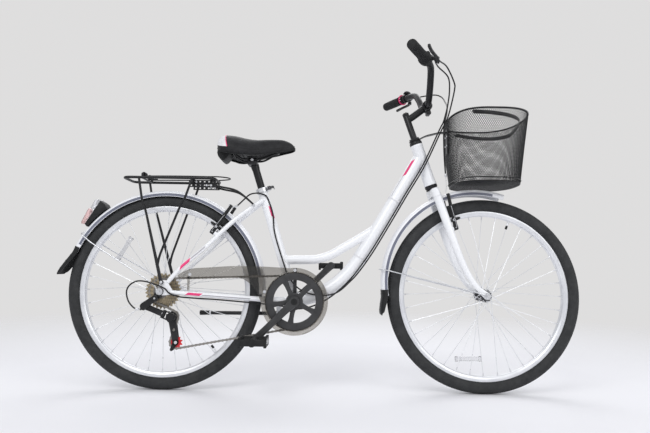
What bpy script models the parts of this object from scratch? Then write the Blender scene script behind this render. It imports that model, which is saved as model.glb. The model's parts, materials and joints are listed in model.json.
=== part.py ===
"""A step-through city bicycle with fenders, a luggage rack and a front basket.

The design frame has the rear axle at x = 0, +X forward, +Y left, +Z up and the ground at z = 0.
Everything hangs from one empty that moves the middle of the bicycle's length to x = 0.
"""

import math

import bmesh
import bpy
from mathutils import Matrix, Vector

# Driving dimensions, in metres and degrees
WHEELBASE = 1.0756
TYRE_RADIUS = 0.3265
TYRE_HALF_WIDTH = 0.0221
RIM_RADIUS = 0.2861
RIM_INNER_RADIUS = 0.2685
RIM_HALF_WIDTH = 0.0122
SPOKE_RADIUS = 0.001
SPOKES_PER_FLANGE = 18
CRANK_X, CRANK_Z = 0.4386, 0.2995
CRANK_LENGTH = 0.170
CRANK_ANGLE = math.radians(224.6)
SEAT_ANGLE = math.radians(72.06)
SEAT_TUBE_LENGTH = 0.3915
STEER_TILT = math.radians(19.3)
HEAD_TOP = Vector((0.845, 0, 0.855))
HEAD_LENGTH = 0.163
CHAIN_Y = -0.046
RING_PITCH_RADIUS = 0.0849
COG_PITCH_RADIUS = 0.0406
PULLEY_PITCH_RADIUS = 0.0205
REAR_FENDER_RADIUS = 0.340
FRONT_FENDER_RADIUS = 0.3184
FENDER_HALF_WIDTH = 0.0285
MUDFLAP_REACH = 0.367
GAP = 0.0004

ALONG_Y = Vector((0, 1, 0))
REAR_AXLE = Vector((0, 0, TYRE_RADIUS))
FRONT_AXLE = Vector((WHEELBASE, 0, TYRE_RADIUS))
CRANK_AXLE = Vector((CRANK_X, 0, CRANK_Z))
MIDDLE_X = (WHEELBASE + TYRE_RADIUS - MUDFLAP_REACH) / 2
SEAT_UP = Vector((-math.cos(SEAT_ANGLE), 0, math.sin(SEAT_ANGLE)))
SEAT_FORWARD = Vector((math.sin(SEAT_ANGLE), 0, math.cos(SEAT_ANGLE)))
STEER_DOWN = Vector((math.sin(STEER_TILT), 0, -math.cos(STEER_TILT)))
STEER_FORWARD = Vector((math.cos(STEER_TILT), 0, math.sin(STEER_TILT)))

# Materials: colour, roughness, metallic
FINISHES = {
    "white_paint": ((0.83, 0.84, 0.86), 0.25, 0.0),
    "black_paint": ((0.02, 0.02, 0.022), 0.35, 0.2),
    "tyre_rubber": ((0.03, 0.03, 0.032), 0.8, 0.0),
    "black_plastic": ((0.03, 0.03, 0.033), 0.5, 0.0),
    "bright_alloy": ((0.78, 0.79, 0.80), 0.25, 1.0),
    "dark_steel": ((0.16, 0.15, 0.14), 0.4, 1.0),
    "brass_steel": ((0.36, 0.30, 0.20), 0.4, 1.0),
    "smoked_plastic": ((0.22, 0.21, 0.19), 0.2, 0.0),
    "red_plastic": ((0.75, 0.02, 0.03), 0.4, 0.0),
    "lamp_lens": ((0.6, 0.02, 0.03), 0.1, 0.0),
    "saddle_vinyl": ((0.03, 0.03, 0.032), 0.55, 0.0),
}


# Modelling helpers
def material(name):
    """The named finish as a Principled material."""
    if name in bpy.data.materials:
        return bpy.data.materials[name]
    colour, roughness, metallic = FINISHES[name]
    made = bpy.data.materials.new(name)
    made.use_nodes = True
    shader = made.node_tree.nodes["Principled BSDF"]
    shader.inputs["Base Color"].default_value = (*colour, 1)
    shader.inputs["Roughness"].default_value = roughness
    shader.inputs["Metallic"].default_value = metallic
    made.diffuse_color = (*colour, 1)
    return made


def solid(points, faces):
    """A mesh from points and faces, with its faces turned outwards."""
    mesh = bpy.data.meshes.new("shape")
    mesh.from_pydata([tuple(point) for point in points], [], faces)
    return outward(mesh)


def outward(mesh):
    work = bmesh.new()
    work.from_mesh(mesh)
    bmesh.ops.recalc_face_normals(work, faces=work.faces)
    if work.calc_volume(signed=True) < 0:
        bmesh.ops.reverse_faces(work, faces=work.faces)
    work.to_mesh(mesh)
    work.free()
    return mesh


def directions(path, closed):
    """The unit direction of the path at each of its points."""
    last = len(path) - 1
    found = []
    for place in range(len(path)):
        before = path[place - 1] if place or closed else path[0]
        after = path[(place + 1) % len(path)] if place < last or closed else path[last]
        found.append((after - before).normalized())
    return found


def sweep(path, section, scales=None, side=None, closed=False):
    """A solid whose section of (across, up) points follows the path; across keeps to side where given."""
    path = [Vector(point) for point in path]
    scales = scales or [1] * len(path)
    heading = directions(path, closed)
    across = side.copy() if side else heading[0].orthogonal()
    points = []
    for place, (centre, ahead, scale) in enumerate(zip(path, heading, scales)):
        if place and not side:
            across = heading[place - 1].rotation_difference(ahead) @ across
        across = (across - across.dot(ahead) * ahead).normalized()
        up = across.cross(ahead)
        wide, high = scale if isinstance(scale, tuple) else (scale, scale)
        points += [centre + across * (a * wide) + up * (b * high) for a, b in section]
        across = side.copy() if side else across
    count = len(section)
    rings = len(path)
    faces = []
    for ring in range(rings if closed else rings - 1):
        first, second = ring * count, (ring + 1) % rings * count
        for place in range(count):
            following = (place + 1) % count
            faces.append((first + place, first + following, second + following, second + place))
    if not closed:
        faces.append(tuple(range(count)))
        faces.append(tuple(range((rings - 1) * count, rings * count)))
    return solid(points, faces)


def circle(radius, sides=8):
    """A round section."""
    turn = math.tau / sides
    return [
        (radius * math.cos(turn * (place + 0.5)), radius * math.sin(turn * (place + 0.5)))
        for place in range(sides)
    ]


def bar(half_width, half_height):
    """A rectangular section."""
    return [
        (-half_width, -half_height),
        (half_width, -half_height),
        (half_width, half_height),
        (-half_width, half_height),
    ]


def rod(start, end, radius, sides=8, end_radius=None):
    """A straight round bar."""
    ends = [1, (end_radius or radius) / radius]
    return sweep([start, end], circle(radius, sides), scales=ends)


def block(centre, size, along=None, up=None):
    """A box of the given size about its centre, turned so that its length runs along a direction."""
    along = Vector(along or (1, 0, 0)).normalized()
    up = Vector(up or (0, 0, 1))
    half = along * (size[0] / 2)
    centre = Vector(centre)
    across = up.cross(along).normalized()
    return sweep([centre - half, centre + half], bar(size[1] / 2, size[2] / 2), side=across)


def plate(outline, low, high):
    """A flat plate: an (x, z) outline extruded from y = low to y = high."""
    count = len(outline)
    points = [(x, y, z) for y in (low, high) for x, z in outline]
    faces = [tuple(range(count)), tuple(range(count, 2 * count))]
    for place in range(count):
        following = (place + 1) % count
        faces.append((place, following, count + following, count + place))
    return solid(points, faces)


def turned(profile, centre, axis=ALONG_Y, steps=16, ring=False):
    """The (radius, along) profile spun about an axis through the centre; a ring's profile is closed."""
    axis = Vector(axis).normalized()
    centre = Vector(centre)
    out = Vector((1, 0, 0))
    out = (out - out.dot(axis) * axis).normalized()
    work = bmesh.new()
    verts = [work.verts.new(centre + axis * along + out * radius) for radius, along in profile]
    edges = [work.edges.new(pair) for pair in zip(verts, verts[1:])]
    if ring:
        edges.append(work.edges.new((verts[-1], verts[0])))
    bmesh.ops.spin(
        work, geom=verts + edges, cent=centre, axis=axis, angle=math.tau, steps=steps, use_merge=True
    )
    bmesh.ops.remove_doubles(work, verts=work.verts, dist=1e-6)
    mesh = bpy.data.meshes.new("turned")
    work.to_mesh(mesh)
    work.free()
    return outward(mesh)


def washer(centre, inner, outer, low, high, axis=ALONG_Y, steps=16):
    """A ring with a bore, from low to high along its axis."""
    profile = [(inner, low), (outer, low), (outer, high), (inner, high)]
    return turned(profile, centre, axis, steps, ring=True)


def smooth(points, steps=4, closed=False):
    """Points along a smooth curve through the given ones."""
    points = [Vector(point) for point in points]
    count = len(points)
    curve = []
    for place in range(count if closed else count - 1):
        if closed:
            a, b, c, d = (points[(place + shift) % count] for shift in (-1, 0, 1, 2))
        else:
            a, b = points[max(place - 1, 0)], points[place]
            c, d = points[place + 1], points[min(place + 2, count - 1)]
        for step in range(steps):
            t = step / steps
            curve.append(
                0.5 * (2 * b + (c - a) * t + (2 * a - 5 * b + 4 * c - d) * t**2 + (3 * b - a - 3 * c + d) * t**3)
            )
    return curve if closed else curve + [points[-1]]


def rounded(points, radius, steps=3, closed=False):
    """The same run of straights with each corner rounded."""
    points = [Vector(point) for point in points]
    count = len(points)
    path = []
    for place, corner in enumerate(points):
        if not closed and place in (0, count - 1):
            path.append(corner)
            continue
        back = (points[place - 1] - corner).normalized()
        ahead = (points[(place + 1) % count] - corner).normalized()
        for step in range(steps + 1):
            t = step / steps
            path.append(corner + back * radius * (1 - t) ** 2 + ahead * radius * t**2)
    return path


def boolean(body, others, operation):
    """The body united with the other meshes, or cut by them."""
    target = bpy.data.objects.new("target", body)
    bpy.context.scene.collection.objects.link(target)
    group = bpy.data.collections.new("operands")
    bpy.context.scene.collection.children.link(group)
    for mesh in others:
        group.objects.link(bpy.data.objects.new("operand", mesh))
    modifier = target.modifiers.new("boolean", "BOOLEAN")
    modifier.operation = operation
    modifier.operand_type = "COLLECTION"
    modifier.collection = group
    modifier.solver = "EXACT"
    bpy.context.view_layer.update()
    evaluated = target.evaluated_get(bpy.context.evaluated_depsgraph_get())
    result = bpy.data.meshes.new_from_object(evaluated)
    for helper in [target, *group.objects]:
        bpy.data.objects.remove(helper)
    bpy.data.collections.remove(group)
    return result


def unite(*meshes):
    return boolean(meshes[0], meshes[1:], "UNION")


def cut(body, *cutters):
    return boolean(body, cutters, "DIFFERENCE")


def mirrored(mesh):
    """The same shape on the other side of the bicycle's middle plane."""
    copy = mesh.copy()
    copy.transform(Matrix.Scale(-1, 4, ALONG_Y))
    return outward(copy)


def add(name, mesh, finish, pivot=(0, 0, 0)):
    """Places a mesh as a named sub-part whose origin is the pivot."""
    mesh.transform(Matrix.Translation(-Vector(pivot)))
    mesh.materials.clear()
    mesh.materials.append(material(finish))
    mesh.shade_smooth()
    mesh.set_sharp_from_angle(angle=math.radians(35))
    mesh.name = name
    made = bpy.data.objects.new(name, mesh)
    bpy.context.scene.collection.objects.link(made)
    made.location = pivot
    made.parent = bpy.data.objects["bicycle"]
    return made


def add_cord(name, points, radius, finish, steps=3):
    """A cable as a curve with a round bevel and filled caps, through a smooth run of points."""
    data = bpy.data.curves.new(name, "CURVE")
    data.dimensions = "3D"
    data.bevel_depth = radius
    data.bevel_resolution = 1
    data.use_fill_caps = True
    path = smooth(points, steps)
    spline = data.splines.new("POLY")
    spline.points.add(len(path) - 1)
    for target, point in zip(spline.points, path):
        target.co = (*point, 1)
    data.materials.append(material(finish))
    made = bpy.data.objects.new(name, data)
    bpy.context.scene.collection.objects.link(made)
    made.parent = bpy.data.objects["bicycle"]
    return made


def on_wheel(axle, radius, angle, y=0.0):
    """A point at a radius and angle about an axle, y to the left."""
    return Vector((axle.x + radius * math.cos(angle), y, axle.z + radius * math.sin(angle)))


def arc(centre, radius, start, end, steps):
    """(x, z) points along an arc, with its angles in degrees."""
    turn = (end - start) / steps
    angles = [math.radians(start + turn * step) for step in range(steps + 1)]
    return [(centre.x + radius * math.cos(a), centre.z + radius * math.sin(a)) for a in angles]


def steer(down, forward=0.0, y=0.0):
    """A point measured down and ahead of the top of the steering axis."""
    return HEAD_TOP + STEER_DOWN * down + STEER_FORWARD * forward + ALONG_Y * y


def seat_line(up, forward=0.0, y=0.0):
    """A point measured up and ahead of the crank axle along the seat tube."""
    return CRANK_AXLE + SEAT_UP * up + SEAT_FORWARD * forward + ALONG_Y * y


# Wheels
WHEEL_STEPS = 32
FLANGE_HALF_THICKNESS = 0.0015
HOLE_RADIUS = 0.0185


def make_rim(name, axle):
    well, wall = 0.2790, 0.0092
    upper = [(RIM_INNER_RADIUS, 0.0088), (RIM_RADIUS, RIM_HALF_WIDTH), (RIM_RADIUS, wall), (well, wall)]
    profile = upper + [(radius, -y) for radius, y in reversed(upper)]
    add(name, turned(profile, axle, steps=WHEEL_STEPS, ring=True), "bright_alloy", axle)


def make_tyre(name, axle):
    bead, flank = 0.0088, TYRE_HALF_WIDTH
    half = [(0.2794, bead), (0.2866, bead), (0.3015, flank), (0.3185, 0.0160), (TYRE_RADIUS - 0.0009, 0.0062)]
    profile = half + [(TYRE_RADIUS, 0.0)] + [(radius, -y) for radius, y in reversed(half)]
    add(name, turned(profile, axle, steps=WHEEL_STEPS, ring=True), "tyre_rubber", axle)


def spokes(axle, flanges):
    """Straight spokes from both flanges, each crossing three others."""
    made = []
    pitch = math.tau / SPOKES_PER_FLANGE
    reach = RIM_INNER_RADIUS * math.cos(math.pi / WHEEL_STEPS) - 2 * GAP
    for order, flange_y in enumerate(flanges):
        for count in range(SPOKES_PER_FLANGE):
            lean = 1 if count % 2 else -1
            at_rim = pitch * (count + order / 2)
            at_hub = at_rim - lean * 3 * pitch
            foot = on_wheel(axle, HOLE_RADIUS, at_hub, flange_y + lean * (FLANGE_HALF_THICKNESS + 0.0001))
            head = on_wheel(axle, reach, at_rim, math.copysign(0.002, flange_y))
            made.append(rod(foot, head, SPOKE_RADIUS, 3))
    return made


def flange(radius, y):
    """The two profile points of a hub flange, from right to left."""
    return [(radius, y - FLANGE_HALF_THICKNESS), (radius, y + FLANGE_HALF_THICKNESS)]


REAR_FLANGES = (-0.0215, 0.0340)
FRONT_FLANGES = (-0.0345, 0.0345)
REAR_AXLE_RADIUS = 0.0049
FRONT_AXLE_RADIUS = 0.0044
FREEWHEEL_BORE = 0.0145
BOSS_LENGTH = 0.0065


def make_rear_hub():
    bore = REAR_AXLE_RADIUS + 2 * GAP
    right, left = REAR_FLANGES
    profile = [(bore, right - BOSS_LENGTH), (FREEWHEEL_BORE - GAP, right - BOSS_LENGTH)]
    profile.append((FREEWHEEL_BORE - GAP, right - 0.0025))
    profile += flange(0.0225, right) + [(0.0140, right + 0.004), (0.0140, left - 0.004)]
    profile += flange(0.0225, left) + [(0.0120, left + 0.004), (0.0110, 0.0600), (bore, 0.0600)]
    hub = turned(profile, REAR_AXLE, steps=8, ring=True)
    add("rear_spoked_hub", unite(hub, *spokes(REAR_AXLE, REAR_FLANGES)), "bright_alloy", REAR_AXLE)


def make_front_hub():
    bore = FRONT_AXLE_RADIUS + 2 * GAP
    right, left = FRONT_FLANGES
    profile = [(bore, -0.0435), (0.0095, -0.0435), (0.0105, right - 0.004)]
    profile += flange(0.0215, right) + [(0.0100, right + 0.005), (0.0100, left - 0.005)]
    profile += flange(0.0215, left) + [(0.0105, left + 0.004), (0.0095, 0.0435), (bore, 0.0435)]
    hub = turned(profile, FRONT_AXLE, steps=8, ring=True)
    add("front_spoked_hub", unite(hub, *spokes(FRONT_AXLE, FRONT_FLANGES)), "bright_alloy", FRONT_AXLE)


def make_rear_axle():
    """Axle with its cones inside the dropouts and its nuts outside them."""
    rod_radius, nut = REAR_AXLE_RADIUS, 0.0088
    cone = [(0.0085, 0.0604), (0.0085, 0.0671), (rod_radius, 0.0671)]
    outer = [(rod_radius, 0.0799), (nut, 0.0799), (nut, 0.0885), (rod_radius, 0.0885), (rod_radius, 0.0925)]
    left = [(rod_radius, 0.0604), *cone, *outer, (0, 0.0925)]
    right = [(radius, -y) for radius, y in reversed(left)]
    add("rear_axle", turned(right + left, REAR_AXLE, steps=6), "bright_alloy", REAR_AXLE)


def make_front_axle():
    rod_radius, nut = FRONT_AXLE_RADIUS, 0.0078
    cone = [(0.0078, 0.0439), (0.0078, 0.0496), (rod_radius, 0.0496)]
    outer = [(rod_radius, 0.0580), (nut, 0.0580), (nut, 0.0655), (rod_radius, 0.0655), (rod_radius, 0.0690)]
    left = [(rod_radius, 0.0439), *cone, *outer, (0, 0.0690)]
    right = [(radius, -y) for radius, y in reversed(left)]
    add("front_axle", turned(right + left, FRONT_AXLE, steps=6), "bright_alloy", FRONT_AXLE)


def make_wheels():
    make_rim("rear_rim", REAR_AXLE)
    make_tyre("rear_tyre", REAR_AXLE)
    make_rear_hub()
    make_rear_axle()
    make_rim("front_rim", FRONT_AXLE)
    make_tyre("front_tyre", FRONT_AXLE)
    make_front_hub()
    make_front_axle()


# Drive train
CHAIN_HALF_WIDTH = 0.0035
CHAIN_HALF_HEIGHT = 0.004
GUIDE_AXLE = Vector((0.037, 0, 0.243))
TENSION_AXLE = Vector((0.053, 0, 0.161))
SPINDLE_RADIUS = 0.0085
CRANK_INNER_Y = 0.0620
CRANK_OUTER_Y = 0.0750
CRANK_FLARE = 0.006
PEDAL_INNER_Y, PEDAL_OUTER_Y = 0.0880, 0.1850
PEDAL_HALF_LENGTH, PEDAL_HALF_HEIGHT = 0.0440, 0.0150
PEDAL_AXLE_RADIUS = 0.0063
GUARD_RADIUS = 0.1105
GUARD_Y = 0.0555
RIGHT_PEDAL_AXLE = on_wheel(CRANK_AXLE, CRANK_LENGTH, CRANK_ANGLE)
LEFT_PEDAL_AXLE = on_wheel(CRANK_AXLE, CRANK_LENGTH, CRANK_ANGLE + math.pi)


def capsule(first, first_radius, second, second_radius, steps=5):
    """The (x, z) outline of a bar with two round ends."""
    run = second - first
    heading = math.degrees(math.atan2(run.z, run.x))
    splay = math.degrees(math.acos((first_radius - second_radius) / run.length))
    near = arc(first, first_radius, heading + splay, heading + 360 - splay, steps)
    return near + arc(second, second_radius, heading - splay, heading + splay, steps)


def belt(wheels):
    """The closed path of a chain round (centre, radius, turn, steps) wheels, in order, as (x, z) points."""
    arrivals, departures = [], []
    for place, (centre, radius, turn, steps) in enumerate(wheels):
        following, next_radius, next_turn = wheels[(place + 1) % len(wheels)][:3]
        run = following - centre
        swing = math.asin((next_turn * next_radius - turn * radius) / run.length)
        heading = math.atan2(run.z, run.x) - swing
        departures.append((heading, turn))
        arrivals.append((heading, next_turn))
    path = []
    for place, (centre, radius, turn, steps) in enumerate(wheels):
        start = math.degrees(arrivals[place - 1][0]) - 90 * turn
        end = math.degrees(departures[place][0]) - 90 * turn
        sweep_angle = (end - start) * turn % 360
        path += arc(centre, radius, start, start + turn * sweep_angle, steps)
    return path


def make_chain():
    wheels = [
        (CRANK_AXLE, RING_PITCH_RADIUS, 1, 16),
        (REAR_AXLE, COG_PITCH_RADIUS, 1, 10),
        (GUIDE_AXLE, PULLEY_PITCH_RADIUS, -1, 5),
        (TENSION_AXLE, PULLEY_PITCH_RADIUS, 1, 8),
    ]
    path = [(x, CHAIN_Y, z) for x, z in belt(wheels)]
    section = bar(CHAIN_HALF_WIDTH, CHAIN_HALF_HEIGHT)
    add("chain", sweep(path, section, side=ALONG_Y, closed=True), "dark_steel")


def make_freewheel():
    """Seven cogs as one stepped body on the hub's boss; the chain lies in the step of the 20-tooth cog."""
    steps = [
        (0.0567, -0.0300, -0.0335),
        (0.0487, -0.0335, -0.0380),
        (0.0446, -0.0380, -0.0420),
        (0.0357, -0.0420, -0.0502),
        (0.0366, -0.0502, -0.0535),
        (0.0326, -0.0535, -0.0580),
        (0.0285, -0.0580, -0.0620),
    ]
    back_y = REAR_FLANGES[0] - 0.0025
    profile = [(FREEWHEEL_BORE, back_y), (0.0190, back_y), (0.0190, steps[0][1])]
    for radius, inner_y, outer_y in steps:
        profile += [(radius, inner_y), (radius, outer_y)]
    profile.append((FREEWHEEL_BORE, steps[-1][2]))
    add("freewheel", turned(profile, REAR_AXLE, steps=16, ring=True), "brass_steel", REAR_AXLE)


def make_chainring():
    """Toothed ring and outer guard ring on a five-armed spider."""
    inner, teeth, outer = 0.0700, 0.0795, 0.0960
    ring = [(inner, -0.0445), (teeth, -0.0445), (teeth, -0.0475), (0.0765, -0.0475)]
    ring += [(0.0765, -0.0512), (outer, -0.0512), (outer, -0.0535), (inner, -0.0535)]
    pieces = [turned(ring, CRANK_AXLE, steps=24, ring=True)]
    pieces.append(washer(CRANK_AXLE, 0.0160, 0.0260, -0.0535, -0.0470, steps=12))
    for arm in range(5):
        angle = CRANK_ANGLE + math.radians(36 + 72 * arm)
        middle = on_wheel(CRANK_AXLE, 0.0480, angle, -0.0508)
        outwards = on_wheel(Vector(), 1, angle)
        pieces.append(block(middle, (0.0530, 0.0044, 0.0150), outwards, outwards.cross(ALONG_Y)))
    add("chainring", unite(*pieces), "black_paint", CRANK_AXLE)


def make_cranks():
    """Cranks with the pedal axles screwed into them; the spindle goes with the right one."""
    spindle_end = ALONG_Y * (CRANK_OUTER_Y - 0.0019)
    spindle = rod(CRANK_AXLE - spindle_end, CRANK_AXLE + spindle_end, SPINDLE_RADIUS, 12)
    for name, pedal, side in (("right_crank", RIGHT_PEDAL_AXLE, -1), ("left_crank", LEFT_PEDAL_AXLE, 1)):
        inner, outer = sorted((side * CRANK_INNER_Y, side * CRANK_OUTER_Y))
        arm = plate(capsule(CRANK_AXLE, 0.0180, pedal, 0.0135), inner, outer)
        for vertex in arm.vertices:
            share = (vertex.co - CRANK_AXLE).dot(pedal - CRANK_AXLE) / CRANK_LENGTH**2
            vertex.co.y += side * CRANK_FLARE * share
        boss = rod(CRANK_AXLE + ALONG_Y * side * 0.0450, CRANK_AXLE + ALONG_Y * side * 0.0640, 0.0150, 16)
        stub_start = pedal + ALONG_Y * side * (CRANK_OUTER_Y - 0.002)
        stub = rod(stub_start, pedal + ALONG_Y * side * 0.1680, PEDAL_AXLE_RADIUS, 10)
        bore_start = CRANK_AXLE + ALONG_Y * side * 0.0400
        bore_end = CRANK_AXLE + ALONG_Y * side * (CRANK_OUTER_Y - 0.0015)
        bore = rod(bore_start, bore_end, SPINDLE_RADIUS + GAP, 14)
        crank = unite(arm, boss, stub, spindle) if side < 0 else cut(unite(arm, boss, stub), bore)
        add(name, crank, "black_paint", CRANK_AXLE)


def make_pedals():
    """Pedal bodies: an open frame round a barrel that is bored for the pedal axle."""
    for name, pedal, side in (("right_pedal", RIGHT_PEDAL_AXLE, -1), ("left_pedal", LEFT_PEDAL_AXLE, 1)):
        middle = pedal + ALONG_Y * side * (PEDAL_INNER_Y + PEDAL_OUTER_Y) / 2
        length = PEDAL_OUTER_Y - PEDAL_INNER_Y
        body = block(middle, (2 * PEDAL_HALF_LENGTH, length, 2 * PEDAL_HALF_HEIGHT))
        openings = []
        for end in (-1, 1):
            place = middle + Vector((end * 0.0245, 0, 0))
            openings.append(block(place, (0.0230, length - 0.0200, 4 * PEDAL_HALF_HEIGHT)))
        start = pedal + ALONG_Y * side * (PEDAL_INNER_Y - 0.002)
        bore = rod(start, pedal + ALONG_Y * side * 0.1700, PEDAL_AXLE_RADIUS + GAP, 10)
        add(name, cut(body, *openings, bore), "black_plastic", pedal + ALONG_Y * side * PEDAL_INNER_Y)


SHELL_HALF_WIDTH = 0.0343
SHELL_RADIUS = 0.0210
CUP_RADIUS = 0.0195


def make_bottom_bracket():
    """Bearing cartridge with its two cups, inside the shell."""
    sleeve, bore = SHELL_RADIUS - 0.0044, SPINDLE_RADIUS + GAP
    inner, outer = SHELL_HALF_WIDTH + GAP, SHELL_HALF_WIDTH + 0.0049
    right = [(bore, -outer), (CUP_RADIUS, -outer), (CUP_RADIUS, -inner), (sleeve, -inner)]
    profile = right + [(radius, -y) for radius, y in reversed(right)]
    add("bottom_bracket", turned(profile, CRANK_AXLE, steps=12, ring=True), "black_paint", CRANK_AXLE)


GUARD_TAIL_TOP = [(0.053, 0.381), (0.092, 0.401), (0.160, 0.4075), (0.240, 0.413), (0.340, 0.4125)]
GUARD_TAIL_FOOT = [(0.3130, 0.3330), (0.3020, 0.3460), (0.2860, 0.3600), (0.2700, 0.3700), (0.2500, 0.3760)]
GUARD_TAIL_FOOT += [(0.2200, 0.3766), (0.093, 0.368), (0.053, 0.372)]
GUARD_CLIP_ANGLE = -75


def make_chain_guard():
    """A flat shield outside the chain with a ring round the chainring, and a lip turned in over the chain."""
    top_angle = math.degrees(math.acos(-0.0166 / GUARD_RADIUS))
    foot_angle = 180 - math.degrees(math.asin((0.302 - CRANK_Z) / GUARD_RADIUS)) - 360
    round_ring = arc(CRANK_AXLE, GUARD_RADIUS, top_angle, foot_angle, 26)
    outline = GUARD_TAIL_TOP + round_ring[:-1] + GUARD_TAIL_FOOT
    shield = plate(outline, -GUARD_Y - 0.001, -GUARD_Y + 0.001)
    lip_ring = arc(CRANK_AXLE, GUARD_RADIUS - 0.001, top_angle, GUARD_CLIP_ANGLE, 14)
    lip_path = [(x, z - 0.001) for x, z in GUARD_TAIL_TOP[1:]] + lip_ring
    lip_middle = -GUARD_Y + 0.0093
    lip = sweep([(x, lip_middle, z) for x, z in lip_path], bar(0.0099, 0.0009), side=ALONG_Y)
    opening = rod(CRANK_AXLE - ALONG_Y * 0.07, CRANK_AXLE - ALONG_Y * 0.05, 0.0985, 24)
    strap_low, strap_high = CRANK_Z + CUP_RADIUS + GAP, CRANK_Z + GUARD_RADIUS - 0.001
    strap_middle = (CRANK_X, -0.0376, (strap_low + strap_high) / 2)
    strap = block(strap_middle, (0.0120, 0.0020, strap_high - strap_low))
    tail = block((0.088, -0.0536, 0.3535), (0.0080, 0.0024, 0.0470))
    add("chain_guard", unite(cut(shield, opening), lip, strap, tail), "smoked_plastic")


# Rear derailleur
LINK_DIRECTION = Vector((0.914, 0, -0.405)).normalized()
LINK_AXIS = Vector((0.405, 0, 0.914)).normalized()
LINK_END = GUIDE_AXLE - LINK_DIRECTION * 0.0245 + ALONG_Y * -0.0655
LINK_START = LINK_END - LINK_DIRECTION * 0.066 + ALONG_Y * -0.0125
LINK_HALF_HEIGHT = 0.0100
HANGER_BOLT = Vector((-0.011, 0, 0.305))


def ears(centre, reach, inner_y, outer_y):
    """Two lugs, above and below the link, reaching from its pin along the link's direction."""
    made = []
    for side in (-1, 1):
        middle = centre + LINK_DIRECTION * reach / 2 + LINK_AXIS * side * (LINK_HALF_HEIGHT + 0.0018)
        middle.y = (inner_y + outer_y) / 2
        size = (abs(reach) + 0.012, abs(outer_y - inner_y), 0.0026)
        made.append(block(middle, size, LINK_DIRECTION, LINK_AXIS))
    return made


def make_derailleur():
    hanger = plate(capsule(REAR_AXLE, 0.0130, HANGER_BOLT, 0.0105, 5), -0.0765, -0.0740)
    hanger = cut(hanger, rod(REAR_AXLE - ALONG_Y * 0.08, REAR_AXLE - ALONG_Y * 0.07, REAR_AXLE_RADIUS + GAP, 12))
    bolt = rod(HANGER_BOLT - ALONG_Y * 0.0750, HANGER_BOLT - ALONG_Y * 0.0920, 0.0105, 8)
    bridge = plate(capsule(HANGER_BOLT, 0.0100, LINK_START, 0.0110, 5), -0.0920, -0.0868)
    pieces = ears(LINK_START, 0.0, -0.0720, -0.0880)
    adjuster_start = Vector((LINK_START.x, -0.0894, LINK_START.z))
    adjuster = rod(adjuster_start, (-0.0560, -0.0868, 0.2675), 0.0036, 8)
    add("derailleur_base", unite(hanger, bolt, bridge, adjuster, *pieces), "black_paint", LINK_START)

    start_pin = rod(LINK_START - LINK_AXIS * LINK_HALF_HEIGHT, LINK_START + LINK_AXIS * LINK_HALF_HEIGHT, 0.006, 12)
    end_pin = rod(LINK_END - LINK_AXIS * LINK_HALF_HEIGHT, LINK_END + LINK_AXIS * LINK_HALF_HEIGHT, 0.006, 12)
    run = LINK_END - LINK_START
    web = block((LINK_START + LINK_END) / 2, (run.length, 0.0090, 1.9 * LINK_HALF_HEIGHT), run, LINK_AXIS)
    add("derailleur_link", unite(web, start_pin, end_pin), "black_paint", LINK_START)

    drum = rod(GUIDE_AXLE - ALONG_Y * 0.0543, GUIDE_AXLE - ALONG_Y * 0.0760, 0.0145, 14)
    add("derailleur_knuckle", unite(drum, *ears(LINK_END, 0.0180, -0.0590, -0.0720)), "black_paint", LINK_END)

    tail = TENSION_AXLE + Vector((-0.0130, 0, -0.0230))
    plates = []
    for low, high in ((-0.0535, -0.0515), (-0.0405, -0.0385)):
        plates.append(plate(capsule(GUIDE_AXLE, 0.0125, TENSION_AXLE, 0.0100, 4), low, high))
        plates.append(plate(capsule(TENSION_AXLE, 0.0095, tail, 0.0050, 4), low, high))
    for axle in (GUIDE_AXLE, TENSION_AXLE):
        plates.append(rod(axle - ALONG_Y * 0.0395, axle - ALONG_Y * 0.0525, 0.0025, 8))
    add("derailleur_cage", unite(*plates), "black_paint", GUIDE_AXLE)

    for name, axle, finish in (
        ("guide_pulley", GUIDE_AXLE, "black_plastic"),
        ("tension_pulley", TENSION_AXLE, "red_plastic"),
    ):
        low, high = CHAIN_Y - CHAIN_HALF_WIDTH, CHAIN_Y + CHAIN_HALF_WIDTH
        add(name, washer(axle, 0.0030, 0.0156, low, high, steps=12), finish, axle)


def make_drive_train():
    make_chain()
    make_freewheel()
    make_chainring()
    make_cranks()
    make_pedals()
    make_bottom_bracket()
    make_chain_guard()
    make_derailleur()


# Frame
HEAD_TUBE_TOP = 0.0142
HEAD_TUBE_RADIUS = 0.0208
HEAD_TUBE_BORE = 0.0174
SEAT_TUBE_RADIUS = 0.0170
SEAT_POST_RADIUS = 0.0127
SEAT_BORE_LENGTH = 0.2600
DOWN_TUBE_RADIUS = 0.0238
DOWN_TUBE = [
    (0.8590, 0.7905),
    (0.7937, 0.6780),
    (0.7387, 0.5839),
    (0.6807, 0.4869),
    (0.6450, 0.4297),
    (0.6070, 0.3843),
    (0.5640, 0.3480),
    (0.5180, 0.3220),
    (0.4480, 0.3010),
]
SECOND_TUBE_RADIUS = 0.0150
SECOND_TUBE = [
    (0.3960, 0.4360),
    (0.4525, 0.4375),
    (0.5080, 0.4405),
    (0.5520, 0.4535),
    (0.5970, 0.4790),
    (0.6570, 0.5146),
    (0.7050, 0.5450),
]
CHAINSTAY = [
    (0.4180, 0.0240, 0.2980, 0.0100),
    (0.3500, 0.0318, 0.3025, 0.0095),
    (0.3000, 0.0366, 0.3060, 0.0085),
    (0.2000, 0.0475, 0.3125, 0.0080),
    (0.1000, 0.0605, 0.3195, 0.0075),
    (0.0340, 0.0703, 0.3245, 0.0068),
]
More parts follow.
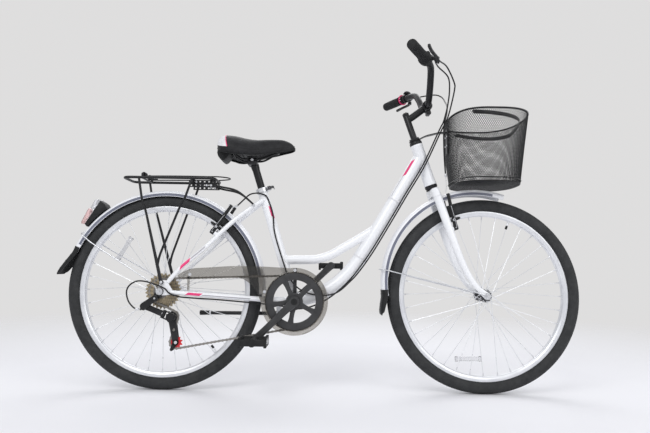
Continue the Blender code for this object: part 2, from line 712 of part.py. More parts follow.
SEATSTAY = [
    (0.3220, 0.0140, 0.6390, 0.0080),
    (0.3070, 0.0225, 0.6270, 0.0080),
    (0.2620, 0.0345, 0.5915, 0.0078),
    (0.2170, 0.0430, 0.5530, 0.0078),
    (0.1400, 0.0530, 0.4740, 0.0075),
    (0.0660, 0.0650, 0.4070, 0.0072),
    (0.0240, 0.0704, 0.3570, 0.0068),
]
DROPOUT_INNER_Y, DROPOUT_OUTER_Y = 0.0675, 0.0735
RACK_BOLT = Vector((0.0055, 0, 0.3568))
REAR_STUD = Vector((0.1790, 0, 0.5140))
REAR_STUD_Y = 0.0480
REAR_STUD_DIRECTION = Vector((-0.835, 0, 0.55)).normalized()
STUD_BOSS_LENGTH, STUD_LENGTH, STUD_RADIUS = 0.0145, 0.0290, 0.0030
ARM_CENTRE = 0.0222
STAND_PIVOT = Vector((0.3830, 0.0430, 0.2520))
STAND_AXIS = Vector((0.0759, 0.937, 0.3406)).normalized()
RACK_STAY_FOOT = Vector((0.2945, 0.0385, 0.6175))
GUIDE_PLACES = (1.35, 3.65, 6.45)


def in_plane(points, y=0.0):
    """(x, z) points as points at one y."""
    return [Vector((x, y, z)) for x, z in points]


def stays(points, steps=1, sides=6):
    """The left and the right one of a pair of stays, given as (x, y, z, radius)."""
    path = smooth([point[:3] for point in points], steps)
    scales = []
    for first, second in zip(points, points[1:]):
        scales += [first[3] + (second[3] - first[3]) * step / steps for step in range(steps)]
    scales.append(points[-1][3])
    left = sweep(path, circle(1.0, sides), scales)
    return [left, mirrored(left)]


def both(mesh):
    return [mesh, mirrored(mesh)]


def dropout():
    """The left rear dropout, with the eyelet and bolt of the rack."""
    outline = arc(REAR_AXLE, 0.0140, 110, 290, 6)
    outline += [(0.0160, 0.3145), (0.0400, 0.3170), (0.0400, 0.3330), (0.0300, 0.3480)]
    outline += [(0.0220, 0.3620), (0.0080, 0.3640), (-0.0010, 0.3590)]
    body = plate(outline, DROPOUT_INNER_Y, DROPOUT_OUTER_Y)
    bolt_start = RACK_BOLT + ALONG_Y * 0.0700
    bolt = rod(bolt_start, RACK_BOLT + ALONG_Y * 0.0840, 0.0026, 8)
    head = rod(RACK_BOLT + ALONG_Y * 0.0809, RACK_BOLT + ALONG_Y * 0.0848, 0.0050, 8)
    return [body, bolt, head]


def down_tube_path():
    return smooth(in_plane(DOWN_TUBE), 2)


def under_down_tube(place, depth, y=0.0):
    """A point below the down tube's middle line, at a place along its points, and the run's direction."""
    path = down_tube_path()
    index = place * 2
    first = path[int(index)]
    second = path[min(int(index) + 1, len(path) - 1)]
    run = (second - first).normalized()
    middle = first.lerp(second, index - int(index))
    below = Vector((-run.z, 0, run.x))
    if below.z > 0:
        below = -below
    return middle + below * depth + ALONG_Y * y, run


def make_frame():
    pieces = []
    head_top, head_foot = steer(HEAD_TUBE_TOP), steer(HEAD_LENGTH)
    pieces.append(rod(head_top, head_foot, HEAD_TUBE_RADIUS, 12))
    pieces.append(sweep(down_tube_path(), circle(DOWN_TUBE_RADIUS, 8)))
    pieces.append(sweep(in_plane(SECOND_TUBE), circle(SECOND_TUBE_RADIUS, 8)))
    pieces.append(rod(seat_line(0.010), seat_line(SEAT_TUBE_LENGTH), SEAT_TUBE_RADIUS, 10))
    shell_end = ALONG_Y * SHELL_HALF_WIDTH
    pieces.append(rod(CRANK_AXLE - shell_end, CRANK_AXLE + shell_end, SHELL_RADIUS, 12))
    pieces += stays(CHAINSTAY) + stays(SEATSTAY)
    for piece in dropout():
        pieces += both(piece)
    # Bridges between the stays, with tabs that carry the fender
    pieces.append(rod((0.3560, -0.030, 0.3035), (0.3560, 0.030, 0.3035), 0.0060))
    pieces.append(sweep([(0.3560, 0, 0.3035), (0.3425, 0, 0.3235)], bar(0.0080, 0.0012), side=ALONG_Y))
    bridge = Vector((0.2560, 0, 0.5865))
    pieces.append(rod(bridge - ALONG_Y * 0.034, bridge + ALONG_Y * 0.034, 0.0060))
    towards = (REAR_AXLE - bridge).normalized()
    tab_end = REAR_AXLE - towards * (REAR_FENDER_RADIUS + GAP)
    pieces.append(sweep([bridge, tab_end], bar(0.0080, 0.0012), side=ALONG_Y))
    # Brake studs, and the bosses that hold the front stays of the rack
    for side in (-1, 1):
        base = REAR_STUD + ALONG_Y * side * REAR_STUD_Y
        pieces.append(rod(base, base + REAR_STUD_DIRECTION * STUD_BOSS_LENGTH, 0.0070))
        pieces.append(rod(base, base + REAR_STUD_DIRECTION * STUD_LENGTH, STUD_RADIUS, 6))
        foot = RACK_STAY_FOOT * 1
        foot.y = side * 0.0368
        pieces.append(rod((foot.x, side * 0.0250, foot.z), foot, 0.0045, 6))
    # Kickstand plate and bracket
    pieces.append(block((0.3790, 0.0120, 0.2925), (0.0420, 0.0560, 0.0050)))
    bracket_end = STAND_PIVOT - STAND_AXIS * 0.0072
    pieces.append(rod(bracket_end, bracket_end - STAND_AXIS * 0.0100, 0.0110, 10))
    pieces.append(block((0.3825, 0.0300, 0.2730), (0.0180, 0.0060, 0.0390)))
    pieces.append(rod(bracket_end - STAND_AXIS * 0.002, STAND_PIVOT + STAND_AXIS * 0.0095, 0.0040))
    # Cable guides under the down tube, and the cable stop on the right chainstay
    for place in GUIDE_PLACES:
        guide, run = under_down_tube(place, DOWN_TUBE_RADIUS + 0.0005, -0.003)
        pieces.append(block(guide, (0.0120, 0.0140, 0.0050), run, run.cross(ALONG_Y)))
    body = unite(*pieces)
    bore_top = steer(HEAD_TUBE_TOP - 0.01)
    slot = block(REAR_AXLE + Vector((0, 0, -0.0120)), (0.0106, 0.2000, 0.0240))
    shell_bore_end = ALONG_Y * (SHELL_HALF_WIDTH + 0.01)
    body = cut(
        body,
        rod(bore_top, steer(HEAD_LENGTH + 0.01), HEAD_TUBE_BORE, 12),
        rod(seat_line(SEAT_TUBE_LENGTH - SEAT_BORE_LENGTH), seat_line(SEAT_TUBE_LENGTH + 0.01), 0.0133, 12),
        rod(CRANK_AXLE - shell_bore_end, CRANK_AXLE + shell_bore_end, 0.0172, 12),
        rod(REAR_AXLE - ALONG_Y * 0.1, REAR_AXLE + ALONG_Y * 0.1, 0.0053, 10),
        slot,
    )
    add("frame", body, "white_paint")


def make_headset():
    """Bearing cups pressed into both ends of the head tube; the steerer turns in their bore."""
    bore, skirt, rim = 0.0148, HEAD_TUBE_BORE * math.cos(math.pi / 12) - GAP, 0.0216
    for name, face, inwards in (("upper_headset_cup", 0.0, 1), ("lower_headset_cup", 0.1772, -1)):
        edge = HEAD_TUBE_TOP - 0.0004
        profile = [(bore, 0.0), (0.0190, 0.0), (rim, 0.0050), (rim, edge), (skirt, edge), (skirt, 0.026), (bore, 0.026)]
        made = turned(profile, steer(face), STEER_DOWN * inwards, 10, ring=True)
        add(name, made, "black_paint", steer(face))


# Saddle and seat post
CLAMP_MIDDLE = SEAT_TUBE_LENGTH + 0.0010
SKEWER_FORWARD = 0.0265
RAIL_Y, RAIL_Z, RAIL_RADIUS = 0.0220, 0.7785, 0.0035
POST_HEAD = Vector((0.2830, 0, 0.7640))


def make_seat_clamp():
    """A split collar with two lugs and the skewer, and the lever that closes it."""
    half = 0.0080
    collar = washer(seat_line(CLAMP_MIDDLE), SEAT_TUBE_RADIUS + 0.0013, 0.0208, -half, half, SEAT_UP, 10)
    pieces = [collar]
    for side in (-1, 1):
        lug_middle = seat_line(CLAMP_MIDDLE, 0.0240, side * 0.0050)
        pieces.append(block(lug_middle, (0.0130, 0.0060, 0.0130), SEAT_FORWARD, SEAT_UP))
    pieces.append(rod(seat_line(CLAMP_MIDDLE, SKEWER_FORWARD, -0.0095), seat_line(CLAMP_MIDDLE, SKEWER_FORWARD, 0.0130), 0.0028))
    pieces.append(rod(seat_line(CLAMP_MIDDLE, SKEWER_FORWARD, 0.0070), seat_line(CLAMP_MIDDLE, SKEWER_FORWARD, 0.0115), 0.0060))
    slot = block(seat_line(CLAMP_MIDDLE, 0.0190), (0.0080, 0.0030, 0.0300), SEAT_FORWARD, SEAT_UP)
    add("seat_clamp", cut(unite(*pieces), slot), "black_paint")
    pivot = seat_line(CLAMP_MIDDLE, SKEWER_FORWARD, -0.0165)
    cam = rod(pivot - SEAT_UP * 0.0060, pivot + SEAT_UP * 0.0060, 0.0062, 10)
    handle = [(0.0, -0.0165), (0.0080, -0.0180), (0.0140, -0.0120), (0.0150, 0.0020), (0.0140, 0.0160)]
    path = smooth([seat_line(CLAMP_MIDDLE, SKEWER_FORWARD + ahead, y) for ahead, y in handle], 2)
    grip = sweep(path, bar(0.0050, 0.0014), side=SEAT_UP)
    add("seat_clamp_lever", unite(cam, grip), "bright_alloy", pivot)


def make_seat_post():
    post = rod(seat_line(SEAT_TUBE_LENGTH - 0.1500), seat_line(0.4800), SEAT_POST_RADIUS, 12)
    lower = block((POST_HEAD.x, 0, 0.7665), (0.0340, 0.0600, 0.0150))
    tower = block((POST_HEAD.x, 0, 0.7770), (0.0300, 0.0350, 0.0200))
    upper = block((POST_HEAD.x, 0, 0.7850), (0.0340, 0.0600, 0.0055))
    neck = rod(seat_line(0.4700), seat_line(0.4850), SEAT_POST_RADIUS + 0.003, 12, 0.0140)
    add("seat_post", unite(post, neck, lower, tower, upper), "black_paint", seat_line(SEAT_TUBE_LENGTH))


def make_saddle_rails():
    """One wire: two rails joined at the nose, rising to the saddle at both ends."""
    side = [
        (0.2150, 0.0330, 0.8060),
        (0.2270, 0.0300, 0.7930),
        (0.2450, 0.0240, 0.7805),
        (0.2620, RAIL_Y, RAIL_Z),
        (0.3040, RAIL_Y, RAIL_Z),
        (0.3250, 0.0190, 0.7830),
        (0.3500, 0.0130, 0.7960),
        (0.3680, 0.0060, 0.8030),
    ]
    path = side + [(x, -y, z) for x, y, z in reversed(side)]
    add("saddle_rails", sweep(path, circle(RAIL_RADIUS, 5)), "bright_alloy")


SADDLE = [
    (0.1680, 0.0520, 0.8490, 0.8100),
    (0.1760, 0.0800, 0.8560, 0.7950),
    (0.1960, 0.0970, 0.8600, 0.7860),
    (0.2300, 0.0990, 0.8570, 0.7830),
    (0.2650, 0.0845, 0.8500, 0.7850),
    (0.2980, 0.0590, 0.8482, 0.7890),
    (0.3300, 0.0440, 0.8505, 0.7955),
    (0.3620, 0.0360, 0.8515, 0.8010),
    (0.3880, 0.0310, 0.8500, 0.8070),
    (0.4080, 0.0260, 0.8430, 0.8110),
    (0.4200, 0.0200, 0.8350, 0.8140),
    (0.4270, 0.0110, 0.8260, 0.8170),
]
SADDLE_DISH = 0.0290


def make_saddle():
    """Crowned on top, with sides that turn down and in, and hollow below."""
    crown = [(0.0, 0.0), (0.42, 0.10), (0.76, 0.32), (0.95, 0.62), (1.0, 0.86), (0.92, 1.0)]
    points = []
    for x, half_width, top, edge in SADDLE:
        drop = top - edge
        hollow = min(SADDLE_DISH / drop, 0.9)
        under = [(0.74, 0.96), (0.62, hollow + 0.04), (0.0, hollow)]
        right = [(-across, down) for across, down in crown + under]
        left = [(-across, down) for across, down in reversed(right[1:-1])]
        points += [(x, across * half_width, top - down * drop) for across, down in right + left]
    count = len(points) // len(SADDLE)
    faces = [tuple(range(count)), tuple(range(len(points) - count, len(points)))]
    for ring in range(len(SADDLE) - 1):
        for place in range(count):
            following = (place + 1) % count
            low, high = ring * count, (ring + 1) * count
            faces.append((low + place, low + following, high + following, high + place))
    add("saddle", solid(points, faces), "saddle_vinyl")


# Fenders, lamp and rack
def fender_section(depth):
    """An arch open towards the wheel, with its crown at the middle of the path."""
    outer = [(-1.0, -1.0), (-0.93, -0.42), (-0.42, 0.0), (0.42, 0.0), (0.93, -0.42), (1.0, -1.0)]
    wall = 0.0018
    shell = [(across * FENDER_HALF_WIDTH, up * depth) for across, up in outer]
    inner = [(across * (FENDER_HALF_WIDTH - wall), up * (depth - wall) - wall) for across, up in reversed(outer)]
    inner[0] = (inner[0][0], -depth)
    inner[-1] = (inner[-1][0], -depth)
    return shell + inner


def make_fender(name, centre, radius, start, end, steps, flap):
    """A curved shell about a centre, with a mudflap that follows on from its lower end."""
    shell = sweep(in_plane(arc(centre, radius, start, end, steps)), fender_section(0.0210), side=ALONG_Y)
    scales = [(1.06, 1.06), (1.08, 1.06), (1.10, 0.85), (0.90, 0.30)]
    mudflap = sweep(in_plane(flap), fender_section(0.0215), scales, side=ALONG_Y)
    add(name, unite(shell, mudflap), "white_paint")


def make_fenders():
    edge = on_wheel(REAR_AXLE, REAR_FENDER_RADIUS + 0.0012, math.radians(154.5))
    tip = (-MUDFLAP_REACH, 0.3800)
    flap = [(edge.x, edge.z), (-0.3160, 0.4530), (-0.3430, 0.4160), tip]
    make_fender("rear_fender", REAR_AXLE, REAR_FENDER_RADIUS, -1, 157.3, 17, flap)
    centre = Vector((1.0468, 0, 0.3685))
    edge = on_wheel(centre, FRONT_FENDER_RADIUS + 0.0012, math.radians(185))
    flap = [(edge.x, edge.z), (0.7295, 0.3150), (0.7260, 0.2870), (0.7235, 0.2560)]
    make_fender("front_fender", centre, FRONT_FENDER_RADIUS, 71.7, 188.9, 12, flap)


def make_fender_stay(name, axle, eye_y, eye_radius, run, hole):
    """A wire that runs from one end of the axle over the fender to the other, with an eye at each end."""
    eye = washer(axle, hole, eye_radius, eye_y - 0.0010, eye_y + 0.0010, steps=8)
    right = [(x, -y, z) for x, y, z in reversed(run)]
    wire = sweep(right + run, circle(0.0023, 4))
    add(name, unite(wire, *both(eye)), "bright_alloy")


def make_fender_stays():
    rear_run = [(-0.2868, 0.0120, 0.5185), (-0.2810, 0.0340, 0.5110), (-0.2620, 0.0365, 0.4960)]
    rear_run += [(-0.2300, 0.0410, 0.4740), (-0.0370, 0.0750, 0.3600), (-0.0088, 0.0795, 0.3323)]
    make_fender_stay("rear_fender_stay", REAR_AXLE, 0.0784, 0.0116, rear_run, REAR_AXLE_RADIUS + GAP)
    front_run = [(0.7245, 0.0120, 0.4092), (0.7310, 0.0340, 0.4085), (0.7520, 0.0355, 0.4055)]
    front_run += [(0.7990, 0.0370, 0.3945), (1.0190, 0.0545, 0.3430), (1.0450, 0.0579, 0.3365), (1.0664, 0.0579, 0.3296)]
    make_fender_stay("front_fender_stay", FRONT_AXLE, 0.0567, 0.0110, front_run, FRONT_AXLE_RADIUS + GAP)


def make_lamp():
    outline = arc(REAR_AXLE, REAR_FENDER_RADIUS + 0.0020, 142.0, 127.0, 5)
    outline += [(-0.2160, 0.6190), (-0.2370, 0.6330), (-0.2530, 0.6290), (-0.2880, 0.5620), (-0.2910, 0.5480)]
    add("rear_lamp", plate(outline, -0.0260, 0.0260), "lamp_lens")


RACK_Z = 0.7040
RACK_HALF_WIDTH = 0.0600
RACK_WIRE = 0.0048
CLIP_HINGE = Vector((-0.0800, 0, 0.7165))
RACK_REAR_LEG = [
    (-0.0890, 0.0600, 0.7020),
    (-0.0750, 0.0608, 0.6260),
    (-0.0610, 0.0625, 0.5930),
    (0.0032, 0.0785, 0.3622),
]
RACK_FRONT_LEG = [
    (0.0880, 0.0600, 0.7020),
    (0.0680, 0.0605, 0.6390),
    (0.0510, 0.0612, 0.6050),
    (-0.0040, 0.0725, 0.4480),
    (-0.0118, 0.0748, 0.4120),
]
RACK_STAY = [
    (0.1450, 0.0352, 0.6870),
    (0.1800, 0.0348, 0.6795),
    (0.2350, 0.0348, 0.6665),
    (0.2830, 0.0385, 0.6300),
    (0.2945, 0.0385, 0.6175),
]


def make_rack():
    front, rear, half = 0.1630, -0.1430, RACK_HALF_WIDTH
    corners = [(front, half), (rear, half), (rear, -half), (front, -half)]
    loop = rounded([(x, y, RACK_Z) for x, y in corners], 0.0280, 2, closed=True)
    pieces = [sweep(loop, circle(RACK_WIRE, 5), closed=True)]
    for x in (CLIP_HINGE.x, 0.0880, 0.1480):
        pieces.append(rod((x, -half, RACK_Z - 0.001), (x, half, RACK_Z - 0.001), 0.0032, 4))
    # The pin that the spring clip's coils sit on, between two posts
    pin_end = ALONG_Y * 0.0515
    pieces.append(rod(CLIP_HINGE - pin_end, CLIP_HINGE + pin_end, 0.0028, 6))
    post = block((CLIP_HINGE.x, 0.0515, 0.7115), (0.0080, 0.0030, 0.0170))
    pieces += both(post)
    leg = circle(0.0040, 5)
    for run in (RACK_REAR_LEG, RACK_FRONT_LEG):
        pieces += both(sweep(run, leg))
    pieces += both(washer(RACK_BOLT, 0.0031, 0.0070, 0.0765, 0.0805, steps=6))
    for piece in (
        block((0.1180, 0.0350, 0.6893), (0.0920, 0.0030, 0.0250)),
        sweep(RACK_STAY, bar(0.0014, 0.0034), side=ALONG_Y),
    ):
        pieces += both(piece)
    add("luggage_rack", unite(*pieces), "black_paint")


CLIP_WIRE = 0.0022
CLIP_COIL_RADIUS = 0.0068
CLIP_COIL_PITCH = 0.0052
CLIP_COIL_TURNS = 4
CLIP_POINTS_PER_TURN = 8


def clip_path():
    """The spring clip as one wire: a foot, a coil, an arm, the front loop and the same back."""
    steps = CLIP_COIL_TURNS * CLIP_POINTS_PER_TURN
    outer_y = 0.0420
    coil = []
    for step in range(steps + 1):
        turn = math.tau * step / CLIP_POINTS_PER_TURN
        y = outer_y - CLIP_COIL_PITCH * CLIP_COIL_TURNS + CLIP_COIL_PITCH * step / CLIP_POINTS_PER_TURN
        coil.append((CLIP_HINGE.x - CLIP_COIL_RADIUS * math.sin(turn), y, CLIP_HINGE.z - CLIP_COIL_RADIUS * math.cos(turn)))
    foot = [(CLIP_HINGE.x + 0.0300, coil[0][1], coil[0][2])]
    bottom = CLIP_HINGE.z - CLIP_COIL_RADIUS
    arm = [(-0.0500, 0.0450, bottom + 0.0010), (0.0500, 0.0450, 0.7120), (0.1350, 0.0440, 0.7120)]
    arm += [(0.1700, 0.0380, 0.7130), (0.1950, 0.0240, 0.7130), (0.2050, 0.0080, 0.7130)]
    half = foot + coil + arm
    return [Vector(point) for point in half + [(x, -y, z) for x, y, z in reversed(half)]]


def least_gap(path, radius, skip):
    """The smallest clear distance between parts of a wire that aren't next to each other."""
    found = 1.0
    for place, point in enumerate(path):
        for other in path[place + skip :]:
            found = min(found, (other - point).length - 2 * radius)
    return found


def make_rack_clip():
    path = clip_path()
    print("rack clip, least gap to itself in mm:", round(1000 * least_gap(path, CLIP_WIRE, 6), 2))
    add("rack_clip", sweep(path, circle(CLIP_WIRE, 5)), "black_paint", CLIP_HINGE)


STAND_LENGTH = 0.2720
STAND_REST = Vector((-0.996, 0.0846, -0.011)).normalized()


def make_kickstand():
    """Folded back along the left chainstay; it turns on the pin of the frame's bracket."""
    hub = washer(STAND_PIVOT, 0.0044, 0.0110, -0.0065, 0.0065, STAND_AXIS, 10)
    start = STAND_PIVOT + STAND_REST * 0.0080
    leg = rod(start, STAND_PIVOT + STAND_REST * STAND_LENGTH, 0.0068, 8, 0.0062)
    foot = rod(STAND_PIVOT + STAND_REST * (STAND_LENGTH - 0.0260), STAND_PIVOT + STAND_REST * STAND_LENGTH * 1.03, 0.0085)
    add("kickstand", unite(hub, leg, foot), "black_paint", STAND_PIVOT)


def brake_arm(stud, stud_y, stud_direction, arm_up, length, pad_up, axle):
    """The left brake arm: a hub on the stud, a tall arm, and a pad on its post facing the rim."""
    pivot = stud + ALONG_Y * stud_y + stud_direction * ARM_CENTRE
    hub = washer(pivot, STUD_RADIUS + 0.0006, 0.0085, -0.0072, 0.0068, stud_direction, 8)
    top = pivot + arm_up * length
    top.y = stud_y - 0.0095
    foot = pivot + arm_up * 0.0068
    arm = sweep([foot, foot.lerp(top, 0.4), top], bar(0.0045, 0.0062), [1.1, 1.0, 0.8], side=ALONG_Y)
    pad = pivot + arm_up * pad_up
    tangent = (pad - axle).cross(ALONG_Y)
    tangent.y = 0
    pad_inner, pad_outer = RIM_HALF_WIDTH + 0.0012, RIM_HALF_WIDTH + 0.0132
    pad.y = (pad_inner + pad_outer) / 2
    shoe = block(pad, (0.0580, pad_outer - pad_inner, 0.0100), tangent, tangent.cross(ALONG_Y))
    post = rod((pad.x, pad.y, pad.z), (pad.x, stud_y - 0.0010, pad.z), 0.0040, 8)
    return unite(hub, arm, post, shoe), pivot


def make_brake_arms(which, *shape):
    mesh, pivot = brake_arm(*shape)
    other = mirrored(mesh)
    add(which + "_brake_arm_left", mesh, "black_paint", pivot)
    add(which + "_brake_arm_right", other, "black_paint", (pivot.x, -pivot.y, pivot.z))


def make_rear():
    make_frame()
    make_headset()
    make_seat_clamp()
    make_seat_post()
    make_saddle_rails()
    make_saddle()
    make_fenders()
    make_fender_stays()
    make_lamp()
    make_rack()
    make_rack_clip()
    make_kickstand()
    rear_up = REAR_STUD_DIRECTION.cross(ALONG_Y)
    rear_up = rear_up if rear_up.z > 0 else -rear_up
    make_brake_arms("rear", REAR_STUD, REAR_STUD_Y, REAR_STUD_DIRECTION, rear_up, 0.1080, 0.0210, REAR_AXLE)


# Fork
STEERER_RADIUS, STEERER_BORE = 0.0135, 0.0119
STEERER_TOP = -0.0105
FORK_STUD_DOWN, FORK_STUD_Y = 0.3280, 0.0460
FORK_BLADE = [
    (0.1900, 0.0000, 0.0415, 0.0115, 0.0145),
    (0.2600, 0.0000, 0.0435, 0.0115, 0.0145),
    (0.3400, 0.0000, 0.0460, 0.0112, 0.0135),
    (0.4200, 0.0010, 0.0485, 0.0100, 0.0120),
    (0.4700, 0.0050, 0.0500, 0.0090, 0.0110),
    (0.5100, 0.0125, 0.0515, 0.0080, 0.0100),
    (0.5350, 0.0205, 0.0525, 0.0060, 0.0092),
    (0.5570, 0.0310, 0.0526, 0.0025, 0.0085),
]


def make_fork():
    pieces = [rod(steer(STEERER_TOP), steer(0.1900), STEERER_RADIUS, 12)]
    pieces.append(rod(steer(STEERER_TOP), steer(-0.0041), 0.0180, 12))
    pieces.append(block(steer(0.1913), (0.0270, 0.1060, 0.0290), STEER_DOWN, STEER_FORWARD))
    path = [steer(down, forward, y) for down, forward, y, _, _ in FORK_BLADE]
    pieces += both(sweep(path, circle(1.0), [shape[3:] for shape in FORK_BLADE], side=ALONG_Y))
    tip = steer(0.5500, 0.0270)
    pieces += both(plate(capsule(FRONT_AXLE, 0.0120, tip, 0.0080), 0.0500, 0.0552))
    for side in (-1, 1):
        base = steer(FORK_STUD_DOWN, 0, side * FORK_STUD_Y)
        pieces.append(rod(base, base + STEER_FORWARD * STUD_BOSS_LENGTH, 0.0070))
        pieces.append(rod(base, base + STEER_FORWARD * STUD_LENGTH, STUD_RADIUS, 6))
    bore = rod(steer(STEERER_TOP - 0.01), steer(0.1700), STEERER_BORE, 12)
    hole = rod(FRONT_AXLE - ALONG_Y * 0.1, FRONT_AXLE + ALONG_Y * 0.1, FRONT_AXLE_RADIUS + GAP, 10)
    add("fork", cut(unite(*pieces), bore, hole), "white_paint", steer(0))


# Stem and handlebar
BAR_RADIUS = 0.0111
BAR_CLAMP = Vector((0.8850, 0, 0.9790))
GRIP_END = Vector((0.7795, 0.3234, 1.0717))
GRIP_LENGTH = 0.1021
BAR_INWARDS = Vector((0.4748, -0.8801, 0))
BAR_PLUG = 0.0040


def on_bar(distance, side, forward=0.0, up=0.0):
    """A point inwards from the end of a grip (side 1 is left), ahead of and above the bar."""
    point = GRIP_END + BAR_INWARDS * distance + Vector((0.8801, 0.4748, 0)) * forward
    return Vector((point.x, side * point.y, point.z + up))


def bar_axis(side):
    """The direction along a grip, towards the middle."""
    return Vector((BAR_INWARDS.x, side * BAR_INWARDS.y, 0))


def make_stem():
    quill = rod(steer(-0.1040), steer(0.0850), 0.0112, 12)
    cap = rod(steer(-0.1070), steer(-0.1030), 0.0060, 6)
    arm = sweep([steer(-0.0800), (0.8380, 0, 0.9430), BAR_CLAMP], circle(0.0115, 8), [1.0, 1.05, 1.0])
    half = ALONG_Y * 0.0200
    clamp = rod(BAR_CLAMP - half, BAR_CLAMP + half, 0.0175, 12)
    lug = block((0.8905, 0, 0.9570), (0.0150, 0.0300, 0.0180))
    bolt = rod((0.8960, 0, 0.9580), (0.9010, 0, 0.9580), 0.0050, 6)
    bore = rod(BAR_CLAMP - 2 * half, BAR_CLAMP + 2 * half, BAR_RADIUS + 0.0006, 12)
    add("stem", cut(unite(quill, cap, arm, clamp, lug, bolt), bore), "black_paint", steer(0))


def make_handlebar():
    bend = [(0.8845, 0.0380, 0.9805), (0.8815, 0.0680, 0.9940), (0.8780, 0.1060, 1.0310), (0.8710, 0.1480, 1.0640)]
    half = [(0.8850, 0.0240, 0.9790)] + smooth(bend + [on_bar(0.1620, 1)], 2)
    half += [on_bar(0.1480, 1), on_bar(BAR_PLUG, 1)]
    path = [(x, -y, z) for x, y, z in reversed(half)] + half
    add("handlebar", sweep(path, circle(BAR_RADIUS, 8)), "black_paint", BAR_CLAMP)


def make_grips():
    bore, floor = BAR_RADIUS + 0.0010, BAR_PLUG - GAP
    profile = [(0, floor), (bore, floor), (bore, GRIP_LENGTH), (0.0170, GRIP_LENGTH), (0.0170, GRIP_LENGTH - 0.006)]
    profile += [(0.0152, GRIP_LENGTH - 0.010), (0.0162, 0.0500), (0.0158, 0.0080), (0.0130, 0.0), (0, 0.0)]
    for name, side in (("right_grip", -1), ("left_grip", 1)):
        end = on_bar(0, side)
        add(name, turned(profile, end, bar_axis(side), 9), "black_plastic", end)


# Brake levers, twist shifter and bell
PERCH_MIDDLE = {1: 0.1170, -1: 0.1500}
LEVER_FORWARD, LEVER_UP = 0.0330, -0.0080


def perch_clamp(side):
    """The clamp round the bar, the body ahead of it and the pin that carries the lever."""
    middle = PERCH_MIDDLE[side]
    axis, centre = bar_axis(side), on_bar(middle, side)
    body_middle = on_bar(middle, side, 0.0265, 0.0040)
    ahead = on_bar(middle, side, 1.0) - centre
    pivot = on_bar(middle, side, LEVER_FORWARD, LEVER_UP)
    return [
        washer(centre, BAR_RADIUS + 0.0012, 0.0160, -0.0075, 0.0075, axis, 12),
        block(body_middle, (0.0270, 0.0150, 0.0090), ahead),
        rod(pivot + Vector((0, 0, 0.010)), pivot - Vector((0, 0, 0.0070)), 0.0026, 8),
    ]


def barrel(start, end):
    """The adjuster in which a cable housing ends."""
    return rod(start, end, 0.0042, 6)


RIGHT_BRAKE_BARREL = (on_bar(0.1640, -1, 0.0330, 0.0040), on_bar(0.1500, -1, 0.0330, 0.0040))
LEFT_BRAKE_BARREL = (on_bar(0.1320, 1, 0.0330, 0.0040), on_bar(0.1170, 1, 0.0330, 0.0040))
SHIFT_BARREL = (on_bar(0.1620, -1, 0.0120, 0.0150), on_bar(0.1360, -1, 0.0120, 0.0150))


def make_perches():
    """The right one carries the fixed housing of the twist shifter too."""
    housing = washer(on_bar(0.1310, -1), BAR_RADIUS + 0.0012, 0.0215, -0.0115, 0.0120, bar_axis(-1), 12)
    right = unite(*perch_clamp(-1), barrel(*RIGHT_BRAKE_BARREL), housing, barrel(*SHIFT_BARREL))
    add("right_brake_perch", right, "black_plastic", on_bar(PERCH_MIDDLE[-1], -1))
    left = unite(*perch_clamp(1), barrel(*LEFT_BRAKE_BARREL))
    add("left_brake_perch", left, "black_plastic", on_bar(PERCH_MIDDLE[1], 1))
    sleeve = [(BAR_RADIUS + 0.0012, 0.1030), (0.0165, 0.1030), (0.0165, 0.1145), (0.0195, 0.1165)]
    sleeve += [(0.0195, 0.1190), (BAR_RADIUS + 0.0012, 0.1190)]
    shifter = turned(sleeve, on_bar(0, -1), bar_axis(-1), 10, ring=True)
    add("twist_shifter", shifter, "black_plastic", on_bar(0.1110, -1))


def make_levers():
    for name, side in (("right_brake_lever", -1), ("left_brake_lever", 1)):
        middle = PERCH_MIDDLE[side]
        pivot = on_bar(middle, side, LEVER_FORWARD, LEVER_UP)
        hub = washer(pivot, 0.0031, 0.0070, -0.0062, 0.0066, Vector((0, 0, 1)), 8)
        places = [(0.0050, 0.0350), (0.0180, 0.0400), (0.0380, 0.0430)]
        places += [(middle - 0.0550, 0.0440), (middle - 0.0080, 0.0500)]
        path = [on_bar(middle - inset, side, ahead, LEVER_UP - 0.002) for inset, ahead in places]
        blade = sweep(path, bar(0.0045, 0.0050), [1.0, 1.0, 1.0, 1.0, 0.9], side=Vector((0, 0, 1)))
        bore = rod(pivot - Vector((0, 0, 0.02)), pivot + Vector((0, 0, 0.02)), 0.0032, 8)
        add(name, cut(unite(hub, blade), bore), "black_plastic", pivot)


def make_bell():
    centre = on_bar(0.1340, 1)
    ring = washer(centre, BAR_RADIUS + 0.0012, 0.0155, -0.0040, 0.0040, bar_axis(1), 10)
    tilt = Vector((0.25, 0, 0.97)).normalized()
    foot = on_bar(0.1340, 1, 0.0060, 0.0130)
    stalk = rod(foot - tilt * 0.002, foot + tilt * 0.0080, 0.0050, 6)
    dome = turned([(0, 0.006), (0.0150, 0.006), (0.0150, 0.010), (0.0105, 0.0155), (0, 0.0175)], foot, tilt, 10)
    add("bell", unite(ring, stalk, dome), "black_plastic", centre)


# Basket
BASKET_STEPS = 20
BASKET_TOP = (0.9570, 1.2220, 0.1700, 0.9350)
BASKET_MIDDLE = (0.9565, 1.2090, 0.1500, 0.8200)
BASKET_FLOOR = (0.9720, 1.1960, 0.1300, 0.7000)
BASKET_WALL = 0.0024


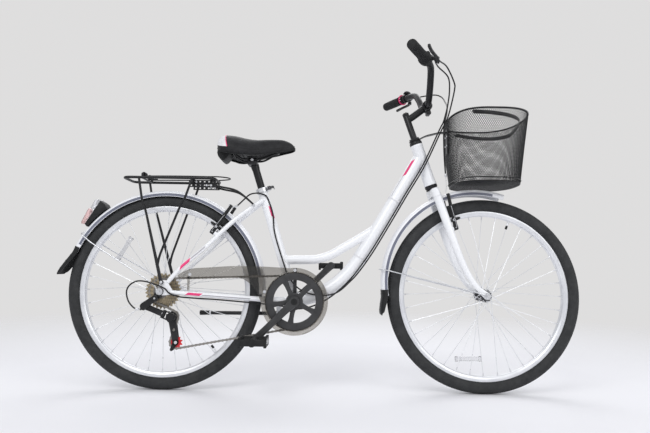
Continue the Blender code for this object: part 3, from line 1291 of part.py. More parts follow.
def basket_loop(level, inset, up=0.0):
    """A rounded outline with a flattened back, at one level of the basket."""
    rear, front, half_width, z = level
    middle, half_length = (rear + front) / 2, (front - rear) / 2 - inset
    loop = []
    for step in range(BASKET_STEPS):
        angle = math.tau * step / BASKET_STEPS
        x, y = math.cos(angle), math.sin(angle)
        x = math.copysign(abs(x) ** (0.55 if x < 0 else 0.8), x)
        y = math.copysign(abs(y) ** 0.8, y)
        loop.append((middle + half_length * x, (half_width - inset) * y, z + up))
    return loop


def make_basket():
    """The wire mesh is one thin wall, open on top, on the bracket that the headset locknut holds."""
    levels = [(BASKET_TOP, 0.0), (BASKET_MIDDLE, 0.0), (BASKET_FLOOR, 0.0)]
    rings = [basket_loop(level, 0.0) for level, _ in levels]
    rings.append(basket_loop(BASKET_FLOOR, BASKET_WALL, BASKET_WALL))
    rings.append(basket_loop(BASKET_MIDDLE, BASKET_WALL))
    rings.append(basket_loop(BASKET_TOP, BASKET_WALL))
    points = [point for ring in rings for point in ring]
    floor_outside = tuple(range(2 * BASKET_STEPS, 3 * BASKET_STEPS))
    floor_inside = tuple(range(3 * BASKET_STEPS, 4 * BASKET_STEPS))
    faces = [floor_outside, floor_inside]
    for first, second in ((0, 1), (1, 2), (3, 4), (4, 5), (5, 0)):
        for place in range(BASKET_STEPS):
            following = (place + 1) % BASKET_STEPS
            low, high = first * BASKET_STEPS, second * BASKET_STEPS
            faces.append((low + place, low + following, high + following, high + place))
    add("basket", unite(solid(points, faces), *basket_bracket()), "black_paint", steer(0))


def basket_bracket():
    """A flat ring held by the headset locknut, with an arm to the upright plate that the basket is bolted to."""
    ring = washer(steer(0), 0.0143, 0.0205, -0.0036, -0.0010, STEER_DOWN, 12)
    arm = [steer(-0.0023, 0.0170), steer(-0.0060, 0.0400), (0.9300, 0, 0.8868), (0.9530, 0, 0.8868)]
    strap = sweep(arm, bar(0.0140, 0.0013), side=ALONG_Y)
    upright = block((0.95525, 0, 0.8540), (0.0063, 0.0400, 0.0880))
    return [ring, strap, upright]


def make_front():
    make_fork()
    make_stem()
    make_handlebar()
    make_grips()
    make_perches()
    make_levers()
    make_bell()
    make_basket()
    arm_up = Vector((-0.2100, 0, 0.9780)).normalized()
    make_brake_arms("front", steer(FORK_STUD_DOWN), FORK_STUD_Y, STEER_FORWARD, arm_up, 0.1180, 0.0268, FRONT_AXLE)


# Cables
CABLE_RADIUS = 0.0025
CABLE_BREAK_Z = 0.8000
ALONG_DOWN_TUBE = [
    (0.9260, 0.8863),
    (0.8708, 0.7669),
    (0.8094, 0.6625),
    (0.7540, 0.5670),
    (0.6986, 0.4739),
    (0.6550, 0.4100),
]


def beside_down_tube(shift):
    """The run beside the down tube, moved ahead or back to lie beside another cable."""
    return [(x + shift, -0.0300, z - shift * 0.6) for x, z in ALONG_DOWN_TUBE]


def split_cable(name, points, break_z):
    """A cable in two nodes that meet beside the head tube: the loop that steers, and the run on the frame."""
    place = next(at for at, point in enumerate(points) if point[2] < break_z)
    before, after = Vector(points[place - 1]), Vector(points[place])
    meeting = before.lerp(after, (before.z - break_z) / (before.z - after.z))
    ahead = (after - before).normalized()
    add_cord(name + "_loop", points[:place] + [meeting - ahead * GAP], CABLE_RADIUS, "black_plastic", 1)
    add_cord(name, [meeting + ahead * GAP] + points[place:], CABLE_RADIUS, "black_plastic", 1)


def make_cables():
    start = RIGHT_BRAKE_BARREL[0] + bar_axis(-1) * 0.0006
    rear_brake = [start, start + bar_axis(-1) * 0.02, (0.9304, -0.1200, 1.0795), (0.9630, -0.0800, 1.0428)]
    rear_brake += [(0.9694, -0.0600, 1.0218), (0.9584, -0.0400, 0.9578), (0.9480, -0.0300, 0.9217)]
    rear_brake += beside_down_tube(0.0030)
    rear_brake += [(0.6240, -0.0330, 0.3690), (0.5760, -0.0340, 0.3290), (0.5150, -0.0310, 0.3200)]
    rear_brake.append((0.4560, -0.0265, 0.3380))
    rear_brake += [(0.4180, -0.0225, 0.3780), (0.3944, -0.0210, 0.4360), (0.3660, -0.0210, 0.5250)]
    rear_brake += [(0.3580, -0.0165, 0.5900), (0.3430, -0.0150, 0.6350), (0.3330, -0.0190, 0.6530)]
    rear_brake += [(0.3180, -0.0220, 0.6590), (0.3000, -0.0180, 0.6620), (0.2760, -0.0080, 0.6580)]
    rear_brake += [(0.2560, -0.0080, 0.6400), (0.2380, -0.0170, 0.6200), (0.2290, -0.0265, 0.6130)]
    split_cable("rear_brake_cable", rear_brake, CABLE_BREAK_Z)
    start = SHIFT_BARREL[0] + bar_axis(-1) * 0.0006
    shift = [start, start + bar_axis(-1) * 0.03, (0.9050, -0.1000, 1.0880), (0.9498, -0.0500, 1.0706)]
    shift += [(0.9571, -0.0400, 1.0282), (0.9520, -0.0350, 0.9767), (0.9450, -0.0300, 0.9428)]
    shift += [(0.9370, -0.0300, 0.9160)] + beside_down_tube(-0.0030)
    shift += [(0.6180, -0.0265, 0.3690), (0.5700, -0.0240, 0.3240), (0.5250, -0.0235, 0.2950)]
    shift.append((0.4800, -0.0230, 0.2780))
    shift += [(0.4386, -0.0225, 0.2740), (0.3900, -0.0240, 0.2830), (0.3400, -0.0330, 0.2885)]
    shift += [(0.2000, -0.0475, 0.3005), (0.0950, -0.0640, 0.3072), (0.0600, -0.0750, 0.3115)]
    shift += [(0.0330, -0.0800, 0.3220), (0.0160, -0.0822, 0.3380), (-0.0290, -0.0832, 0.3550)]
    shift += [(-0.0660, -0.0790, 0.3600), (-0.0900, -0.0755, 0.3520), (-0.1040, -0.0740, 0.3370)]
    shift += [(-0.1070, -0.0740, 0.3180), (-0.0980, -0.0770, 0.2930), (-0.0780, -0.0840, 0.2740)]
    shift.append((-0.0614, -0.0868, 0.2690))
    split_cable("shift_cable", shift, CABLE_BREAK_Z)
    start = LEFT_BRAKE_BARREL[0] + bar_axis(1) * 0.0006
    front_brake = [start, start + bar_axis(1) * 0.02, (0.9450, 0.1730, 1.0780), (0.9692, 0.1450, 1.0617)]
    front_brake += [(0.9730, 0.1000, 1.0290), (0.9688, 0.0500, 0.9952), (0.9560, 0.0000, 0.9560)]
    front_brake += [(0.9440, -0.0220, 0.9200), (0.9390, -0.0290, 0.8800), (0.9400, -0.0300, 0.8000)]
    front_brake += [(0.9450, -0.0300, 0.7267), (0.9470, -0.0285, 0.6950), (0.9460, -0.0255, 0.6720)]
    add_cord("front_brake_cable", front_brake, CABLE_RADIUS, "black_plastic", 1)



def clear_scene():
    for thing in list(bpy.data.objects):
        bpy.data.objects.remove(thing)
    origin = bpy.data.objects.new("bicycle", None)
    bpy.context.scene.collection.objects.link(origin)
    origin.location = (-MIDDLE_X, 0, 0)


clear_scene()
make_wheels()
make_drive_train()
make_rear()
make_front()
make_cables()
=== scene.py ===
"""Looks of a step-through city bicycle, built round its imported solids.

Shapes are written in the design frame: rear axle at x = 0, +X forward, +Y left, +Z up, ground at z = 0.
Each finished piece is moved back by MIDDLE_X, which puts the middle of the bicycle's length at x = 0.
"""

import json
import math

import bmesh
import bpy
import numpy as np
from mathutils import Matrix, Vector

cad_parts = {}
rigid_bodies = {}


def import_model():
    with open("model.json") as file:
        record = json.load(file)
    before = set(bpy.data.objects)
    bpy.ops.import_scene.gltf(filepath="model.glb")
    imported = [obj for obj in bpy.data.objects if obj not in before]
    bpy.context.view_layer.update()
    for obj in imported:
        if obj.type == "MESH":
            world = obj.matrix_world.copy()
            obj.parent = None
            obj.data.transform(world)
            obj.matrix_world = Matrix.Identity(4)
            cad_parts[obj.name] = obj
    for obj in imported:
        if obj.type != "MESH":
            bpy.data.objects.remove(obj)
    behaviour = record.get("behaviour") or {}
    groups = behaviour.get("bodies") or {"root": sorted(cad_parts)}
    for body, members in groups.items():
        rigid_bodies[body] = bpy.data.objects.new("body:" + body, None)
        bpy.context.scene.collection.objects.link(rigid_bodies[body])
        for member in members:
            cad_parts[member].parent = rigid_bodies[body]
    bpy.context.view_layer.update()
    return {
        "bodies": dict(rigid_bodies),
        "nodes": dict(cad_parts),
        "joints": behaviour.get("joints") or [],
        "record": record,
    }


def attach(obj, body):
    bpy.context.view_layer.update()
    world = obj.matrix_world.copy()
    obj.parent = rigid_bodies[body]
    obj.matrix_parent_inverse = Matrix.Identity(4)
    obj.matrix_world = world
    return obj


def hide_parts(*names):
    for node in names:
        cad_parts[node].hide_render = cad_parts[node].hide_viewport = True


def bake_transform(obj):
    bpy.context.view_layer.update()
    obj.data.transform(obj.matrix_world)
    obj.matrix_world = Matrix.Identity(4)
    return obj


# Driving dimensions, in metres and degrees
WHEELBASE = 1.0756
TYRE_RADIUS = 0.3265
RIM_INNER_RADIUS = 0.2685
CRANK_LENGTH = 0.170
CRANK_ANGLE = math.radians(224.6)
SEAT_ANGLE = math.radians(72.06)
STEER_TILT = math.radians(19.3)
HEAD_TOP = Vector((0.845, 0, 0.855))
CHAIN_Y = -0.046
MUDFLAP_REACH = 0.367
MIDDLE_X = (WHEELBASE + TYRE_RADIUS - MUDFLAP_REACH) / 2

ALONG_X = Vector((1, 0, 0))
ALONG_Y = Vector((0, 1, 0))
ALONG_Z = Vector((0, 0, 1))
REAR_AXLE = Vector((0, 0, TYRE_RADIUS))
FRONT_AXLE = Vector((WHEELBASE, 0, TYRE_RADIUS))
CRANK_AXLE = Vector((0.4386, 0, 0.2995))
SEAT_UP = Vector((-math.cos(SEAT_ANGLE), 0, math.sin(SEAT_ANGLE)))
SEAT_FORWARD = Vector((math.sin(SEAT_ANGLE), 0, math.cos(SEAT_ANGLE)))
STEER_DOWN = Vector((math.sin(STEER_TILT), 0, -math.cos(STEER_TILT)))
STEER_FORWARD = Vector((math.cos(STEER_TILT), 0, math.sin(STEER_TILT)))

for thing in list(bpy.data.objects):
    bpy.data.objects.remove(thing)
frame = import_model()


# Modelling helpers
def bare(points, faces):
    """A mesh from points and faces, left as they are."""
    mesh = bpy.data.meshes.new("shape")
    mesh.from_pydata([tuple(point) for point in points], [], faces)
    return mesh


def edited(mesh, *changes):
    """The mesh after each change, a function that works on it as a bmesh."""
    work = bmesh.new()
    work.from_mesh(mesh)
    for change in changes:
        change(work)
    work.to_mesh(mesh)
    work.free()
    return mesh


def merge_doubles(work):
    bmesh.ops.remove_doubles(work, verts=work.verts, dist=1e-6)


def drop_slivers(work):
    bmesh.ops.dissolve_degenerate(work, edges=work.edges, dist=1e-7)


def face_outwards(work):
    bmesh.ops.recalc_face_normals(work, faces=work.faces)
    if work.calc_volume(signed=True) < 0:
        bmesh.ops.reverse_faces(work, faces=work.faces)


def outward(mesh):
    return edited(mesh, face_outwards)


def solid(points, faces):
    """A mesh from points and faces, with its faces turned outwards."""
    return outward(bare(points, faces))


def grid_faces(rows, columns, round_rows=False, round_columns=False, first=0):
    """Quads between neighbouring rows of points; a round direction closes on itself."""
    faces = []
    for row in range(rows if round_rows else rows - 1):
        low, high = first + row * columns, first + (row + 1) % rows * columns
        for place in range(columns if round_columns else columns - 1):
            following = (place + 1) % columns
            faces.append((low + place, low + following, high + following, high + place))
    return faces


def directions(path, closed):
    """The unit direction of the path at each of its points."""
    last = len(path) - 1
    found = []
    for place in range(len(path)):
        before = path[place - 1] if place or closed else path[0]
        after = path[(place + 1) % len(path)] if place < last or closed else path[last]
        found.append((after - before).normalized())
    return found


def sweep(path, section, scales=None, side=None, closed=False):
    """A solid whose section of (across, up) points follows the path; across keeps to side where given."""
    path = [Vector(point) for point in path]
    scales = scales or [1] * len(path)
    heading = directions(path, closed)
    across = side.copy() if side else heading[0].orthogonal()
    points = []
    for place, (centre, ahead, scale) in enumerate(zip(path, heading, scales)):
        if place and not side:
            across = heading[place - 1].rotation_difference(ahead) @ across
        across = (across - across.dot(ahead) * ahead).normalized()
        up = across.cross(ahead)
        wide, high = scale if isinstance(scale, tuple) else (scale, scale)
        points += [centre + across * (a * wide) + up * (b * high) for a, b in section]
        across = side.copy() if side else across
    count = len(section)
    rings = len(path)
    faces = grid_faces(rings, count, closed, True)
    if not closed:
        faces += [tuple(range(count)), tuple(range((rings - 1) * count, rings * count))]
    return solid(points, faces)


def circle(radius, sides=24):
    """A round section."""
    turn = math.tau / sides
    return [(radius * math.cos(turn * (n + 0.5)), radius * math.sin(turn * (n + 0.5))) for n in range(sides)]


def bar(half_width, half_height, corner=0.0):
    """A rectangular section, with rounded corners where a corner radius is given."""
    if not corner:
        corners = ((-1, -1), (1, -1), (1, 1), (-1, 1))
        return [(across * half_width, up * half_height) for across, up in corners]
    section = []
    for across, up, start in ((1, -1, -90), (1, 1, 0), (-1, 1, 90), (-1, -1, 180)):
        middle = (across * (half_width - corner), up * (half_height - corner))
        for step in range(4):
            angle = math.radians(start + 30 * step)
            section.append((middle[0] + corner * math.cos(angle), middle[1] + corner * math.sin(angle)))
    return section


def rod(start, end, radius, sides=24, end_radius=None, edge=0.0):
    """A straight round bar; its ends are chamfered by edge."""
    start, end = Vector(start), Vector(end)
    last = end_radius or radius
    if not edge:
        return sweep([start, end], circle(radius, sides), scales=[1, last / radius])
    run = (end - start).normalized() * edge
    path = [start, start + run, end - run, end]
    scales = [1 - edge / radius, 1, last / radius, (last - edge) / radius]
    return sweep(path, circle(radius, sides), scales)


def pin(centre, start, end, radius, sides=24, edge=0.0, axis=ALONG_Y):
    """A round bar on an axis, between two distances from the centre."""
    centre = Vector(centre)
    return rod(centre + axis * start, centre + axis * end, radius, sides, edge=edge)


def block(centre, size, along=None, up=None, corner=0.0008):
    """A box with softened edges, turned so that its length runs along a direction."""
    along = Vector(along or (1, 0, 0)).normalized()
    up = Vector(up or (0, 0, 1))
    half = along * (size[0] / 2)
    centre = Vector(centre)
    across = up.cross(along).normalized()
    corner = min(corner, size[0] / 4, size[1] / 4, size[2] / 4)
    run = along * corner
    small = (1 - 2 * corner / size[1], 1 - 2 * corner / size[2])
    path = [centre - half, centre - half + run, centre + half - run, centre + half]
    return sweep(path, bar(size[1] / 2, size[2] / 2, corner), [small, 1, 1, small], side=across)


def plate(outline, low, high, edge=0.0):
    """A flat plate: an (x, z) outline extruded from y = low to y = high, with edges bevelled where asked."""
    count = len(outline)
    points = [(x, y, z) for y in (low, high) for x, z in outline]
    faces = [tuple(range(count)), tuple(range(count, 2 * count))] + grid_faces(2, count, False, True)
    mesh = solid(points, faces)
    return bevelled(mesh, edge) if edge else mesh


def bevelled(mesh, width, angle=30, segments=2):
    """The mesh with its sharp edges rounded off."""
    target = bpy.data.objects.new("target", mesh)
    bpy.context.scene.collection.objects.link(target)
    modifier = target.modifiers.new("bevel", "BEVEL")
    modifier.width = width
    modifier.segments = segments
    modifier.limit_method = "ANGLE"
    modifier.angle_limit = math.radians(angle)
    bpy.context.view_layer.update()
    made = bpy.data.meshes.new_from_object(target.evaluated_get(bpy.context.evaluated_depsgraph_get()))
    bpy.data.objects.remove(target)
    return made


def turned(profile, centre, axis=ALONG_Y, steps=48, ring=False):
    """The (radius, along) profile spun about an axis through the centre; a ring's profile is closed."""
    axis = Vector(axis).normalized()
    centre = Vector(centre)
    out = axis.orthogonal().normalized() if abs(axis.x) > 0.99 else Vector((1, 0, 0))
    out = (out - out.dot(axis) * axis).normalized()
    other = axis.cross(out)
    points = []
    for step in range(steps):
        angle = math.tau * step / steps
        ray = out * math.cos(angle) + other * math.sin(angle)
        points += [centre + axis * along + ray * radius for radius, along in profile]
    mesh = bare(points, grid_faces(steps, len(profile), True, ring))
    return edited(mesh, merge_doubles, drop_slivers, face_outwards)


def washer(centre, inner, outer, low, high, axis=ALONG_Y, steps=48, edge=0.0004):
    """A ring with a bore, from low to high along its axis, with its outer edges eased."""
    edge = min(edge, (high - low) / 4, (outer - inner) / 4)
    profile = [(inner, low), (outer - edge, low), (outer, low + edge)]
    profile += [(outer, high - edge), (outer - edge, high), (inner, high)]
    return turned(profile, centre, axis, steps, ring=True)


FASTENERS = {
    # name: sides, then the (radius, along) profile from its foot to its top
    "stud_screw": (28, [
        (0, -0.0008), (0.0052, -0.0008), (0.0052, 0.0026), (0.0044, 0.0034), (0.0024, 0.0034),
        (0.0022, 0.0016), (0, 0.0016),
    ]),
    "rack_screw": (24, [
        (0, 0), (0.0048, 0), (0.0050, 0.0014), (0.0042, 0.0034), (0.0022, 0.0038), (0.0020, 0.0020),
        (0, 0.0020),
    ]),
    "stay_screw": (24, [(0, 0), (0.0050, 0), (0.0050, 0.0020), (0.0036, 0.0034), (0, 0.0036)]),
    "stand_nut": (6, [(0, 0.0072), (0.0066, 0.0072), (0.0066, 0.0088), (0.0052, 0.0098), (0, 0.0100)]),
    "skewer_nut": (12, [
        (0, 0.0072), (0.0050, 0.0072), (0.0058, 0.0080), (0.0058, 0.0106), (0.0048, 0.0115), (0, 0.0115),
    ]),
    "fender_rivet": (16, [(0, 0.0016), (0.0018, 0.0014), (0.0026, 0.0004), (0.0026, -0.0004), (0, -0.0004)]),
    "rack_nut": (6, [(0, -0.0012), (0.0042, -0.0012), (0.0042, 0.0046), (0.0034, 0.0054), (0, 0.0054)]),
    "pad_nut": (6, [
        (0, 0), (0.0046, 0), (0.0050, 0.0006), (0.0050, 0.0036), (0.0044, 0.0042), (0.0026, 0.0042),
        (0.0022, 0.0030), (0, 0.0030),
    ]),
    "cable_screw": (24, [
        (0, 0), (0.0040, 0), (0.0040, 0.0028), (0.0032, 0.0034), (0.0020, 0.0034), (0.0018, 0.0020),
        (0, 0.0020),
    ]),
    "pulley_screw": (32, [
        (0, -0.0532), (0.0052, -0.0532), (0.0052, -0.0540), (0.0044, -0.0546), (0.0026, -0.0546),
        (0.0022, -0.0540), (0, -0.0540),
    ]),
    "mount_screw": (48, [
        (0, -0.0921), (0.0030, -0.0921), (0.0034, -0.0917), (0.0064, -0.0917), (0.0070, -0.0912),
        (0.0070, -0.0900), (0, -0.0900),
    ]),
    "clamp_screw": (28, [
        (0, 0), (0.0046, 0), (0.0048, 0.0004), (0.0048, 0.0042), (0.0040, 0.0050), (0.0025, 0.0050),
        (0.0022, 0.0028), (0, 0.0028),
    ]),
    "stem_screw": (24, [
        (0, -0.1046), (0.0030, -0.1046), (0.0030, -0.1070), (0.0060, -0.1070), (0.0062, -0.1064),
        (0.0062, -0.1035), (0, -0.1035),
    ]),
    "lever_screw": (20, [(0, 0.0088), (0.0042, 0.0088), (0.0042, 0.0104), (0.0034, 0.0112), (0, 0.0114)]),
    "bell_screw": (16, [(0, 0.0170), (0.0026, 0.0170), (0.0024, 0.0180), (0, 0.0184)]),
    "basket_screw": (16, [(0, 0), (0.0034, 0), (0.0030, 0.0014), (0.0012, 0.0020), (0, 0.0020)]),
    "basket_nut": (6, [(0, 0), (0.0040, 0), (0.0040, 0.0024), (0, 0.0024)]),
}


def fastener(kind, place, axis):
    """A screw head, nut or rivet about its axis."""
    sides, profile = FASTENERS[kind]
    return turned(profile, place, axis, sides)


def smooth(points, steps=6, closed=False):
    """Points along a smooth curve through the given ones."""
    points = [Vector(point) for point in points]
    count = len(points)
    curve = []
    for place in range(count if closed else count - 1):
        if closed:
            a, b, c, d = (points[(place + shift) % count] for shift in (-1, 0, 1, 2))
        else:
            a, b = points[max(place - 1, 0)], points[place]
            c, d = points[place + 1], points[min(place + 2, count - 1)]
        for step in range(steps):
            t = step / steps
            curve.append(
                0.5 * (2 * b + (c - a) * t + (2 * a - 5 * b + 4 * c - d) * t**2 + (3 * b - a - 3 * c + d) * t**3)
            )
    return curve if closed else curve + [points[-1]]


def rounded(points, radius, steps=6, closed=False):
    """The same run of straights with each corner rounded."""
    points = [Vector(point) for point in points]
    count = len(points)
    path = []
    for place, corner in enumerate(points):
        if not closed and place in (0, count - 1):
            path.append(corner)
            continue
        back = (points[place - 1] - corner).normalized()
        ahead = (points[(place + 1) % count] - corner).normalized()
        for step in range(steps + 1):
            t = step / steps
            path.append(corner + back * radius * (1 - t) ** 2 + ahead * radius * t**2)
    return path


def joined(*meshes):
    """Several meshes as one."""
    work = bmesh.new()
    for mesh in meshes:
        work.from_mesh(mesh)
    made = bpy.data.meshes.new("joined")
    work.to_mesh(made)
    work.free()
    return made


def boolean(body, others, operation):
    """The body united with the other meshes, or cut by them."""
    target = bpy.data.objects.new("target", body)
    bpy.context.scene.collection.objects.link(target)
    group = bpy.data.collections.new("operands")
    bpy.context.scene.collection.children.link(group)
    for mesh in others:
        group.objects.link(bpy.data.objects.new("operand", mesh))
    modifier = target.modifiers.new("boolean", "BOOLEAN")
    modifier.operation = operation
    modifier.operand_type = "COLLECTION"
    modifier.collection = group
    modifier.solver = "EXACT"
    bpy.context.view_layer.update()
    evaluated = target.evaluated_get(bpy.context.evaluated_depsgraph_get())
    result = bpy.data.meshes.new_from_object(evaluated)
    for helper in [target, *group.objects]:
        bpy.data.objects.remove(helper)
    bpy.data.collections.remove(group)
    return result


def unite(*meshes):
    return boolean(meshes[0], meshes[1:], "UNION")


def cut(body, *cutters):
    return boolean(body, cutters, "DIFFERENCE")


def mirrored(mesh):
    """The same shape on the other side of the bicycle's middle plane."""
    copy = mesh.copy()
    copy.transform(Matrix.Scale(-1, 4, ALONG_Y))
    return outward(copy)


def both(mesh):
    return [mesh, mirrored(mesh)]


def piece(name, mesh, finish, body, *replaced, slot=None, angle=35):
    """A finished piece: it takes the finish, rides on a body and stands for the replaced nodes."""
    mesh.transform(Matrix.Translation((-MIDDLE_X, 0, 0)))
    mesh.materials.clear()
    for each in finish if isinstance(finish, list) else [finish]:
        mesh.materials.append(material(each))
    mesh.shade_smooth()
    mesh.set_sharp_from_angle(angle=math.radians(angle))
    mesh.name = name
    made = bpy.data.objects.new(name, mesh)
    bpy.context.scene.collection.objects.link(made)
    if body:
        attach(made, body)
    first = finish[0] if isinstance(finish, list) else finish
    slot or SLOTS.get(first, first)
    if replaced:
        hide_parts(*replaced)
    return made


def on_wheel(axle, radius, angle, y=0.0):
    """A point at a radius and angle about an axle, y to the left."""
    return Vector((axle.x + radius * math.cos(angle), y, axle.z + radius * math.sin(angle)))


def arc(centre, radius, start, end, steps):
    """(x, z) points along an arc, with its angles in degrees."""
    turn = (end - start) / steps
    angles = [math.radians(start + turn * step) for step in range(steps + 1)]
    return [(centre.x + radius * math.cos(a), centre.z + radius * math.sin(a)) for a in angles]


def capsule(first, first_radius, second, second_radius, steps=12):
    """The (x, z) outline of a bar with two round ends."""
    run = second - first
    heading = math.degrees(math.atan2(run.z, run.x))
    splay = math.degrees(math.acos((first_radius - second_radius) / run.length))
    near = arc(first, first_radius, heading + splay, heading + 360 - splay, steps)
    return near + arc(second, second_radius, heading - splay, heading + splay, steps)


def in_plane(points, y=0.0):
    """(x, z) points as points at one y."""
    return [Vector((x, y, z)) for x, z in points]


def flipped(points):
    """The points on the other side of the bicycle's middle plane."""
    return [Vector((x, -y, z)) for x, y, z in points]


def loop(centre, across, up, count):
    """Points round an ellipse with those two half axes."""
    turn = math.tau / count
    return [centre + across * math.cos(turn * n) + up * math.sin(turn * n) for n in range(count)]


def path_length(path):
    return sum((second - first).length for first, second in zip(path, path[1:]))


def steer(down, forward=0.0, y=0.0):
    """A point measured down and ahead of the top of the steering axis."""
    return HEAD_TOP + STEER_DOWN * down + STEER_FORWARD * forward + ALONG_Y * y


def seat_line(up, forward=0.0, y=0.0):
    """A point measured up and ahead of the crank axle along the seat tube."""
    return CRANK_AXLE + SEAT_UP * up + SEAT_FORWARD * forward + ALONG_Y * y


# Materials
PALETTE = {
    # finish: colour, second colour, patch size in metres, roughness, its spread, metallic, coat
    "white_paint": ((0.87, 0.88, 0.90), (0.84, 0.85, 0.875), 0.12, 0.26, 0.06, 0.0, 0.6),
    "fender_white": ((0.87, 0.875, 0.90), (0.82, 0.83, 0.865), 0.10, 0.30, 0.06, 0.0, 0.3),
    "black_paint": ((0.008, 0.008, 0.009), (0.014, 0.014, 0.015), 0.020, 0.34, 0.10, 0.0, 0.08),
    "crank_black": ((0.022, 0.022, 0.023), (0.034, 0.034, 0.036), 0.020, 0.36, 0.10, 0.0, 0.1),
    "black_plastic": ((0.010, 0.011, 0.011), (0.018, 0.018, 0.019), 0.015, 0.48, 0.12, 0.0, 0.0),
    "grip_rubber": ((0.011, 0.011, 0.012), (0.019, 0.019, 0.020), 0.012, 0.62, 0.12, 0.0, 0.0),
    "tyre_rubber": ((0.014, 0.015, 0.016), (0.026, 0.027, 0.028), 0.040, 0.70, 0.14, 0.0, 0.0),
    "bright_alloy": ((0.72, 0.73, 0.75), (0.60, 0.61, 0.63), 0.030, 0.28, 0.10, 1.0, 0.0),
    # dark grey: the seat lever's own colour, and on the polished hub shells a painted dark reflection
    "grey_alloy": ((0.085, 0.085, 0.09), (0.05, 0.05, 0.055), 0.020, 0.30, 0.10, 0.6, 0.0),
    "rim_alloy": ((0.82, 0.83, 0.85), (0.72, 0.73, 0.76), 0.050, 0.34, 0.10, 0.75, 0.1),
    "spoke_steel": ((0.84, 0.85, 0.87), (0.74, 0.75, 0.77), 0.050, 0.30, 0.08, 0.55, 0.0),
    "dark_steel": ((0.17, 0.155, 0.14), (0.08, 0.072, 0.064), 0.010, 0.38, 0.16, 0.9, 0.0),
    "brass_steel": ((0.30, 0.24, 0.155), (0.15, 0.115, 0.075), 0.012, 0.36, 0.16, 0.85, 0.0),
    "red_plastic": ((0.72, 0.020, 0.030), (0.55, 0.012, 0.020), 0.010, 0.34, 0.08, 0.0, 0.2),
    "pink_film": ((0.80, 0.035, 0.19), (0.74, 0.030, 0.16), 0.030, 0.28, 0.04, 0.0, 0.4),
    "grey_film": ((0.40, 0.39, 0.42), (0.34, 0.33, 0.36), 0.030, 0.30, 0.04, 0.0, 0.4),
    # painted shade: the grey band laid along the lower edges of the white fenders
    "band_grey": ((0.17, 0.18, 0.23), (0.13, 0.14, 0.19), 0.060, 0.34, 0.06, 0.0, 0.2),
    "cable_black": ((0.010, 0.010, 0.011), (0.017, 0.017, 0.018), 0.030, 0.30, 0.06, 0.0, 0.0),
    "mesh_black": ((0.008, 0.008, 0.009), (0.015, 0.015, 0.016), 0.010, 0.36, 0.10, 0.0, 0.0),
    "saddle_vinyl": ((0.010, 0.010, 0.011), (0.018, 0.018, 0.020), 0.020, 0.50, 0.12, 0.0, 0.0),
    "saddle_white": ((0.78, 0.78, 0.80), (0.70, 0.70, 0.72), 0.020, 0.45, 0.10, 0.0, 0.0),
    "pad_rubber": ((0.024, 0.024, 0.026), (0.045, 0.044, 0.043), 0.006, 0.72, 0.10, 0.0, 0.0),
}
GRAINS = {
    # finish: size of the grain in metres, its depth in metres, kind
    "white_paint": (0.0022, 0.00002, "noise"),
    "fender_white": (0.0030, 0.00003, "noise"),
    "black_paint": (0.0012, 0.00003, "noise"),
    "black_plastic": (0.0008, 0.00007, "noise"),
    "grip_rubber": (0.0012, 0.00012, "cells"),
    "tyre_rubber": (0.0010, 0.00012, "noise"),
    "bright_alloy": (0.0009, 0.00002, "noise"),
    "rim_alloy": (0.0010, 0.00002, "noise"),
    "dark_steel": (0.0008, 0.00005, "noise"),
    "brass_steel": (0.0010, 0.00005, "noise"),
    "saddle_vinyl": (0.0018, 0.00014, "cells"),
    "saddle_white": (0.0018, 0.00012, "cells"),
    "mesh_black": (0.0010, 0.00004, "noise"),
    "pad_rubber": (0.0010, 0.00010, "noise"),
}
SLOTS = {
    "crank_black": "black_paint",
    "fender_white": "white_paint",
    "grip_rubber": "black_plastic",
    "cable_black": "black_plastic",
    "pad_rubber": "black_plastic",
    "mesh_black": "black_paint",
    "rim_alloy": "bright_alloy",
    # the dark hub shells are bright alloy whose dark colour is a painted reflection
    "grey_alloy": "bright_alloy",
    "spoke_steel": "bright_alloy",
    "saddle_white": "saddle_vinyl",
    "pink_film": "red_plastic",
    "grey_film": "white_paint",
    # the fenders' painted shade stands on their white paint
    "band_grey": "white_paint",
    "clear_plastic": "lamp_lens",
    "clear_reflector": "lamp_lens",
}
DULL = ("black_paint", "black_plastic", "grip_rubber", "cable_black", "mesh_black")
DULL += ("saddle_vinyl", "pad_rubber")
WORN = {
    # finish: colour of its worn edges
    "black_paint": (0.035, 0.035, 0.037),
    "bright_alloy": (0.9, 0.9, 0.92),
    "dark_steel": (0.45, 0.43, 0.40),
    "brass_steel": (0.55, 0.47, 0.33),
}
DULL_SPECULAR = 0.26
COAT_ROUGHNESS = 0.12
PLASTIC_INDEX = 1.49
PATCH_SPAN, STREAK_SPAN, EDGE_SPAN = (0.35, 0.65), (0.3, 0.7), (0.53, 0.62)
EDGE_WEAR = 0.6


def node(tree, kind, **values):
    """A shader node with its inputs and properties set by name."""
    made = tree.nodes.new(kind)
    for key, value in values.items():
        name = key.replace("_", " ")
        if name in made.inputs:
            made.inputs[name].default_value = value
        else:
            setattr(made, key, value)
    return made


def pattern(tree, size, kind="noise", detail=4.0):
    """A pattern of that size in object space, as a value near 0 to 1."""
    place = node(tree, "ShaderNodeTexCoord").outputs["Object"]
    if kind == "cells":
        made = node(tree, "ShaderNodeTexVoronoi", Scale=1 / size)
        out = made.outputs["Distance"]
    else:
        made = node(tree, "ShaderNodeTexNoise", Scale=1 / size, Detail=detail, Roughness=0.6)
        out = made.outputs["Fac"]
    tree.links.new(place, made.inputs["Vector"])
    return out


def remap(tree, value, span, to_low, to_high):
    """The value stretched from its span to another one, and held inside it."""
    made = node(tree, "ShaderNodeMapRange")
    for name, number in zip(("From Min", "From Max", "To Min", "To Max"), (*span, to_low, to_high)):
        made.inputs[name].default_value = number
    tree.links.new(value, made.inputs["Value"])
    return made.outputs["Result"]


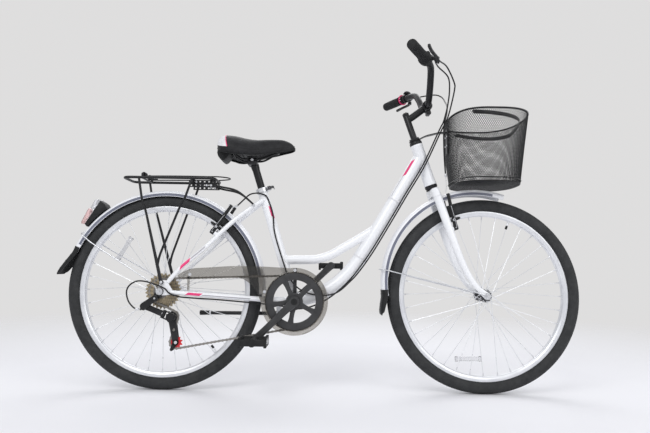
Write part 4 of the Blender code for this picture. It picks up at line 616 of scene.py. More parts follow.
def mixed(tree, share, first, second):
    """Two colours mixed by a share; each is a socket or a plain colour."""
    made = node(tree, "ShaderNodeMix", data_type="RGBA")
    for place, colour in ((6, first), (7, second)):
        if isinstance(colour, tuple):
            made.inputs[place].default_value = (*colour, 1)
        else:
            tree.links.new(colour, made.inputs[place])
    tree.links.new(share, made.inputs[0])
    return made.outputs[2]


def grain(tree, shader, size, depth, kind):
    """Raised grain on the surface."""
    bump = node(tree, "ShaderNodeBump", Strength=1.0, Distance=depth)
    tree.links.new(pattern(tree, size, kind, 2.0), bump.inputs["Height"])
    tree.links.new(bump.outputs["Normal"], shader.inputs["Normal"])


def new_material(name):
    """A material with its node tree and its shader."""
    made = bpy.data.materials.new(name)
    made.use_nodes = True
    return made, made.node_tree, made.node_tree.nodes["Principled BSDF"]


def painted(name):
    """A surface with slow changes of colour and roughness, worn edges and a fine grain."""
    colour, second, patch, roughness, spread, metallic, coat = PALETTE[name]
    made, tree, shader = new_material(name)
    shader.inputs["Metallic"].default_value = metallic
    if name in DULL:
        shader.inputs["Specular IOR Level"].default_value = DULL_SPECULAR
    if coat:
        shader.inputs["Coat Weight"].default_value = coat
        shader.inputs["Coat Roughness"].default_value = COAT_ROUGHNESS
    share = remap(tree, pattern(tree, patch), PATCH_SPAN, 0, 1)
    shade = mixed(tree, share, colour, second)
    if name in WORN:
        point = node(tree, "ShaderNodeNewGeometry").outputs["Pointiness"]
        edge = remap(tree, point, EDGE_SPAN, 0, EDGE_WEAR)
        shade = mixed(tree, edge, shade, WORN[name])
    tree.links.new(shade, shader.inputs["Base Color"])
    rough = remap(tree, pattern(tree, patch / 3), STREAK_SPAN, roughness - spread / 2, roughness + spread)
    tree.links.new(rough, shader.inputs["Roughness"])
    if name in GRAINS:
        grain(tree, shader, *GRAINS[name])
    made.diffuse_color = (*colour, 1)
    return made


def see_through(name, colour, roughness, grain_size=0.0, grain_depth=0.0):
    """Clear or tinted plastic, with faint streaks in its roughness."""
    made, tree, shader = new_material(name)
    shader.inputs["Transmission Weight"].default_value = 1.0
    shader.inputs["IOR"].default_value = PLASTIC_INDEX
    share = remap(tree, pattern(tree, 0.05), STREAK_SPAN, 0, 1)
    deeper = tuple(value * 0.9 for value in colour)
    tree.links.new(mixed(tree, share, colour, deeper), shader.inputs["Base Color"])
    rough = remap(tree, pattern(tree, 0.01), STREAK_SPAN, roughness * 0.7, roughness * 1.4)
    tree.links.new(rough, shader.inputs["Roughness"])
    if grain_size:
        grain(tree, shader, grain_size, grain_depth, "cells")
    made.diffuse_color = (*colour, 0.5)
    return made


CLEAR = {
    # finish: colour, roughness, then the size and depth of its grain where it has one
    "smoked_plastic": ((0.51, 0.485, 0.445), 0.10),
    "lamp_lens": ((0.97, 0.66, 0.64), 0.10, 0.004, 0.0002),
    "clear_plastic": ((0.96, 0.96, 0.97), 0.10),
    "clear_reflector": ((0.93, 0.93, 0.93), 0.10, 0.003, 0.0006),
}
finishes = {}


def material(name):
    """The finish of that name, made the first time that it is asked for."""
    if name not in finishes:
        finishes[name] = see_through(name, *CLEAR[name]) if name in CLEAR else painted(name)
    return finishes[name]


# Wheels
SPOKES_PER_FLANGE = 18
SPOKE_RADIUS = 0.0010
FLANGE_HALF_THICKNESS = 0.0015
HOLE_RADIUS = 0.0185
REAR_FLANGES = (-0.0215, 0.0340)
FRONT_FLANGES = (-0.0345, 0.0345)
REAR_AXLE_RADIUS = 0.0049
FRONT_AXLE_RADIUS = 0.0044
REAR_HUB_ENDS, REAR_HUB_RADII = (-0.0280, 0.0600), (0.0110, 0.0140, 0.0225)
FRONT_HUB_ENDS, FRONT_HUB_RADII = (-0.0435, 0.0435), (0.0100, 0.0100, 0.0215)
HUB_PLAY = 0.0008
WASHER_THICKNESS = 0.0014
REFLECTOR_SIZE = (0.0880, 0.0050, 0.0150)
TREAD_PITCHES = 220
STEPS_PER_PITCH = 6
TYRE_MIDDLE, TYRE_RISE, TYRE_HALF_WIDTH = 0.3040, 0.0225, 0.0221
TYRE_BEADS = ((0.2870, 0.0108), (0.2845, 0.0092), (0.2794, 0.0088))
TYRE_ANGLES = [0, 4, 8, 9, 10, 11, 12, 14, 17, 20, 23, 26, 28, 29, 30, 31, 32, 34, 38]
TYRE_ANGLES += [42, 46, 50, 53, 55, 60, 66]
TYRE_ANGLES += [74, 82, 90, 98, 106, 114, 122, 130]
SIDE_RIB_ANGLES, SIDE_RIB_DEPTH = (66, 90), 0.0003
TREAD_GROOVES = (
    # from and to angle off the crown, depth, and the steps of each pitch that are cut
    (8.5, 11.5, 0.0011, range(STEPS_PER_PITCH)),
    (13, 27, 0.0012, (0,)),
    (28, 31.5, 0.0011, range(STEPS_PER_PITCH)),
    (32, 54, 0.0014, (2, 3)),
)
RIM_PROFILE = [
    # radius and distance from the middle plane, from the inside round to the bead seat
    (RIM_INNER_RADIUS, 0.0),
    (RIM_INNER_RADIUS, 0.0050),
    (0.2692, 0.0078),
    (0.2712, 0.0098),
    (0.2742, 0.0112),
    (0.2752, 0.0117),
    (0.2758, 0.0121),
    (0.2850, 0.0122),
    (0.2860, 0.0119),
    (0.2861, 0.0105),
    (0.2858, 0.0093),
    (0.2790, 0.0092),
]


def tread_depth(angle, step):
    """How far the tread is cut in at an angle off the crown and a step round the tyre."""
    phase = (step + (STEPS_PER_PITCH // 2 if angle > 0 else 0)) % STEPS_PER_PITCH
    for low, high, depth, phases in TREAD_GROOVES:
        if low < abs(angle) < high and phase in phases:
            return depth
    return 0


def tyre(name, axle, body, node_name):
    """A tyre with grooves and blocks cut into its tread, and two ribs round each side wall."""
    angles = [-angle for angle in reversed(TYRE_ANGLES[1:])] + TYRE_ANGLES
    steps = TREAD_PITCHES * STEPS_PER_PITCH
    rows = [[(radius, -y)] * steps for radius, y in reversed(TYRE_BEADS)]
    for angle in angles:
        cosine, sine = math.cos(math.radians(angle)), math.sin(math.radians(angle))
        rib = SIDE_RIB_DEPTH if abs(angle) in SIDE_RIB_ANGLES else 0
        row = []
        for step in range(steps):
            depth = tread_depth(angle, step)
            row.append((TYRE_MIDDLE + (TYRE_RISE - depth) * cosine, (TYRE_HALF_WIDTH - depth - rib) * sine))
        rows.append(row)
    rows += [[(radius, y)] * steps for radius, y in TYRE_BEADS]
    grid = np.array(rows)
    turn = np.linspace(0, math.tau, steps, endpoint=False)
    x = axle.x + grid[:, :, 0] * np.cos(turn)
    z = axle.z + grid[:, :, 0] * np.sin(turn)
    points = np.stack([x, grid[:, :, 1], z], axis=-1).reshape(-1, 3)
    faces = grid_faces(len(rows), steps, True, True)
    piece(name, solid(points.tolist(), faces), "tyre_rubber", body, node_name, angle=50)


def rim(name, axle, body, node_name):
    profile = [(radius, -y) for radius, y in reversed(RIM_PROFILE[1:])] + RIM_PROFILE
    piece(name, turned(profile, axle, steps=192, ring=True), "rim_alloy", body, node_name)


def spokes(axle, flanges):
    """Straight spokes from both flanges, each crossing three others, and their nipples."""
    wires, nipples, holes = [], [], []
    pitch = math.tau / SPOKES_PER_FLANGE
    for order, flange_y in enumerate(flanges):
        for count in range(SPOKES_PER_FLANGE):
            lean = 1 if count % 2 else -1
            at_rim = pitch * (count + order / 2)
            at_hub = at_rim - lean * 3 * pitch
            foot = on_wheel(axle, HOLE_RADIUS, at_hub, flange_y + lean * (FLANGE_HALF_THICKNESS + 0.0011))
            head = on_wheel(axle, RIM_INNER_RADIUS + 0.001, at_rim, math.copysign(0.002, flange_y))
            run = (head - foot).normalized()
            elbow = Vector((foot.x, flange_y - lean * (FLANGE_HALF_THICKNESS + 0.0008), foot.z))
            bend = [elbow, foot - ALONG_Y * lean * 0.0012, foot + run * 0.0022, foot + run * 0.006, head]
            wires.append(sweep(bend, circle(SPOKE_RADIUS, 8)))
            holes.append(rod(elbow, elbow - ALONG_Y * lean * 0.0008, 0.0019, 10))
            nipples.append(rod(head - run * 0.0125, head - run * 0.002, 0.0017, 8, 0.0020))
            nipples.append(rod(head - run * 0.0030, head + run * 0.001, 0.0029, 12, 0.0031))
    return joined(*wires, *holes), joined(*nipples)


def hub_half(end_y, flange_y, radii, bore, side):
    """Half of a hub shell's profile, from its end over the rounded flange to its waist; side 1 is left."""
    end, waist, flange = radii
    edge, round_off, thick = 0.0008, 0.0006, FLANGE_HALF_THICKNESS
    return [
        (bore, end_y),
        (end - edge, end_y),
        (end, end_y - side * edge),
        (end + 0.0004, flange_y + side * 0.0060),
        (end + 0.0030, flange_y + side * 0.0030),
        (flange - round_off, flange_y + side * thick),
        (flange, flange_y),
        (flange - round_off, flange_y - side * thick),
        (waist + 0.0035, flange_y - side * 0.0026),
        (waist + 0.0008, flange_y - side * 0.0060),
        (waist, flange_y - side * 0.0110),
    ]


def hub_profile(ends, flanges, radii, bore):
    """The hub shell from right to left, with the radii of its end, waist and flanges."""
    left = hub_half(ends[1], flanges[1], radii, bore, 1)
    return hub_half(ends[0], flanges[0], radii, bore, -1) + left[::-1]


def axle_nuts(axle, radius, faces, nut, length):
    """The threaded axle with its cones, washers, hexagonal nuts and rounded ends."""
    cone, outer, nut_end = faces
    washer_end = outer + WASHER_THICKNESS
    made = [pin(axle, -length, length, radius, 16, edge=0.0008)]
    for out in (-ALONG_Y, ALONG_Y):
        made.append(pin(axle, cone[0], cone[1], nut, 24, 0.0006, out))
        made.append(pin(axle, outer, washer_end, nut * 1.12, 32, axis=out))
        made.append(pin(axle, washer_end, nut_end, nut, 6, 0.0007, out))
        for thread in range(4):
            place = nut_end + 0.0005 + thread * (length - nut_end - 0.001) / 4
            made.append(pin(axle, place, place + 0.0004, radius + 0.0002, 16, axis=out))
    return joined(*made)


def valve(axle, angle):
    """The valve stem through the rim, with its black cap."""
    inner = on_wheel(axle, 0.2700, angle)
    towards = on_wheel(Vector(), -1, angle)
    collar = pin(inner, 0, 0.0040, 0.0045, 16, 0.0004, towards)
    stem = pin(inner, 0.0020, 0.0180, 0.0031, 16, axis=towards)
    return joined(collar, stem), pin(inner, 0.0170, 0.0290, 0.0040, 12, 0.0006, towards)


def spoke_reflector(middle, angle, side_y):
    """A clear reflector between two spokes: a lens with three ribs and two clips."""
    along = Vector((math.cos(angle), 0, math.sin(angle)))
    across = Vector((-along.z, 0, along.x))
    base = Vector((middle[0], side_y, middle[1]))
    parts = [block(base, REFLECTOR_SIZE, along, across, 0.0020)]
    for n in (-1, 0, 1):
        rib = base + across * (n * 0.0040) - ALONG_Y * 0.0026
        parts.append(block(rib, (0.0660, 0.0014, 0.0016), along, across))
    for n in (-1, 1):
        parts.append(block(base + along * n * 0.0400, (0.0090, 0.0076, 0.0180), along, across, 0.0014))
    return joined(*parts)


def make_wheel(end, axle, flanges, profile):
    body = end + "_wheel"
    shell = turned(profile, axle, steps=64, ring=True)
    # the polished hub shell's dark colour is a painted dark reflection
    piece(end + "_hub_shell", shell, "grey_alloy", body, end + "_spoked_hub")
    wires, nipples = spokes(axle, flanges)
    piece(end + "_spokes", wires, "spoke_steel", body)
    piece(end + "_nipples", nipples, "bright_alloy", body)


def make_valve_and_reflector(end, axle, angle, middle, along, side_y):
    """The angle of the valve, and the middle, direction and y of the reflector."""
    stem, cap = valve(axle, math.radians(angle))
    reflector = spoke_reflector(middle, math.radians(along), side_y)
    piece(end + "_valve_stem", stem, "bright_alloy", end + "_wheel")
    piece(end + "_valve_cap", cap, "black_plastic", end + "_wheel")
    piece(end + "_reflector", reflector, "clear_plastic", end + "_wheel")


def make_wheels():
    tyre("rear_tyre_tread", REAR_AXLE, "rear_wheel", "rear_tyre")
    tyre("front_tyre_tread", FRONT_AXLE, "front_wheel", "front_tyre")
    rim("rear_rim_hoop", REAR_AXLE, "rear_wheel", "rear_rim")
    rim("front_rim_hoop", FRONT_AXLE, "front_wheel", "front_rim")
    rear_bore, front_bore = REAR_AXLE_RADIUS + HUB_PLAY, FRONT_AXLE_RADIUS + HUB_PLAY
    rear_shell = hub_profile(REAR_HUB_ENDS, REAR_FLANGES, REAR_HUB_RADII, rear_bore)
    front_shell = hub_profile(FRONT_HUB_ENDS, FRONT_FLANGES, FRONT_HUB_RADII, front_bore)
    make_wheel("rear", REAR_AXLE, REAR_FLANGES, rear_shell)
    make_wheel("front", FRONT_AXLE, FRONT_FLANGES, front_shell)
    rear = axle_nuts(REAR_AXLE, REAR_AXLE_RADIUS, ((0.0604, 0.0671), 0.0799, 0.0885), 0.0086, 0.0925)
    piece("rear_axle_nuts", rear, "bright_alloy", "main_frame", "rear_axle")
    front = axle_nuts(FRONT_AXLE, FRONT_AXLE_RADIUS, ((0.0439, 0.0496), 0.0580, 0.0655), 0.0076, 0.0690)
    piece("front_axle_nuts", front, "bright_alloy", "steered", "front_axle")
    make_valve_and_reflector("rear", REAR_AXLE, -48.3, (-0.1471, 0.4669), 60.0, 0.0020)
    make_valve_and_reflector("front", FRONT_AXLE, 70.2, (1.0241, 0.1137), 1.0, 0.0)


# Drive train
CHAIN_PITCH = 0.0127
CHAIN_RUN_END = 0.200
CHAIN_RUN_Z = 0.150
OUTER_PLATE_Y, INNER_PLATE_Y, PLATE_THICKNESS = 0.0029, 0.0019, 0.0009
PLATE_WAIST, PLATE_END_RADIUS = 0.0027, 0.0040
ROLLER_RADIUS, ROLLER_HALF, LINK_PIN_RADIUS, LINK_PIN_HALF = 0.0038, 0.0014, 0.0018, 0.0035
RING_PITCH_RADIUS = 0.0849
COG_PITCH_RADIUS = 0.0406
PULLEY_PITCH_RADIUS = 0.0205
GUIDE_AXLE = Vector((0.037, 0, 0.243))
TENSION_AXLE = Vector((0.053, 0, 0.161))
CRANK_INNER_Y, CRANK_OUTER_Y, CRANK_FLARE = 0.0620, 0.0750, 0.006
PEDAL_INNER_Y, PEDAL_OUTER_Y = 0.0880, 0.1850
RIGHT_PEDAL_AXLE = on_wheel(CRANK_AXLE, CRANK_LENGTH, CRANK_ANGLE)
LEFT_PEDAL_AXLE = on_wheel(CRANK_AXLE, CRANK_LENGTH, CRANK_ANGLE + math.pi)
GUARD_RADIUS, GUARD_Y = 0.1105, 0.0555


def belt(wheels):
    """The closed path of a chain round (centre, radius, turn, steps) wheels, in order, as (x, z) points."""
    arrivals, departures = [], []
    for place, (centre, radius, turn, _) in enumerate(wheels):
        following, next_radius, next_turn = wheels[(place + 1) % len(wheels)][:3]
        run = following - centre
        swing = math.asin((next_turn * next_radius - turn * radius) / run.length)
        heading = math.atan2(run.z, run.x) - swing
        departures.append((heading, turn))
        arrivals.append((heading, next_turn))
    path = []
    for place, (centre, radius, turn, steps) in enumerate(wheels):
        start = math.degrees(arrivals[place - 1][0]) - 90 * turn
        end = math.degrees(departures[place][0]) - 90 * turn
        path += arc(centre, radius, start, start + turn * ((end - start) * turn % 360), steps)
    return path


def evenly(path, count):
    """The closed path as that many points at equal distances."""
    path = np.array([tuple(point) for point in path] + [tuple(path[0])])
    lengths = np.r_[0, np.cumsum(np.linalg.norm(np.diff(path, axis=0), axis=1))]
    places = np.linspace(0, lengths[-1], count, endpoint=False)
    columns = [np.interp(places, lengths, path[:, axis]) for axis in range(path.shape[1])]
    return [Vector(point) for point in np.stack(columns, axis=1).tolist()]


def link_plate(start, end, y, thick, waist, radius):
    """One waisted chain plate between two pins, of half width radius at the pins."""
    run = end - start
    heading = math.degrees(math.atan2(run.z, run.x))
    middle = (start + end) / 2
    normal = Vector((-run.z, 0, run.x)).normalized()
    outline = arc(start, radius, heading + 50, heading + 310, 8)
    outline.append(((middle - normal * waist).x, (middle - normal * waist).z))
    outline += arc(end, radius, heading - 130, heading + 130, 8)
    outline.append(((middle + normal * waist).x, (middle + normal * waist).z))
    return plate(outline, y - thick / 2, y + thick / 2)


def chain_stretch(place):
    """Which stretch a link is in: on the frame, at the guide pulley, round the cage, or the run before it."""
    cage_top = GUIDE_AXLE.z - 0.010
    if place.z < cage_top and place.x < TENSION_AXLE.x + 0.004:
        return "cage"
    if place.z < 0.180 and place.x < CHAIN_RUN_END:
        return "run"
    if place.z < 0.268 and place.x < GUIDE_AXLE.x + 0.040:
        return "guide" if place.z > cage_top else "cage"
    return "frame"


def chain_link(start, end, outer):
    """The two plates of a link with the roller and the pin at its start."""
    plate_y = OUTER_PLATE_Y if outer else INNER_PLATE_Y
    parts = []
    for side in (-1, 1):
        y = CHAIN_Y + side * plate_y
        parts.append(link_plate(start, end, y, PLATE_THICKNESS, PLATE_WAIST, PLATE_END_RADIUS))
    parts.append(pin(start, CHAIN_Y - ROLLER_HALF, CHAIN_Y + ROLLER_HALF, ROLLER_RADIUS, 12))
    parts.append(pin(start, CHAIN_Y - LINK_PIN_HALF, CHAIN_Y + LINK_PIN_HALF, LINK_PIN_RADIUS, 8))
    return parts


def make_chain():
    wheels = [
        (CRANK_AXLE, RING_PITCH_RADIUS, 1, 60),
        (REAR_AXLE, COG_PITCH_RADIUS, 1, 40),
        (GUIDE_AXLE, PULLEY_PITCH_RADIUS, -1, 20),
        (TENSION_AXLE, PULLEY_PITCH_RADIUS, 1, 30),
    ]
    route = in_plane(belt(wheels))
    count = 2 * round((path_length(route) + (route[0] - route[-1]).length) / CHAIN_PITCH / 2)
    pins = evenly(route, count)
    stretches = {"frame": [], "guide": [], "cage": [], "run": []}
    for place, start in enumerate(pins):
        end = pins[(place + 1) % count]
        stretches[chain_stretch((start + end) / 2)] += chain_link(start, end, place % 2)
    piece("chain_links", joined(*stretches["frame"]), "dark_steel", "main_frame", "chain")
    piece("guide_chain_links", joined(*stretches["guide"]), "dark_steel", "knuckle")
    piece("cage_chain_links", joined(*stretches["cage"]), "dark_steel", "cage")
    run = piece("run_chain_links", joined(*stretches["run"]), "dark_steel", None)
    run_ends = (CHAIN_RUN_END, TENSION_AXLE.x + 0.010)
    ahead, behind = [Vector((x - MIDDLE_X, CHAIN_Y, CHAIN_RUN_Z)) for x in run_ends]
    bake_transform(run)
    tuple(ahead)
    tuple(behind)


def toothed(centre, teeth, root, tip, low, high, inner, flat=0.30, lean=0.0):
    """A toothed disc with a bore: teeth stand from the root radius to the tip radius."""
    flanks = ((0.0, 0.0), (0.10, 0.03), (0.24, 0.45), (0.36, 0.92), (0.42, 1.0))
    flanks += ((0.42 + flat / 2, 1.0), (0.78, 0.45), (0.92, 0.03))
    step = math.tau / teeth
    outer = []
    for tooth in range(teeth):
        for share, reach in flanks:
            outer.append((root + (tip - root) * reach, step * (tooth + share + lean * reach)))
    points = []
    for y in (low, high):
        points += [on_wheel(centre, radius, angle, y) for radius, angle in outer]
    for y in (high, low):
        points += [on_wheel(centre, inner, angle, y) for _, angle in outer]
    return solid(points, grid_faces(4, len(outer), True, True))


COGS = (  # teeth, middle y
    (28, -0.0318),
    (24, -0.0364),
    (22, -0.0407),
    (20, -0.0460),
    (18, -0.0519),
    (16, -0.0560),
    (14, -0.0602),
)
CHAIN_COG_TEETH, LAST_WIDE_COG_TEETH = 20, 18
TOOTH_RISE, CHAIN_TOOTH_RISE, TOOTH_ROOT = 0.0028, 0.0020, 0.0036
COG_BORE, COG_HALF_THICKNESS = 0.0200, 0.0009
FREEWHEEL_BORE = 0.0146
FREEWHEEL_BODY = [
    (FREEWHEEL_BORE, -0.0240),
    (0.0190, -0.0240),
    (0.0196, -0.0300),
    (0.0240, -0.0310),
    (0.0240, -0.0600),
    (0.0225, -0.0618),
    (FREEWHEEL_BORE, -0.0620),
]


def make_freewheel():
    cogs, bodies = [], []
    for teeth, y in COGS:
        radius = CHAIN_PITCH / 2 / math.sin(math.pi / teeth)
        tip = radius + (CHAIN_TOOTH_RISE if teeth == CHAIN_COG_TEETH else TOOTH_RISE)
        low, high = y - COG_HALF_THICKNESS, y + COG_HALF_THICKNESS
        cogs.append(toothed(REAR_AXLE, teeth, radius - TOOTH_ROOT, tip, low, high, COG_BORE, lean=0.06))
        outer, half = (radius - 0.0065, 0.0022) if teeth >= LAST_WIDE_COG_TEETH else (0.0240, 0.0020)
        bodies.append(washer(REAR_AXLE, FREEWHEEL_BORE, outer, y - half, y + half))
    bodies.append(turned(FREEWHEEL_BODY, REAR_AXLE, ring=True))
    piece("freewheel_cogs", joined(*cogs), "brass_steel", "sprockets", "freewheel", angle=30)
    piece("freewheel_body", joined(*bodies), "dark_steel", "sprockets")
    lock = toothed(REAR_AXLE, 12, 0.0160, 0.0172, -0.0619, -0.0605, 0.0150)
    piece("freewheel_lockring", lock, "bright_alloy", "sprockets")


GUARD_RING = [(0.0705, -0.0475), (0.0765, -0.0475), (0.0780, -0.0500), (0.0950, -0.0508), (0.0960, -0.0516)]
GUARD_RING += [(0.0960, -0.0530), (0.0950, -0.0535), (0.0730, -0.0535), (0.0712, -0.0528), (0.0705, -0.0515)]
SPIDER_BOSS = [(0.0155, -0.0465), (0.0270, -0.0465), (0.0285, -0.0478)]
SPIDER_BOSS += [(0.0285, -0.0525), (0.0270, -0.0536), (0.0155, -0.0536)]
SPIDER_ARM = ((0.0200, 0.0105), (0.0380, 0.0078), (0.0560, 0.0078), (0.0690, 0.0100), (0.0735, 0.0135))
SPIDER_ARMS = 5
SPIDER_BOLT_RADIUS = 0.0740


def spider_arm(angle):
    """An arm of the spider, from (reach, half width) stations, and its bolt."""
    outwards = on_wheel(Vector(), 1, angle)
    across = on_wheel(Vector(), 1, angle + math.pi / 2)
    outline = [CRANK_AXLE + outwards * reach + across * half for reach, half in SPIDER_ARM]
    outline += [CRANK_AXLE + outwards * reach - across * half for reach, half in reversed(SPIDER_ARM)]
    arm = plate([(point.x, point.z) for point in outline], -0.0534, -0.0486, 0.0010)
    return [arm, pin(CRANK_AXLE + outwards * SPIDER_BOLT_RADIUS, -0.0530, -0.0542, 0.0035, 16, 0.0004)]


def make_chainring():
    """Toothed steel ring and outer guard ring on a five-armed spider that is flush with the guard."""
    ring = toothed(CRANK_AXLE, 42, 0.0806, 0.0875, -0.0468, -0.0450, 0.0700)
    piece("chainring_teeth", ring, "dark_steel", "crankset", "chainring")
    parts = [turned(GUARD_RING, CRANK_AXLE, steps=120, ring=True)]
    parts.append(turned(SPIDER_BOSS, CRANK_AXLE, steps=64, ring=True))
    for arm in range(SPIDER_ARMS):
        parts += spider_arm(CRANK_ANGLE + math.tau * (arm + 0.5) / SPIDER_ARMS)
    piece("chainring_guard_and_arms", joined(*parts), "crank_black", "crankset")


CRANK_STATIONS = (
    # reach from the crank axle, half width, half thickness
    (-0.004, 0.0165, 0.0062),
    (0.012, 0.0155, 0.0065),
    (0.040, 0.0125, 0.0065),
    (0.085, 0.0112, 0.0064),
    (0.130, 0.0112, 0.0062),
    (0.158, 0.0122, 0.0062),
    (0.172, 0.0128, 0.0062),
)
CRANK_SECTION = [(-1, -0.4), (-0.86, -0.85), (-0.6, -1), (-0.3, -0.93), (0, -0.80)]
CRANK_SECTION += [(0.3, -0.93), (0.6, -1), (0.86, -0.85), (1, -0.4)]
CRANK_SECTION += [(1, 0.4), (0.86, 0.85), (0.6, 1), (0.3, 0.95), (0, 0.86)]
CRANK_SECTION += [(-0.3, 0.95), (-0.6, 1), (-0.86, 0.85), (-1, 0.4)]
CRANK_EYE, PEDAL_EYE, EYE_HALF = 0.0180, 0.0135, 0.0065
SPINDLE_RADIUS, SPINDLE_HALF = 0.0085, 0.0640
CUP_PROFILE = [(0.0090, 0.0345), (0.0165, 0.0345), (0.0195, 0.0350)]
CUP_PROFILE += [(0.0195, 0.0388), (0.0188, 0.0392), (0.0090, 0.0392)]
CUP_NOTCHES = 12


def crank_arm(pedal, side):
    """A tapering arm with a groove along both faces, and round ends."""
    run = (pedal - CRANK_AXLE).normalized()
    middle_y = side * (CRANK_INNER_Y + CRANK_OUTER_Y) / 2
    path, scales = [], []
    for reach, half, thick in CRANK_STATIONS:
        flare = side * CRANK_FLARE * max(reach, 0) / CRANK_LENGTH
        path.append(CRANK_AXLE + run * reach + ALONG_Y * (middle_y + flare))
        scales.append((half, thick))
    parts = [sweep(path, CRANK_SECTION, scales, side=ALONG_Y.cross(run))]
    parts.append(pin(CRANK_AXLE, middle_y - EYE_HALF, middle_y + EYE_HALF, CRANK_EYE, 40, 0.0014))
    far_y = middle_y + side * CRANK_FLARE
    parts.append(pin(pedal, far_y - EYE_HALF, far_y + EYE_HALF, PEDAL_EYE, 40, 0.0014))
    parts.append(pin(CRANK_AXLE, side * 0.0450, side * SPINDLE_HALF, 0.0150, 40))
    return joined(*parts)


def make_crank(name, pedal, side):
    """An arm with its dust cap and the steel pin of its pedal; the spindle goes with the right one."""
    out = ALONG_Y * side
    piece(name + "_arm", crank_arm(pedal, side), "crank_black", "crankset", name)
    cap = pin(CRANK_AXLE, 0.0735, 0.0756, 0.0110, 32, 0.0008, out)
    slot = block(CRANK_AXLE + out * 0.0757, (0.0120, 0.0006, 0.0020), pedal - CRANK_AXLE, ALONG_Y)
    piece(name + "_dust_cap", joined(cap, slot), "black_plastic", "crankset")
    end = pedal + out * (CRANK_OUTER_Y + CRANK_FLARE)
    steel = [pin(end, -0.012, 0.0005, 0.0070, axis=out), pin(end, 0.0002, 0.0060, 0.0078, 24, 0.0006, out)]
    steel.append(rod(end, pedal + out * 0.1680, 0.0058, 20))
    if side < 0:
        steel.append(pin(CRANK_AXLE, -SPINDLE_HALF, SPINDLE_HALF, SPINDLE_RADIUS))
    piece(name + "_steel", joined(*steel), "spoke_steel", "crankset")


def make_cranks():
    make_crank("right_crank", RIGHT_PEDAL_AXLE, -1)
    make_crank("left_crank", LEFT_PEDAL_AXLE, 1)
    cups = [pin(CRANK_AXLE, -0.035, 0.035, 0.0160, 32)]
    for side in (-1, 1):
        cups.append(turned([(radius, side * y) for radius, y in CUP_PROFILE], CRANK_AXLE, steps=48, ring=True))
        for notch in range(CUP_NOTCHES):
            at = on_wheel(CRANK_AXLE, 0.0182, math.tau * notch / CUP_NOTCHES, side * 0.0372)
            cups.append(pin(at, -0.0018, 0.0018, 0.0013, 8))
    piece("bottom_bracket_cups", joined(*cups), "black_paint", "main_frame", "bottom_bracket")


RAIL_REACH, RAIL_WIDTH, RAIL_HEIGHT = 0.0395, 0.0085, 0.0260
RAIL_TEETH, RAIL_TOOTH_PITCH = 9, 0.0105


def pedal_rail(middle, end, length):
    """A long rail with a row of teeth along its top and foot, and three ribs that join it to the barrel."""
    rail = middle + ALONG_X * end * RAIL_REACH
    parts = [block(rail, (length - 0.004, RAIL_WIDTH, RAIL_HEIGHT), ALONG_Y, ALONG_Z, 0.0025)]
    for tooth in range(RAIL_TEETH):
        place = rail + ALONG_Y * (tooth - RAIL_TEETH // 2) * RAIL_TOOTH_PITCH
        for up in (-1, 1):
            knob = place + ALONG_Z * up * 0.0134
            parts.append(block(knob, (0.0062, 0.0080, 0.0036), ALONG_Y, ALONG_Z, 0.0009))
    for across in (-1, 0, 1):
        rib = middle + Vector((end * 0.0240, across * 0.0280, 0))
        parts.append(block(rib, (0.0300, 0.0060, 0.0160), ALONG_X, ALONG_Z, 0.0012))
    return parts


def make_pedal(name, pedal, side, body):
    """Moulded pedal: a barrel, end plates, two long rails with teeth, cross ribs and reflectors."""
    middle = pedal + ALONG_Y * side * (PEDAL_INNER_Y + PEDAL_OUTER_Y) / 2
    length = PEDAL_OUTER_Y - PEDAL_INNER_Y
    out = ALONG_Y * side
    parts = [pin(pedal, PEDAL_INNER_Y, PEDAL_OUTER_Y, 0.0110, 32, 0.0015, out)]
    parts.append(pin(pedal, PEDAL_OUTER_Y - 0.003, PEDAL_OUTER_Y + 0.0008, 0.0125, 32, 0.0007, out))
    lenses = []
    for end in (-1, 1):
        parts += pedal_rail(middle, end, length)
        end_plate = middle + ALONG_Y * end * (length / 2 - 0.0045)
        parts.append(block(end_plate, (0.0850, 0.0085, 0.0200), ALONG_X, ALONG_Z, 0.0035))
        lens = middle + ALONG_X * end * (RAIL_REACH + 0.00405)
        lenses.append(block(lens, (0.0540, 0.0008, 0.0130), ALONG_Y, ALONG_Z))
    piece(name + "_body", joined(*parts), "black_plastic", body, name)
    piece(name + "_reflectors", joined(*lenses), "clear_reflector", body)


def make_pedals():
    make_pedal("right_pedal", RIGHT_PEDAL_AXLE, -1, "pedal_right")
    make_pedal("left_pedal", LEFT_PEDAL_AXLE, 1, "pedal_left")


GUARD_TAIL_TOP = [(0.053, 0.381), (0.092, 0.401), (0.160, 0.4075), (0.240, 0.413), (0.340, 0.4125)]
GUARD_TAIL_FOOT = [(0.3130, 0.3330), (0.3020, 0.3460), (0.2860, 0.3600), (0.2700, 0.3700), (0.2500, 0.3760)]
GUARD_TAIL_FOOT += [(0.2200, 0.3766), (0.093, 0.368), (0.053, 0.372)]


GUARD_INNER_RADIUS = 0.0955
GUARD_HALF_THICKNESS = 0.0009
GUARD_SCREWS = ((0.092, 0.3830), (0.3400, 0.3300), (0.4386, 0.4020))


